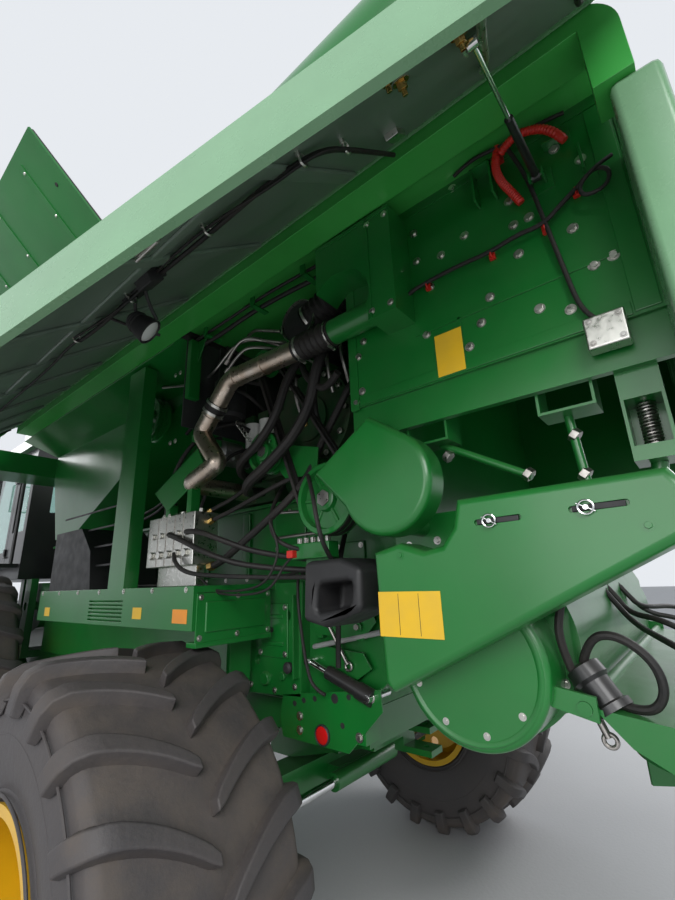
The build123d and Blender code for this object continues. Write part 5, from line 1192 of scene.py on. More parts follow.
class HARVESTER_OT_panel_wiring(bpy.types.Operator):
    """Work lamp, harness and bracket bar under the raised left panel"""

    bl_idname = "harvester.panel_wiring"
    bl_label = "Panel lamp and harness"

    def execute(self, context):
        sizes = context.scene.harvester_sizes
        run = (
            (1.482, 0.596), (1.6, 0.574), (1.868, 0.538), (2.1, 0.553), (2.379, 0.555), (2.614, 0.508),
            (2.74, 0.492), (2.8, 0.455), (2.812, 0.36), (2.822, 0.2), (2.828, 0.055))
        cables = [
            hose([on_panel(y, down, 0.028 + 0.012 * sin(9 * y)) for y, down in run], sizes.cable * 1.3, 8),
            hose(
                [on_panel(y, down + 0.016, 0.024 + 0.01 * cos(7 * y)) for y, down in run], sizes.cable * 0.8,
                8),
            hose([
                on_panel(*row)
                for row in ((1.7, 0.56, 0.03), (1.75, 0.548, 0.08), (1.79, 0.5, 0.14), (1.8, 0.46, 0.17))],
                sizes.cable, 8),
            hose([
                on_panel(*row)
                for row in (
                    (1.482, 0.596, 0.03), (1.4, 0.612, 0.03), (1.1, 0.57, 0.03), (0.2, 0.58, 0.028),
                    (-0.9, 0.56, 0.02))], sizes.cable, 8)]
        finish("panel_harness", cables, "hose", "panel_left")
        clips = []
        for y, down in run[:-1:2]:
            clips += [ring(on_panel(y, down + 0.005, 0.026), REARWARD, 0.016, 0.0035, 20, 8),
                      nut(on_panel(y, down + 0.02, 0.0), on_panel(y, down + 0.02, 0.016), 0.007)]
        finish("panel_harness_clips", clips, "zinc", "panel_left")
        box = [panel_plate(((2.0, 0.55), (2.0, 0.61), (2.09, 0.61), (2.09, 0.55)), 0.0, 0.05, 0.006),
               rod(on_panel(2.02, 0.55, 0.025), on_panel(2.02, 0.52, 0.025), 0.009, bevel=0.002),
               rod(on_panel(2.07, 0.55, 0.025), on_panel(2.07, 0.52, 0.025), 0.009, bevel=0.002)]
        finish("panel_junction_box", box, "plastic", "panel_left")

        back, face = Vector((1.752, 1.78, 2.905)), Vector((1.68, 1.833, 2.836))
        way = (face - back).normalized()
        shell = lathe((
            (0, -0.045), (0.026, -0.043), (0.038, -0.02), (0.052, 0.025), (0.056, 0.052), (0.05, 0.055),
            (0.0475, 0.047), (0, 0.046)), face - way * 0.05, way, 48)
        fins = [
            ring(face - way * reach, way, 0.034 + 0.3 * (0.09 - reach), 0.0035, 36, 8)
            for reach in (0.06, 0.07, 0.08)]
        yoke = [
            hose([
                face + Vector((0.0, -0.052, 0.032)), face + Vector((0.05, -0.06, 0.08)),
                Vector(on_panel(1.84, 0.5, 0.012))], 0.007),
            hose([
                face + Vector((0.0, 0.05, 0.032)), face + Vector((0.05, 0.055, 0.09)),
                Vector(on_panel(1.91, 0.5, 0.012))], 0.007),
            panel_plate(((1.8, 0.46), (1.8, 0.54), (1.95, 0.54), (1.95, 0.46)), 0.0, 0.012, 0.003)]
        finish("panel_lamp_shell", [shell] + fins + yoke, "plastic", "panel_left")
        lens = lathe(
            ((0, 0.056), (0.02, 0.0555), (0.04, 0.052), (0.0478, 0.047), (0, 0.044)), face - way * 0.05, way,
            40)
        finish("panel_lamp_lens", lens, "lens", "panel_left")
        arm = [
            hose([
                on_panel(3.235, 0.47, 0.02), on_panel(3.221, 0.447, 0.03), on_panel(3.185, 0.22, 0.035),
                on_panel(3.16, 0.14, 0.012)], 0.01, 6),
            panel_plate(((2.86, 0.11), (2.86, 0.18), (2.905, 0.18), (2.905, 0.11)), 0.0, 0.022, 0.003),
            panel_plate(((3.19, 0.43), (3.19, 0.5), (3.27, 0.5), (3.27, 0.43)), 0.0, 0.012, 0.003)]
        finish("panel_bracket_bar", arm, "zinc", "panel_left")
        return {"FINISHED"}


# Grain tank covers

LID_HINGE = Vector((1.228, 0, 3.345))
LID_TURN = radians(45.2)


def on_lid(y, out, off=0.0):
    """A place on the raised left cover: along it, from its hinge outwards, off its face to the outside."""
    place = LID_HINGE + Vector((cos(LID_TURN), 0, sin(LID_TURN))) * out + Vector(
        (sin(LID_TURN), 0, -cos(LID_TURN))) * off
    return (place.x, y, place.z)


class HARVESTER_OT_lids(bpy.types.Operator):
    """Seals, rivets and stop buttons of the grain tank's covers"""

    bl_idname = "harvester.lids"
    bl_label = "Tank covers"

    def execute(self, context):
        strip = [
            hose([on_lid(y, out, off) for y, out, off in run], 0.0065, 4)
            for run in (
                ((-1.375, 0.03, -0.012), (-1.235, 1.185, -0.012)),
                ((-1.235, 1.186, -0.012), (1.083, 1.186, -0.012)),
                ((1.083, 1.185, -0.012), (1.225, 0.03, -0.012)))]
        both_sides("lid_seal", strip, "hose", "tank_cover_left")
        places = [
            (y * (1 - 0.1 * out / 1.2), out) for y in (-1.08, -0.56, -0.075, 0.41, 0.93)
            for out in (0.1, 0.35, 0.6, 0.85, 1.1)]
        heads = [rod(on_lid(y, out, 0.01), on_lid(y, out, 0.0155), 0.01, 0.007, 12) for y, out in places]
        both_sides("lid_rivets", heads, "zinc", "tank_cover_left")
        buttons = [
            rod(on_lid(y, out, 0.004), on_lid(y, out, 0.009), 0.013, 0.01, 16) for y in (-1.15, 1.02)
            for out in (0.22, 0.58, 0.94)]
        both_sides("lid_buttons", buttons, "hose", "tank_cover_left")
        return {"FINISHED"}


# Belt drive on the engine's left

# name, y, z, radius, shaft radius, shaft root
PULLEYS = (
    ("engine", 1.778, 2.97, 0.062, 0.026, 0.6653),
    ("idler", 1.795, 2.475, 0.102, 0.03, 0.8963),
    ("countershaft", 0.62, 2.96, 0.15, 0.05, 0.9403),
    ("beater", 2.185, 2.19, 0.15, 0.035, 0.6903),
)
PULLEY_IN, PULLEY_OUT = 0.97, 1.06
GROOVES = ((0.988, 1.014), (1.024, 1.05))
BELT_THICK, BELT_TAPER = 0.013, 0.004


def bent(points, bend=0.05):
    """Adds places before and after each corner, so that a hose keeps its straight runs."""
    points = [Vector(point) for point in points]
    path = [points[0]]
    for before, corner, after in zip(points, points[1:], points[2:]):
        path += [
            corner + (before - corner).normalized() * bend, corner, corner
            + (after - corner).normalized() * bend]
    return path + [points[-1]]


def clamp(place, way, radius):
    """A worm-drive hose clamp with its screw."""
    way = Vector(way).normalized()
    band = lathe(
        ((radius, -0.007), (radius + 0.0022, -0.007), (radius + 0.0022, 0.007), (radius, 0.007)), place, way,
        40)
    side = way.cross(LEFTWARD) if abs(way.x) < 0.8 else way.cross(UPWARD)
    side.normalize()
    at = Vector(place) + side * (radius + 0.007)
    cross = way.cross(side)
    screw = rod(at - cross * 0.018, at + cross * 0.018, 0.006, sides=12, bevel=0.001)
    head = nut(at + cross * 0.018, at + cross * 0.027, 0.008)
    return [band, screw, head]


def belt_loop(first, second, low, high):
    """A V-belt round two pulleys: a torus whose sections are laid along the loop."""
    (y1, z1, r1), (y2, z2, r2) = first, second
    reach = sqrt((y2 - y1) ** 2 + (z2 - z1) ** 2)
    base = atan2(z2 - z1, y2 - y1)
    open_half = pi / 2 - asin((r1 - r2) / reach)
    places = []
    for k in range(25):
        turn = base + open_half + (2 * pi - 2 * open_half) * k / 24
        places.append((y1, z1, r1, turn))
    for k in range(25):
        turn = base - open_half + 2 * open_half * k / 24
        places.append((y2, z2, r2, turn))
    deselect()
    bpy.ops.mesh.primitive_torus_add(major_segments=len(places), minor_segments=4)
    piece = bpy.context.object
    low_root, high_root = low + BELT_TAPER, high - BELT_TAPER
    section = ((high, 0.0), (low, 0.0), (low_root, -BELT_THICK), (high_root, -BELT_THICK))
    for index, vertex in enumerate(piece.data.vertices):
        y, z, radius, turn = places[index // 4]
        x, deep = section[index % 4]
        vertex.co = (x, y + (radius + deep) * cos(turn), z + (radius + deep) * sin(turn))
    choose(piece)
    bpy.ops.object.mode_set(mode="EDIT")
    face_outwards()
    return round_edges(piece, 0.001, 1)


class HARVESTER_OT_belt_drive(bpy.types.Operator):
    """Grooved pulleys, belts and the idler on its sprung arm"""

    bl_idname = "harvester.belt_drive"
    bl_label = "Belt drive"

    def execute(self, context):
        wheels, shafts, nuts = [], [], []
        for _, y, z, radius, shaft, root in PULLEYS:
            floor = radius - 0.016
            section = [(0, PULLEY_IN), (radius - 0.006, PULLEY_IN), (radius, PULLEY_IN + 0.003)]
            for low, high in GROOVES:
                section += [(radius, low), (floor, low + 0.005), (floor, high - 0.005), (radius, high)]
            section += [
                (radius, PULLEY_OUT - 0.003), (radius - 0.004, PULLEY_OUT), (floor - 0.006, PULLEY_OUT)]
            dish = PULLEY_OUT - 0.026
            section += [
                (floor - 0.013, dish), (shaft + 0.022, dish + 0.004), (shaft + 0.014, PULLEY_OUT - 0.004),
                (shaft + 0.004, PULLEY_OUT), (0, PULLEY_OUT)]
            wheels.append(lathe(section, (0, y, z), LEFTWARD, 72))
            if radius > 0.09:
                for k in range(6):
                    turn = pi * k / 3
                    at = (radius + shaft) / 2
                    wheels.append(rod(
                        (dish, y + 0.3 * at * cos(turn), z + 0.3 * at * sin(turn)),
                        (dish + 0.002, y + 1.3 * at * cos(turn), z + 1.3 * at * sin(turn)), 0.011, 0.007, 12))
            shafts.append(rod((root, y, z), (PULLEY_OUT + 0.003, y, z), shaft * 0.7, sides=28, bevel=0.002))
            nuts += [nut((PULLEY_OUT, y, z), (PULLEY_OUT + 0.0055, y, z), shaft)]
        finish("pulley_wheels", wheels, "green", "chassis", "engine_casting")
        finish("pulley_shafts", shafts + nuts, "steel")
        rows = {name: (y, z, radius) for name, y, z, radius, _, _ in PULLEYS}
        loops = [
            belt_loop(
                (*rows["engine"][:2], rows["engine"][2] + 0.002),
                (*rows["beater"][:2], rows["beater"][2] + 0.002), low, high) for low, high in GROOVES]
        finish("drive_belts", loops, "belt")
        arm_x = 0.944
        arm = [
            plate(
                [(1.795 + 0.046 * cos(t), 2.475 + 0.046 * sin(t)) for t in (-1.5, -0.9, -0.3, 0.3, 0.9, 1.5)]
                + [(1.549 + 0.038 * cos(t), 2.498 + 0.038 * sin(t)) for t in (1.7, 2.3, 2.9, 3.5, 4.1, 4.6)],
                arm_x, arm_x + 0.018, "X", 0.004),
            rod((0.8003, 1.549, 2.498), (arm_x + 0.03, 1.549, 2.498), 0.024, bevel=0.003),
            nut((arm_x + 0.02, 1.549, 2.498), (arm_x + 0.036, 1.549, 2.498), 0.019)]
        finish("idler_arm", arm, "black")
        coil = [(
            arm_x - 0.012 + 0.016 * cos(k * 0.8), 1.62 - 0.0029 * k, 2.53 + 0.016 * sin(k * 0.8) + 0.0034 * k)
            for k in range(64)]
        spring = [
            hose(coil, 0.0026, 4, sides=2),
            rod((arm_x - 0.012, 1.63, 2.52), (arm_x + 0.006, 1.64, 2.49), 0.004),
            rod((0.8, 1.435, 2.752), (arm_x, 1.435, 2.752), 0.01, bevel=0.001)]
        finish("idler_spring", spring, "zinc")
        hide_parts("drive_pulleys")
        return {"FINISHED"}


class HARVESTER_OT_air_pipes(bpy.types.Operator):
    """Charge-air pipe with its ribbed sleeve, intake hose and exhaust"""

    bl_idname = "harvester.air_pipes"
    bl_label = "Air pipes"

    def execute(self, context):
        x = 1.16
        way = REARWARD
        path = (
            (x, 2.16, 2.85), (x, 1.665, 2.868), (x, 1.425, 2.63), (x, 1.59, 2.44), (x, 1.35, 2.37),
            (0.735, 1.35, 2.37))
        silver = [hose(bent(path, 0.088), 0.048, 10, sides=6)]
        silver += [
            ring((x, y, z), (0, 0.995, -0.05), 0.0485, 0.0035, 40, 8)
            for y, z in ((1.93, 2.858), (1.72, 2.866))]
        silver.append(ring((x, 1.505, 2.71), (0, 0.7, 0.71), 0.0485, 0.0035, 40, 8))
        finish("charge_pipe", silver, "pipe")
        sleeve = [
            hose(
                [(x, 2.345, 2.85), (x, 2.25, 2.85), (x, 2.15, 2.85)], 0.0525, ribs=0.0075, pitch=0.026,
                sides=7),
            *(
                lathe(((0.049, -0.02), (0.0545, -0.02), (0.0545, 0.02), (0.049, 0.02)), (x, y, 2.85), way, 48)
                for y in (2.335, 2.162)),
            lathe(
                ((0.048, -0.03), (0.0545, -0.03), (0.0545, 0.03), (0.048, 0.03)), (x, 1.54, 2.744),
                (0, 0.71, 0.7), 48)]
        finish("charge_sleeve", sleeve, "hose")
        bands = []
        for place, axis, radius in (
                ((x, 2.335, 2.85), way, 0.0548), ((x, 2.165, 2.85), way, 0.0548),
                ((x, 1.556, 2.76), (0, 0.71, 0.7), 0.0548), ((x, 1.524, 2.728), (0, 0.71, 0.7), 0.0548),
                ((1.0697, 2.06, 3.08), LEFTWARD, 0.1062), ((1.01, 2.315, 3.165), (0, 0.95, 0.32), 0.0815),
                ((1.01, 2.1, 3.093), (0, 0.95, 0.32), 0.0815)):
            bands += clamp(place, axis, radius)
        finish("pipe_clamps", bands, "zinc")
        stub = lathe((
            (0.045, -0.005), (0.052, 0), (0.052, 0.21), (0.062, 0.216), (0.062, 0.2305), (0.0, 0.2305),
            (0.0, 0.19), (0.045, 0.18)), (x, 2.349, 2.85), way, 48)
        finish("charge_stub", stub, "green")
        elbow = lathe((
            (0, 0), (0.098, 0), (0.105, 0.008), (0.105, 0.33), (0.112, 0.34), (0.112, 0.352), (0.105, 0.362),
            (0.105, 0.398), (0.09, 0.404), (0, 0.404)), (0.6655, 2.06, 3.08), LEFTWARD, 64)
        finish("intake_elbow", elbow, "plastic")
        intake = hose(
            [(1.01, 2.085, 3.088), (1.01, 2.215, 3.132), (1.01, 2.345, 3.175)], 0.0755, ribs=0.008,
            pitch=0.03, sides=7)
        finish("intake_hose", intake, "hose")
        can = lathe((
            (0, 0.0), (0.07, 0.0), (0.07, 0.06), (0.112, 0.09), (0.12, 0.11), (0.12, 0.36), (0.1, 0.385),
            (0.073, 0.39), (0.0755, 0.42), (0.0755, 0.76), (0.073, 0.7795), (0.066, 0.7795), (0.064, 0.7),
            (0, 0.7)), (-0.2, 1.64, 3.1205), UPWARD, 64)
        finish("exhaust_stack", can, "rust")
        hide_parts("engine_pipes")
        return {"FINISHED"}


CYLINDERS = (-0.54, -0.325, -0.11, 0.105, 0.32, 0.535)
# Hoses and lines: their points and radius
ENGINE_LINES = (
    ((
        (1.05, 0.766, 3.148), (1.05, 1.0, 3.085), (1.05, 1.183, 3.039), (1.05, 1.33, 3.05),
        (1.05, 1.429, 3.105), (1.03, 1.53, 3.19), (0.95, 1.616, 3.215), (0.85, 1.75, 3.15),
        (0.75, 1.871, 3.045)), 0.0085),
    ((
        (0.93, 1.89, 2.92), (1.0, 1.93, 2.9), (1.01, 1.985, 2.833), (1.0, 1.965, 2.74), (0.93, 1.944, 2.642),
        (0.89, 1.94, 2.62)), 0.009), (((0.92, 1.743, 2.194), (0.9, 1.95, 2.18), (0.9, 2.142, 2.166)), 0.008),
    (((0.92, 1.744, 2.068), (0.9, 1.95, 2.075), (0.9, 2.192, 2.076)), 0.008))
# points, radius
ENGINE_HOSES = (
    ((
        (0.905, 2.085, 2.9), (1.0, 2.09, 2.86), (1.01, 2.095, 2.7), (0.985, 2.093, 2.56), (0.905, 2.08, 2.5)),
        0.014),
    ((
        (0.81, 2.29, 2.8), (0.95, 2.29, 2.747), (0.95, 2.2, 2.62), (0.955, 2.082, 2.465), (1.0, 2.052, 2.315),
        (1.05, 1.95, 2.2), (1.06, 1.828, 2.129), (1.08, 1.66, 2.03), (1.08, 1.516, 1.956),
        (1.08, 1.445, 1.95)), 0.017),
    ((
        (0.84, 2.02, 2.36), (0.98, 1.98, 2.345), (1.02, 1.8, 2.29), (1.05, 1.567, 2.215), (1.08, 1.49, 2.19),
        (1.09, 1.442, 2.17)), 0.0114),
    ((
        (0.84, 1.84, 2.46), (0.95, 1.739, 2.419), (0.98, 1.62, 2.35), (1.0, 1.498, 2.289), (1.05, 1.43, 2.25),
        (1.08, 1.4, 2.223)), 0.0114),
    (
        ((0.83, 1.52, 2.6), (0.95, 1.46, 2.58), (1.02, 1.4, 2.48), (1.06, 1.34, 2.34), (1.08, 1.32, 2.222)),
        0.0095), (((0.9, 1.3, 2.6), (1.0, 1.28, 2.52), (1.06, 1.24, 2.38), (1.09, 1.22, 2.222)), 0.0095),
    ((
        (0.86, 1.59, 2.8), (0.98, 1.6, 2.85), (1.0, 1.5, 2.92), (0.98, 1.3, 2.95), (0.95, 1.1, 2.9),
        (0.95, 0.93, 2.8)), 0.012),
    ((
        (0.9, 2.2, 2.95), (1.05, 2.22, 2.92), (1.08, 2.18, 2.78), (1.06, 2.12, 2.62), (1.08, 2.02, 2.48),
        (1.1, 1.88, 2.38), (1.09, 1.72, 2.32), (0.98, 1.6, 2.3), (0.84, 1.55, 2.34)), 0.026),
    ((
        (0.9, 2.1, 3.0), (1.02, 2.06, 2.94), (1.07, 1.98, 2.8), (1.08, 1.92, 2.62), (1.09, 1.8, 2.5),
        (1.08, 1.64, 2.44), (0.95, 1.52, 2.4), (0.82, 1.5, 2.42)), 0.022),
    (((1.08, 1.0, 2.2), (1.1, 1.02, 2.34), (1.06, 1.12, 2.52), (1.02, 1.22, 2.66), (0.92, 1.27, 2.7)), 0.014),
    (((1.12, 1.06, 2.22), (1.14, 1.1, 2.4), (1.12, 1.22, 2.6), (1.02, 1.34, 2.74), (0.9, 1.42, 2.76)), 0.012),
    (
        ((1.185, 1.38, 2.12), (1.2, 1.48, 2.12), (1.14, 1.62, 2.06), (1.02, 1.76, 1.99), (0.9, 1.95, 1.96)),
        0.013),
    (
        ((1.185, 1.22, 2.12), (1.215, 1.36, 2.09), (1.18, 1.56, 2.0), (1.06, 1.74, 1.93), (0.92, 1.98, 1.91)),
        0.013),
    (((1.06, 2.1, 2.3), (1.1, 2.16, 2.22), (1.11, 2.19, 2.1), (1.08, 2.2, 1.98), (0.98, 2.19, 1.9)), 0.0095),
    (((0.92, 1.8, 2.32), (1.04, 1.84, 2.2), (1.09, 1.9, 2.06), (1.05, 1.98, 2.0), (0.98, 2.02, 1.99)), 0.0095)
)
# start, end, radius
HOSE_FITTINGS = (
    ((1.08, 1.475, 1.953), (1.08, 1.438, 1.95), 0.023), ((1.088, 1.468, 2.18), (1.092, 1.438, 2.168), 0.017),
    ((1.065, 1.41, 2.238), (1.085, 1.398, 2.215), 0.017), ((1.073, 1.325, 2.25), (1.08, 1.32, 2.215), 0.015),
    ((1.085, 1.225, 2.25), (1.09, 1.22, 2.215), 0.015), ((0.86, 1.93, 2.62), (0.91, 1.941, 2.62), 0.016))
# places along and up
ENGINE_WIRES = (
    (
        (1.32, 1.872), (1.38, 1.9), (1.423, 1.896), (1.5, 1.85), (1.568, 1.823), (1.74, 1.812), (1.89, 1.827),
        (1.95, 1.88), (1.984, 1.933), (2.041, 1.968)),
    (
        (1.3, 1.868), (1.42, 1.865), (1.55, 1.835), (1.72, 1.83), (1.86, 1.85), (1.93, 1.92), (1.96, 2.02),
        (1.9, 2.12)), ((0.6, 1.872), (0.8, 1.874), (1.0, 1.868), (1.15, 1.874), (1.3, 1.868)))


class HARVESTER_OT_engine_bay(bpy.types.Operator):
    """Bolts, injection lines, hoses, wires, guard and filters about the engine"""

    bl_idname = "harvester.engine_bay"
    bl_label = "Engine bay"

    def execute(self, context):
        heads = [(x + dx, y, 3.04) for x in CYLINDERS for dx in (-0.055, 0.055) for y in (1.735, 2.065)]
        tops = bolts(heads, UPWARD, 0.011, 0.009)
        ends = bolts([
            (0.8, y, z)
            for y, z in (
                (1.5, 2.72), (1.52, 2.5), (2.22, 2.66), (2.18, 2.47), (1.7, 2.82), (1.95, 2.83), (2.15, 2.8))
        ], LEFTWARD, 0.012, 0.01)
        wheel = bolts(
            [(0.896, 1.95 + 0.236 * cos(pi * k / 6), 2.65 + 0.236 * sin(pi * k / 6)) for k in range(12)],
            LEFTWARD, 0.01, 0.009)
        finish("engine_bolts", [tops, ends, wheel], "zinc")

        lines = []
        for x in CYLINDERS:
            lines.append(hose([
                (x, 2.235, 2.93), (x + 0.01, 2.26, 3.0), (x, 2.2, 3.075), (x, 2.05, 3.082), (x, 1.98, 3.045)],
                0.0042, 6))
            lines.append(nut((x, 1.98, 3.038), (x, 1.98, 3.062), 0.014))
        lines += hoses(ENGINE_LINES)
        finish("engine_lines", lines, "steel")

        dark = hoses(ENGINE_HOSES)
        finish("engine_hoses", dark, "hose")
        brass = [nut(start, end, radius, 0.0015) for start, end, radius in HOSE_FITTINGS]
        finish("hose_fittings", brass, "brass")
        wires = [hose([(1.1 + 0.02 * sin(5 * y), y, z) for y, z in path], 0.0055, 8) for path in ENGINE_WIRES]
        finish("engine_wires", wires, "hose")
        plug = [
            slab((1.09, 1.322, 1.862), (1.125, 1.362, 1.884), 0.003),
            slab((1.095, 2.03, 1.955), (1.122, 2.065, 1.985), 0.003)]
        finish("wire_plugs", plug, "red_plastic")

        guard = [
            plate(((1.033, 2.367), (1.431, 2.545), (1.527, 2.409), (1.181, 2.247)), 1.178, 1.184, "X", 0.002),
            plate(((1.033, 2.367), (1.431, 2.545), (1.434, 2.538), (1.036, 2.36)), 1.15, 1.184, "X", 0.001),
            slab((1.128, 1.16, 2.218), (1.18, 1.2, 2.28), 0.003),
            slab((1.128, 1.36, 2.218), (1.18, 1.4, 2.4), 0.003)]
        finish("engine_guard", guard, "green")
        shelf = [
            plate(
                ((1.766, 2.465), (1.956, 2.482), (2.11, 2.44), (2.099, 2.316), (1.9, 2.33)), 0.995, 1.001,
                "X", 0.002),
            plate(((1.766, 2.465), (1.956, 2.482), (1.956, 2.474), (1.766, 2.457)), 0.965, 1.001, "X", 0.001),
            rod((0.8, 1.85, 2.44), (1.0, 1.85, 2.42), 0.009), rod((0.8, 2.05, 2.42), (1.0, 2.05, 2.4), 0.009)]
        finish("engine_shelf_plate", shelf, "green")
        block = [
            slab((0.955, 1.952, 1.954), (1.02, 2.173, 2.021), 0.005),
            slab((0.9, 1.99, 1.93), (0.965, 2.13, 1.97), 0.004)]
        finish("small_valve", block, "green")
        spuds = [nut((0.99, y, 2.018), (0.99, y, 2.045), 0.012) for y in (1.98, 2.02, 2.06, 2.1, 2.145)]
        finish("small_valve_fittings", spuds, "zinc")

        cans = []
        for y in (1.47, 1.59):
            section = (
                (0, -0.1), (0.04, -0.1), (0.0475, -0.09), (0.0475, 0.075), (0.05, 0.08), (0.05, 0.092),
                (0, 0.092))
            cans.append(lathe(section, (0.84, y, 2.655), UPWARD, 48))
            cans += [
                rod(
                    (0.84 + 0.0475 * cos(t), y + 0.0475 * sin(t), 2.56),
                    (0.84 + 0.0475 * cos(t), y + 0.0475 * sin(t), 2.6), 0.003, sides=8)
                for t in [2 * pi * k / 16 for k in range(16)]]
        finish("oil_filters", cans, "white_plastic")
        maker = [lathe((
            (0, -0.09), (0.06, -0.09), (0.075, -0.075), (0.075, 0.055), (0.06, 0.075), (0.03, 0.08),
            (0, 0.08)), (0.86, 1.24, 2.62), LEFTWARD, 48)]
        maker += [
            slab((0.78 + 0.024 * k, 1.24 - 0.078, 2.615), (0.786 + 0.024 * k, 1.24 + 0.078, 2.625), 0.001)
            for k in range(6)]
        maker += [
            rod((0.7, 1.24, 2.56), (0.9, 1.36, 2.56), 0.012),
            rod((0.93, 1.24, 2.62), (0.955, 1.24, 2.62), 0.035, 0.03, 32, 0.003)]
        finish("alternator", maker, "aluminium")
        return {"FINISHED"}


class HARVESTER_OT_screen(bpy.types.Operator):
    """Perforated face of the rotary dust screen and the cooling box's grille"""

    bl_idname = "harvester.screen"
    bl_label = "Rotary screen"

    def execute(self, context):
        wires = [
            ring((-1.2305, 1.85, 2.76), LEFTWARD, 0.02 + 0.0205 * k, 0.0022, 72, 6) for k in range(3, 20)]
        for k in range(48):
            t = 2 * pi * k / 48
            wires.append(rod(
                (-1.2305, 1.85 + 0.07 * cos(t), 2.76 + 0.07 * sin(t)),
                (-1.2305, 1.85 + 0.415 * cos(t), 2.76 + 0.415 * sin(t)), 0.0016, sides=6))
        finish("screen_mesh", wires, "steel", "rotary_screen", "dark_steel")
        fins = [
            slab((-1.153, 1.395, 2.36 + 0.043 * k), (-1.149, 2.305, 2.378 + 0.043 * k), 0.001)
            for k in range(19)]
        finish("cooler_ridges", fins, "dark")
        return {"FINISHED"}


# Side shelf, chassis and rear axle

SHELF_SIDE = 1.24


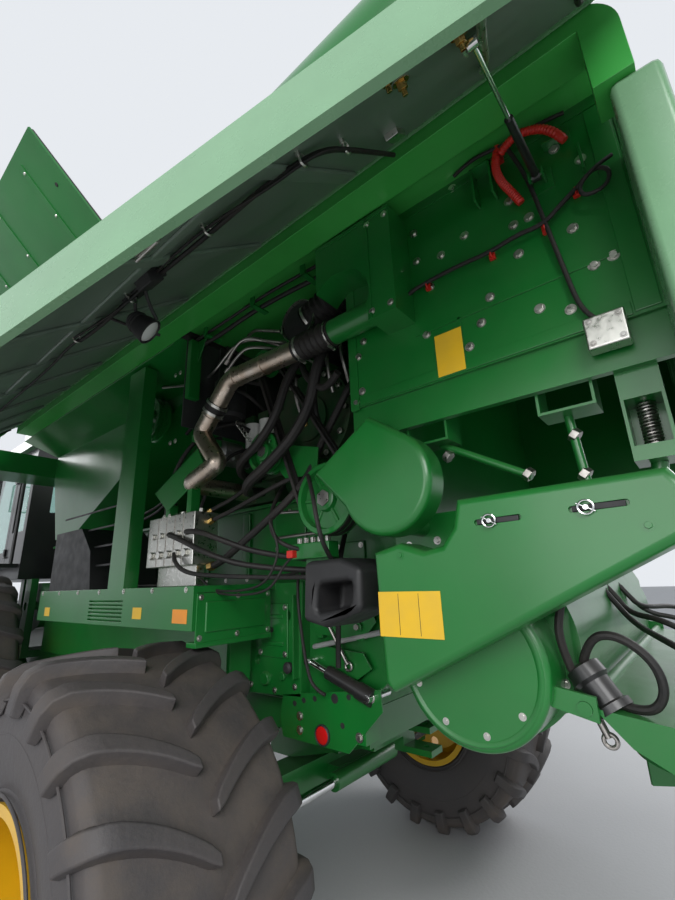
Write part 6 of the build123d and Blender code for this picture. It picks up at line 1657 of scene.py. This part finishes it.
class HARVESTER_OT_shelf(bpy.types.Operator):
    """Valve fittings, cylinder, blank plates and reflector along the left shelf and frame"""

    bl_idname = "harvester.shelf"
    bl_label = "Shelf and chassis"

    def execute(self, context):
        ports = []
        for y in (1.06, 1.14, 1.22, 1.3, 1.38):
            ports += [
                nut((1.11, y, 2.22), (1.11, y, 2.246), 0.02, 0.0015),
                nut((1.18, y, 2.02), (1.196, y, 2.02), 0.021, 0.0015),
                nut((1.18, y, 2.12), (1.192, y, 2.12), 0.016, 0.0015)]
        ports += [lathe(
            ((0, 0), (0.036, 0.002), (0.038, 0.03), (0.028, 0.05), (0.024, 0.16), (0, 0.165)),
            (1.12, -0.13, 1.905), REARWARD, 40)]
        finish("valve_ports", ports, "zinc")
        seams = [slab((1.1795, y, 1.965), (1.1825, y + 0.004, 2.215), 0.001) for y in (1.1, 1.18, 1.26, 1.34)]
        finish("valve_seams", seams, "steel")
        lines = [
            hose(path, 0.0105, 8)
            for path in (
                (
                    (1.11, 1.06, 2.244), (1.11, 1.05, 2.32), (1.06, 0.98, 2.37), (0.98, 0.8, 2.36),
                    (0.9, 0.5, 2.33), (0.86, 0.2, 2.32)),
                (
                    (1.11, 1.14, 2.244), (1.11, 1.13, 2.36), (1.04, 1.02, 2.42), (0.97, 0.8, 2.4),
                    (0.9, 0.5, 2.37), (0.86, 0.2, 2.36)),
                (
                    (1.194, 1.3, 2.02), (1.215, 1.33, 1.98), (1.2, 1.42, 1.92), (1.15, 1.6, 1.9),
                    (1.0, 1.9, 1.88), (0.86, 2.1, 1.88)))]
        finish("valve_hoses", lines, "hose")
        side = SHELF_SIDE
        places = [(side, y, 1.845) for y in (-0.3, 0.0, 0.3, 0.6, 0.9, 1.2, 1.5)]
        places += [(side, y, z) for y in (1.26, 1.31) for z in (2.2, 2.6, 3.0)]
        both_sides("shelf_bolts", bolts(places, LEFTWARD, 0.009, 0.006), "zinc")
        decals = [slab((side, y, z), (side + 0.0015, y + 0.09, z + 0.055), 0.0004)
                  for y, z in ((-0.22, 1.7), (1.02, 1.71))]
        finish("shelf_blank_plates", decals, "label")
        decal = slab((side, 1.4, 1.7), (side + 0.0015, 1.52, 1.76), 0.0004)
        finish("shelf_orange_plate", decal, "orange_label")

        glass_round = lathe(
            ((0, 0.009), (0.03, 0.008), (0.036, 0.004), (0.036, 0), (0, 0)), (0.753, 1.876, 1.207), LEFTWARD,
            40)
        finish("reflector_round", glass_round, "red_glass")
        rim = lathe(
            ((0.036, 0.0), (0.043, 0.0), (0.043, 0.007), (0.0385, 0.011), (0.0365, 0.009)),
            (0.752, 1.876, 1.207), LEFTWARD, 40)
        finish("reflector_rim", rim, "plastic")
        sheet = [
            plate(
                ((1.598, 1.247), (1.62, 1.34), (2.198, 1.422), (2.205, 1.34), (2.02, 1.16), (1.62, 1.16)),
                0.742, 0.75, "X", 0.002), slab((0.64, 1.64, 1.18), (0.745, 1.7, 1.28), 0.003),
            slab((0.64, 2.05, 1.2), (0.745, 2.11, 1.29), 0.003)]
        finish("bracket_sheet", sheet, "green")
        # Thin black discs where the bracket sheet's holes are: painted shade seen through the holes
        holes = [
            rod((0.7495, y, z), (0.7508, y, z), radius, sides=28)
            for y, z, radius in (
                (1.7, 1.31, 0.012), (1.76, 1.33, 0.012), (1.83, 1.345, 0.012), (1.95, 1.36, 0.02),
                (2.03, 1.375, 0.012), (2.1, 1.39, 0.012), (1.99, 1.26, 0.012))]
        finish("bracket_hole_shade_discs", holes, "plastic")
        heads = bolts(
            [(0.75, 1.734, 1.262), (0.75, 1.733, 1.204), (0.75, 2.15, 1.385), (0.75, 2.08, 1.23)], LEFTWARD,
            0.013, 0.01)
        finish("bracket_bolts", heads, "zinc")
        cylinder = [
            rod((0.75, 1.915, 1.464), (0.75, 2.083, 1.409), 0.03, sides=36, bevel=0.003),
            rod((0.75, 2.083, 1.409), (0.75, 2.16, 1.384), 0.036, sides=36, bevel=0.004)]
        finish("bracket_cylinder", cylinder, "black")
        stem = [
            rod((0.75, 1.803, 1.5), (0.75, 1.92, 1.462), 0.014, sides=28),
            rod((0.64, 1.8, 1.501), (0.775, 1.8, 1.501), 0.016, bevel=0.002),
            rod((0.62, 2.15, 1.387), (0.785, 2.15, 1.387), 0.016, bevel=0.002)]
        finish("bracket_stem", stem, "chrome", "chassis", "chromed_rod")
        light = [
            rod((0.72, 1.803, 1.56), (0.72, 2.199, 1.64), 0.012, bevel=0.002),
            rod((0.62, 1.83, 1.565), (0.73, 1.83, 1.565), 0.01)]
        finish("lateral_bar", light, "grey_plastic")
        tank = [slab((1.162, -0.3, z), (1.166, 0.62, z + 0.012), 0.001) for z in (2.0, 2.12, 2.24, 2.36)]
        finish("side_tank_ridges", tank, "plastic")
        return {"FINISHED"}


# Chopper, spreader and rear

# points, radius
SIDE_MOTOR_HOSES = (
    ((
        (0.95, 3.03, 1.62), (0.98, 3.06, 1.69), (0.98, 3.13, 1.7), (0.975, 3.2, 1.64), (0.97, 3.21, 1.56),
        (0.965, 3.16, 1.51), (0.95, 3.09, 1.53)), 0.0115),
    ((
        (0.96, 3.0, 1.6), (0.99, 2.985, 1.68), (0.985, 3.0, 1.76), (0.97, 3.03, 1.83), (0.95, 3.06, 1.9),
        (0.94, 3.05, 2.0)), 0.0115),
    ((
        (0.96, 3.07, 1.5), (0.985, 3.13, 1.44), (0.98, 3.2, 1.42), (0.96, 3.25, 1.47), (0.95, 3.27, 1.56),
        (0.95, 3.26, 1.66)), 0.01))


class HARVESTER_OT_tail(bpy.types.Operator):
    """Spreader motors with their hoses, tubes, rods and lamps at the rear"""

    bl_idname = "harvester.tail"
    bl_label = "Tail"

    def execute(self, context):
        motors, caps, feeds = [], [], []
        for x in (0.43, -0.43):
            motors.append(lathe((
                (0, 0), (0.055, 0), (0.072, 0.01), (0.072, 0.05), (0.06, 0.06), (0.06, 0.13), (0.074, 0.14),
                (0.074, 0.155), (0.05, 0.17), (0, 0.17)), (x, 3.3, 1.455), UPWARD, 48))
            caps += [
                rod(
                    (x + 0.05 * cos(t), 3.3 + 0.05 * sin(t), 1.61),
                    (x + 0.05 * cos(t), 3.3 + 0.05 * sin(t), 1.636), 0.009, sides=6)
                for t in (0.4, 1.97, 3.54, 5.11)]
            caps += [nut((x + way * 0.06, 3.3, 1.56), (x + way * 0.1, 3.3, 1.56), 0.017) for way in (-1, 1)]
            feeds.append(hose([
                (x + 0.1, 3.3, 1.56), (x + 0.15, 3.29, 1.58), (x + 0.16, 3.2, 1.64), (x * 0.6, 3.08, 1.66),
                (x * 0.5, 3.02, 1.74), (x * 0.5, 2.99, 1.79)], 0.011, 8))
            feeds.append(hose([
                (x - 0.1, 3.3, 1.56), (x - 0.16, 3.29, 1.6), (x - 0.13, 3.18, 1.68), (x * 0.4, 3.06, 1.69),
                (x * 0.35, 3.02, 1.76), (x * 0.35, 2.99, 1.8)], 0.011, 8))
        finish("spreader_motors", motors, "black", "tailboard")
        finish("spreader_motor_fittings", caps, "zinc", "tailboard")
        finish("spreader_motor_hoses", feeds, "hose", "tailboard")

        drum = lathe((
            (0, -0.05), (0.03, -0.05), (0.048, -0.042), (0.05, -0.01), (0.042, 0.0), (0.042, 0.055),
            (0.052, 0.06), (0.052, 0.078), (0, 0.078)), (0.94, 3.045, 1.57), (0.15, 0.55, -0.82), 48)
        finish("side_motor", [drum, rod((0.9, 3.0, 1.53), (0.95, 3.03, 1.56), 0.02)], "black")
        loops = hoses(SIDE_MOTOR_HOSES, 10)
        finish("side_motor_hoses", loops, "hose")
        tubes = [
            hose(path, 0.0065, 8)
            for path in (
                (
                    (0.95, 2.955, 1.745), (0.97, 2.99, 1.74), (0.97, 3.03, 1.8), (0.95, 3.06, 1.9),
                    (0.94, 3.07, 2.0)),
                (
                    (0.95, 2.965, 1.8), (0.97, 3.0, 1.8), (0.97, 3.04, 1.86), (0.95, 3.08, 1.94),
                    (0.94, 3.09, 2.02)))]
        finish("tail_tubes", tubes, "green")
        rods = [
            rod((0.93, 3.055, 1.436), (0.93, 3.02, 1.53), 0.01, bevel=0.001),
            ring((0.93, 3.058, 1.43), LEFTWARD, 0.016, 0.006, 28, 10)]
        finish("tail_rods", rods, "steel")
        bolts_at = [
            (0.9, y, z)
            for y, z in ((2.48, 1.98), (2.6, 1.99), (2.86, 1.93), (2.95, 1.76), (2.96, 1.55), (2.9, 1.5))]
        finish("chopper_bolts", bolts(bolts_at, LEFTWARD, 0.01, 0.007), "zinc")
        fin = ((3.4, 1.458), (3.93, 1.388), (3.935, 1.3), (3.5, 1.36))
        vanes = [plate(fin, 0.25 * k - 0.003, 0.25 * k + 0.003, "X", 0.001) for k in range(-3, 4)]
        finish("tail_vanes", vanes, "green", "tailboard")
        for name, look, half, y, edge, heights in (
                ("rear_lamp_boxes", "plastic", 0.07, (3.405, 3.425), 0.006, ((2.62, 2.9),)),
                (
                    "rear_lamp_lenses", "red_glass", 0.058, (3.424, 3.436), 0.005,
                    ((2.77, 2.885), (2.7, 2.765))),
                ("rear_turn_lenses", "amber", 0.058, (3.424, 3.436), 0.005, ((2.635, 2.695),))):
            lamps = [slab((x - half, y[0], low), (x + half, y[1], high), edge)
                     for x in (-1.02, 1.02) for low, high in heights]
            finish(name, lamps, look)
        return {"FINISHED"}


class HARVESTER_OT_hood_springs(bpy.types.Operator):
    """Coil spring, clamped rods and knob of the swath linkage under the hood"""

    bl_idname = "harvester.hood_springs"
    bl_label = "Linkage under the hood"

    def execute(self, context):
        coil = [
            (0.99 + 0.022 * cos(k * 0.7), 3.312 + 0.022 * sin(k * 0.7), 2.172 + 0.00105 * k)
            for k in range(120)]
        parts = [hose(coil, 0.0032, 3, sides=2), rod((0.99, 3.312, 2.165), (0.99, 3.312, 2.3), 0.008)]
        for y, z in ((2.72, 2.27), (2.98, 2.158), (3.128, 2.25), (3.134, 2.13)):
            parts.append(nut((0.99, y - 0.008, z + 0.008), (0.99, y + 0.008, z - 0.008), 0.022, 0.002))
        finish("linkage_springs", parts, "steel")
        knob = lathe(
            ((0, 0), (0.016, 0.002), (0.02, 0.015), (0.02, 0.04), (0.014, 0.055), (0, 0.058)),
            (0.99, 3.345, 1.972), (0, 0.87, -0.48), 28)
        finish("linkage_knob", knob, "red_plastic")
        return {"FINISHED"}


# Cab, ladder and front

class HARVESTER_OT_cab_parts(bpy.types.Operator):
    """Lamp lenses, mirrors, wiper and the steering wheel"""

    bl_idname = "harvester.cab_parts"
    bl_label = "Cab parts"

    def execute(self, context):
        lenses = []
        dome = ((0, 0.006), (0.02, 0.005), (0.034, 0.0), (0.036, -0.008), (0, -0.008))
        for y, way, places in ((-4.044, -1, (0.3, 0.44, 0.62, 0.76)), (-2.126, 1, (0.3, 0.76))):
            lenses += [lathe(dome, (side * x, y, 3.508), (0, way, 0), 32) for x in places for side in (-1, 1)]
        finish("roof_lamp_lenses", lenses, "lens")
        faces = [
            slab((side * 1.22 - 0.085, -3.989, 2.955), (side * 1.22 + 0.085, -3.987, 3.3), 0.0008)
            for side in (-1, 1)]
        finish("mirror_glass", faces, "mirror")
        backs = [
            slab((side * 1.22 - 0.098, -4.046, 2.935), (side * 1.22 + 0.098, -3.992, 3.322), 0.02, 4)
            for side in (-1, 1)]
        finish("mirror_shells", backs, "plastic")
        arm = [
            hose([(0.0, -4.005, 2.25), (0.05, -4.012, 2.6), (0.22, -4.008, 2.95)], 0.008),
            rod((0.0, -3.98, 2.22), (0.0, -4.02, 2.22), 0.022, bevel=0.003),
            slab((0.2, -4.012, 2.55), (0.215, -4.0, 3.15), 0.003)]
        finish("wiper", arm, "plastic")
        wheel = [
            ring((0.0, -3.42, 2.86), (0, 0.45, 0.9), 0.19, 0.014, 56, 12),
            rod((0.0, -3.6, 2.6), (0.0, -3.42, 2.85), 0.03, bevel=0.004),
            rod((0.0, -3.428, 2.845), (0.0, -3.417, 2.87), 0.05, bevel=0.006)]
        for t in (0.5, 2.6, 4.7):
            wheel.append(
                rod((0, -3.42, 2.86), (0.185 * cos(t), -3.42 + 0.166 * sin(t), 2.86 - 0.083 * sin(t)), 0.011))
        finish("steering_wheel", wheel, "plastic")
        return {"FINISHED"}


class HARVESTER_OT_steps(bpy.types.Operator):
    """Serrated treads of the ladder"""

    bl_idname = "harvester.steps"
    bl_label = "Steps"

    def execute(self, context):
        low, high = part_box("ladder")
        teeth = []
        for z in (low[2] + 0.02, (low[2] + high[2]) / 2):
            for k in range(10):
                y = low[1] + 0.06 + (high[1] - low[1] - 0.12) * k / 9
                teeth.append(rod((low[0] + 0.05, y, z), (high[0] - 0.05, y, z), 0.005, sides=8))
        finish("ladder_grips", teeth, "steel", "ladder", "black_steel")
        return {"FINISHED"}


# Body sides

BODY_SIDE = 0.69


# points, radius
POST_LOOM = (
    ((
        (0.81, 1.79, 1.9), (0.83, 1.8, 1.8), (0.82, 1.82, 1.62), (0.81, 1.84, 1.48), (0.8, 1.87, 1.4),
        (0.79, 1.93, 1.38)), 0.008),
    (((0.8, 1.8, 1.92), (0.85, 1.86, 1.88), (0.86, 1.98, 1.84), (0.85, 2.08, 1.86), (0.84, 2.16, 1.9)), 0.01),
    ((
        (0.82, 2.1, 2.06), (0.9, 2.13, 1.96), (0.9, 2.12, 1.84), (0.86, 2.08, 1.72), (0.82, 2.04, 1.62),
        (0.8, 2.02, 1.5)), 0.012),
    (((0.8, 1.5, 1.88), (0.8, 1.6, 1.9), (0.8, 1.72, 1.89), (0.8, 1.8, 1.92)), 0.01))


class HARVESTER_OT_body_sides(bpy.types.Operator):
    """Pressed ribs, bolted lids, cables and lever arms on the separator's sides"""

    bl_idname = "harvester.body_sides"
    bl_label = "Body sides"

    def execute(self, context):
        x = BODY_SIDE
        ribs = [
            slab((x - 0.002, y - 0.032, 1.9), (x + 0.016, y + 0.032, 2.27), 0.009, 3)
            for y in (-1.55, -1.15, -0.75, -0.35, 0.05, 0.45, 0.85, 1.25)]
        ribs += [
            slab((x - 0.002, 1.5, 2.02), (x + 0.012, 1.74, 2.26), 0.006),
            slab((x - 0.002, 1.8, 1.9), (x + 0.012, 2.12, 2.04), 0.006),
            slab((x - 0.002, 1.8, 2.08), (x + 0.02, 2.02, 2.25), 0.009, 3),
            slab((x - 0.002, -1.86, 2.28), (x + 0.03, 2.14, 2.3), 0.003)]
        heads = bolts(
            [(x + 0.012, y, z) for y in (1.52, 1.62, 1.72) for z in (2.04, 2.24)]
            + [(x + 0.012, y, z) for y in (1.82, 1.96, 2.1) for z in (1.92, 2.02)]
            + [(x, -1.75 + 0.2 * k, 1.885) for k in range(16)], LEFTWARD, 0.009, 0.006)
        both_sides("body_ribs", ribs, "green")
        both_sides("body_bolts", heads, "zinc")
        plates = [
            slab((0.748, 1.44, 1.5), (0.758, 1.66, 1.76), 0.005, 3),
            rod((0.75, 1.5, 1.4), (0.772, 1.5, 1.4), 0.035, 0.028, 36, 0.004),
            rod((0.75, 1.62, 1.42), (0.764, 1.62, 1.42), 0.022, 0.018, 28, 0.003),
            slab((0.748, 1.47, 1.555), (0.764, 1.63, 1.575), 0.004),
            slab((0.748, 1.47, 1.685), (0.764, 1.63, 1.705), 0.004)]
        plates += [
            slab((0.79, 1.562, 1.62), (1.225, 1.57, 1.828), 0.003),
            slab((0.83, 1.566, 1.66), (1.18, 1.578, 1.79), 0.006, 3),
            slab((0.79, 1.5, 1.6), (1.225, 1.575, 1.622), 0.003),
            slab((0.8, 1.4, 1.36), (0.93, 1.43, 1.6), 0.004)]
        finish("post_plate_pressings", plates, "green")
        knobs = [
            lathe((
                (0, 0), (0.012, 0), (0.012, 0.02), (0.024, 0.026), (0.026, 0.045), (0.016, 0.055),
                (0, 0.056)), (0.757, y, z), LEFTWARD, 28)
            for y, z in ((1.545, 1.63), (1.4, 1.8), (1.7, 1.47))]
        finish("post_plate_knobs", knobs, "plastic")
        ends = bolts([(x, 1.57, z) for x in (0.81, 1.0, 1.205) for z in (1.64, 1.81)], REARWARD, 0.009, 0.006)
        finish("shelf_end_bolts", ends, "zinc")
        screws = bolts(
            [(0.758, y, z) for y in (1.46, 1.64) for z in (1.52, 1.74)]
            + [(0.75, y, z) for y, z in ((1.38, 1.36), (1.56, 1.35), (1.7, 1.38), (1.39, 1.6), (1.395, 1.7))],
            LEFTWARD, 0.01, 0.007)
        finish("post_plate_bolts", screws, "zinc")
        loom = hoses(POST_LOOM)
        finish("post_loom", loom, "hose")
        arms = [
            plate(
                ((1.8, 1.7), (1.84, 1.75), (2.16, 1.73), (2.18, 1.68), (2.1, 1.6), (1.82, 1.62)), 0.72, 0.728,
                "X", 0.002),
            plate(
                ((1.8, 1.5), (1.82, 1.57), (2.1, 1.55), (2.14, 1.49), (2.06, 1.44)), 0.715, 0.723, "X",
                0.002), rod((0.69, 1.9, 1.68), (0.745, 1.9, 1.68), 0.024, bevel=0.003),
            rod((0.69, 2.09, 1.66), (0.745, 2.09, 1.66), 0.02, bevel=0.003),
            slab((0.69, 1.82, 1.6), (0.722, 1.86, 1.75), 0.004),
            slab((0.69, 2.05, 1.46), (0.718, 2.09, 1.55), 0.004)]
        finish("sieve_arms", arms, "green")
        pins = [nut((0.745, y, z), (0.757, y, z), 0.014) for y, z in ((1.9, 1.68), (2.09, 1.66))]
        pins += [
            rod((0.735, 1.9, 1.68), (0.735, 2.02, 1.5), 0.009, bevel=0.001),
            ring((0.735, 2.024, 1.494), LEFTWARD, 0.017, 0.006, 28, 10)]
        finish("sieve_pins", pins, "steel")
        return {"FINISHED"}


# points, radius
UPPER_HOSES = (
    (((1.14, 1.33, 3.2), (1.15, 1.5, 3.18), (1.15, 1.75, 3.2), (1.14, 2.0, 3.21), (1.12, 2.3, 3.2)), 0.012),
    (((1.17, 1.33, 3.225), (1.18, 1.6, 3.215), (1.18, 2.0, 3.23), (1.16, 2.32, 3.225)), 0.008),
    (((1.0, 1.4, 3.22), (0.99, 1.55, 3.1), (1.02, 1.68, 3.02), (1.05, 1.85, 3.0), (1.02, 1.98, 2.95)), 0.012),
    (((0.9, 1.32, 3.1), (0.95, 1.42, 3.02), (0.97, 1.55, 2.96), (0.92, 1.66, 2.92)), 0.014),
    (
        ((1.1, 2.32, 2.7), (1.06, 2.22, 2.66), (1.07, 2.14, 2.72), (1.04, 2.05, 2.84), (0.98, 1.98, 2.96)),
        0.016), (((0.82, 1.3, 2.95), (0.92, 1.36, 2.84), (0.94, 1.42, 2.74), (0.88, 1.48, 2.7)), 0.016))
# points
UPPER_LINES = (
    ((1.08, 1.52, 3.06), (1.09, 1.6, 3.12), (1.09, 1.7, 3.13), (1.06, 1.8, 3.08), (1.0, 1.88, 3.06)),
    ((1.06, 1.5, 3.02), (1.08, 1.62, 3.07), (1.08, 1.74, 3.07), (1.02, 1.86, 3.02)),
    ((1.02, 1.62, 3.2), (1.05, 1.7, 3.19), (1.06, 1.78, 3.15), (1.02, 1.88, 3.12)),
    ((0.92, 2.2, 3.05), (0.98, 2.24, 2.98), (1.0, 2.26, 2.86), (0.96, 2.26, 2.76), (0.9, 2.24, 2.7)),
    ((0.93, 2.14, 3.02), (0.99, 2.17, 2.92), (0.99, 2.17, 2.8), (0.93, 2.15, 2.72)),
)


class HARVESTER_OT_upper_fittings(bpy.types.Operator):
    """Tubes, brackets and looms between the tank, the rail and the engine"""

    bl_idname = "harvester.upper_fittings"
    bl_label = "Upper fittings"

    def execute(self, context):
        seal = slab((-1.215, 1.222, 3.255), (1.215, 1.3, 3.291), 0.006)
        finish("tank_rear_seal", seal, "hose")
        # Dark grey sheet and ribs across the back of the engine bay: painted shade there
        wall = [slab((-1.2, 1.285, 2.7), (1.2, 1.293, 3.29), 0.002)]
        wall += [
            slab((x - 0.03, 1.286, 2.74), (x + 0.03, 1.305, 3.27), 0.006)
            for x in (-0.95, -0.55, -0.15, 0.25, 0.65, 0.95)]
        finish("engine_bay_shade_wall", wall, "dark")
        arcs = hoses(UPPER_HOSES)
        finish("upper_hoses", arcs, "hose")
        silver = [hose(path, 0.009, 8) for path in UPPER_LINES]
        silver += [
            nut(start, end, 0.015)
            for start, end in (
                ((1.08, 1.5, 3.045), (1.08, 1.525, 3.065)), ((1.06, 1.48, 3.005), (1.062, 1.505, 3.025)),
                ((0.985, 1.89, 3.06), (1.01, 1.87, 3.065)), ((0.9, 2.235, 2.69), (0.912, 2.245, 2.715)))]
        finish("upper_lines", silver, "steel")
        hangers = [slab((1.1, y, 3.19), (1.2, y + 0.03, 3.2), 0.002) for y in (1.45, 1.85, 2.2)]
        hangers += [slab((1.19, y, 3.19), (1.2, y + 0.03, 3.24), 0.002) for y in (1.45, 1.85, 2.2)]
        hangers += [
            slab((1.13, 1.3, 2.86), (1.2, 1.34, 3.22), 0.004),
            slab((0.96, 1.3, 2.62), (1.14, 1.33, 2.66), 0.004),
            plate(((1.3, 3.22), (1.42, 3.22), (1.3, 3.02)), 1.15, 1.156, "X", 0.002)]
        finish("upper_hangers", hangers, "green")
        reservoir = [lathe((
            (0, -0.12), (0.075, -0.12), (0.09, -0.1), (0.09, 0.1), (0.075, 0.12), (0.03, 0.125), (0.03, 0.15),
            (0.04, 0.152), (0.04, 0.17), (0, 0.172)), (0.98, 1.42, 2.88), UPWARD, 48)]
        finish("coolant_bottle", reservoir, "plastic")
        return {"FINISHED"}


class HARVESTER_OT_auger_parts(bpy.types.Operator):
    """Flange bolts and boot lip of the unloading auger, folded back along the left rail"""

    bl_idname = "harvester.auger_parts"
    bl_label = "Auger parts"

    def execute(self, context):
        low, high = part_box("unloading_auger")
        x, z, front = 1.535, 3.395, -1.4953
        circle = [(x + 0.176 * cos(pi * k / 6), z + 0.176 * sin(pi * k / 6)) for k in range(12)]
        heads = [nut((px, front - 0.01, pz), (px, front, pz), 0.01) for px, pz in circle]
        heads += [nut((px, front + 0.0285, pz), (px, front + 0.04, pz), 0.01) for px, pz in circle]
        finish("auger_flange_bolts", heads, "zinc", "auger")
        lip = [slab(
            (low[0] + 0.02, high[1] - 0.012, low[2] + 0.03), (high[0] - 0.02, high[1] - 0.002, low[2] + 0.05),
            0.003)]
        finish("auger_boot_lip", lip, "hose", "auger")
        return {"FINISHED"}


CUSHION_CROWN = 0.12


def cushion(size, place):
    """A crowned pad whose sides pull in, with two sewn channels."""
    deselect()
    bpy.ops.mesh.primitive_cube_add(size=1)
    piece = bpy.context.object
    edit_all()
    bpy.ops.mesh.subdivide(number_cuts=15)
    bpy.ops.object.mode_set(mode="OBJECT")
    for vertex in piece.data.vertices:
        a, b, c = (2 * value for value in vertex.co)
        round_out = (1 - a ** 4) * (1 - b ** 4)
        lift = (0.55 + 0.45 * round_out) * (1 + CUSHION_CROWN * round_out)
        groove = 0.08 * max(0.0, 1 - abs(abs(a) - 0.55) / 0.07) if c > 0.9 else 0.0
        vertex.co = (
            size[0] / 2 * a * (1 - 0.06 * b * b), size[1] / 2 * b * (1 - 0.06 * a * a),
            size[2] / 2 * c * lift - groove * size[2])
    modify(piece, "SUBSURF", levels=1, render_levels=1)
    piece.data.transform(place)
    return piece


class HARVESTER_OT_seat(bpy.types.Operator):
    """Seat cushion and back rest with sewn channels"""

    bl_idname = "harvester.seat"
    bl_label = "Seat"

    def execute(self, context):
        seat = Matrix.Translation((0.0, -2.9, 2.475))
        back = Matrix.Translation((0.0, -2.73, 2.84)) @ Matrix.Rotation(radians(90), 4, "X")
        for name, size, place in (
                ("seat_cushion", (0.5, 0.44, 0.14), seat), ("seat_back", (0.5, 0.6, 0.11), back)):
            made = finish(name, cushion(size, place), "seat", smooth=60)
        return {"FINISHED"}


OPERATORS = (
    HARVESTER_OT_stage,
    HARVESTER_OT_frame,
    HARVESTER_OT_tyres,
    HARVESTER_OT_wheels,
    HARVESTER_OT_hood_wall,
    HARVESTER_OT_hood_cables,
    HARVESTER_OT_covers,
    HARVESTER_OT_panels,
    HARVESTER_OT_panel_wiring,
    HARVESTER_OT_lids,
    HARVESTER_OT_belt_drive,
    HARVESTER_OT_air_pipes,
    HARVESTER_OT_engine_bay,
    HARVESTER_OT_screen,
    HARVESTER_OT_shelf,
    HARVESTER_OT_tail,
    HARVESTER_OT_hood_springs,
    HARVESTER_OT_cab_parts,
    HARVESTER_OT_steps,
    HARVESTER_OT_body_sides,
    HARVESTER_OT_upper_fittings,
    HARVESTER_OT_auger_parts,
    HARVESTER_OT_seat,
)


class HARVESTER_PT_panel(bpy.types.Panel):
    """Sizes, colours and pieces of the harvester"""

    bl_label = "Combine harvester"
    bl_idname = "HARVESTER_PT_panel"
    bl_space_type = "VIEW_3D"
    bl_region_type = "UI"
    bl_category = "Harvester"

    def draw(self, context):
        for group in ("harvester_paint", "harvester_sizes", "harvester_stage"):
            settings = getattr(context.scene, group)
            box = self.layout.box()
            for key in settings.__annotations__:
                box.prop(settings, key)
        for operator in OPERATORS:
            self.layout.operator(operator.bl_idname)


GROUPS = (
    ("harvester_paint", HarvesterPaint),
    ("harvester_sizes", HarvesterSizes),
    ("harvester_stage", HarvesterStage),
)


def register():
    for key, group in GROUPS:
        bpy.utils.register_class(group)
        setattr(bpy.types.Scene, key, bpy.props.PointerProperty(type=group))
    for operator in OPERATORS:
        bpy.utils.register_class(operator)
    bpy.utils.register_class(HARVESTER_PT_panel)


def unregister():
    bpy.utils.unregister_class(HARVESTER_PT_panel)
    for operator in reversed(OPERATORS):
        bpy.utils.unregister_class(operator)
    for key, group in reversed(GROUPS):
        delattr(bpy.types.Scene, key)
        bpy.utils.unregister_class(group)


def main():
    """Makes every piece in order."""
    register()
    FINISHES.update(make_materials())
    for operator in OPERATORS:
        group, name = operator.bl_idname.split(".")
        getattr(getattr(bpy.ops, group), name)()
    deselect()


if __name__ == "__main__":
    main()
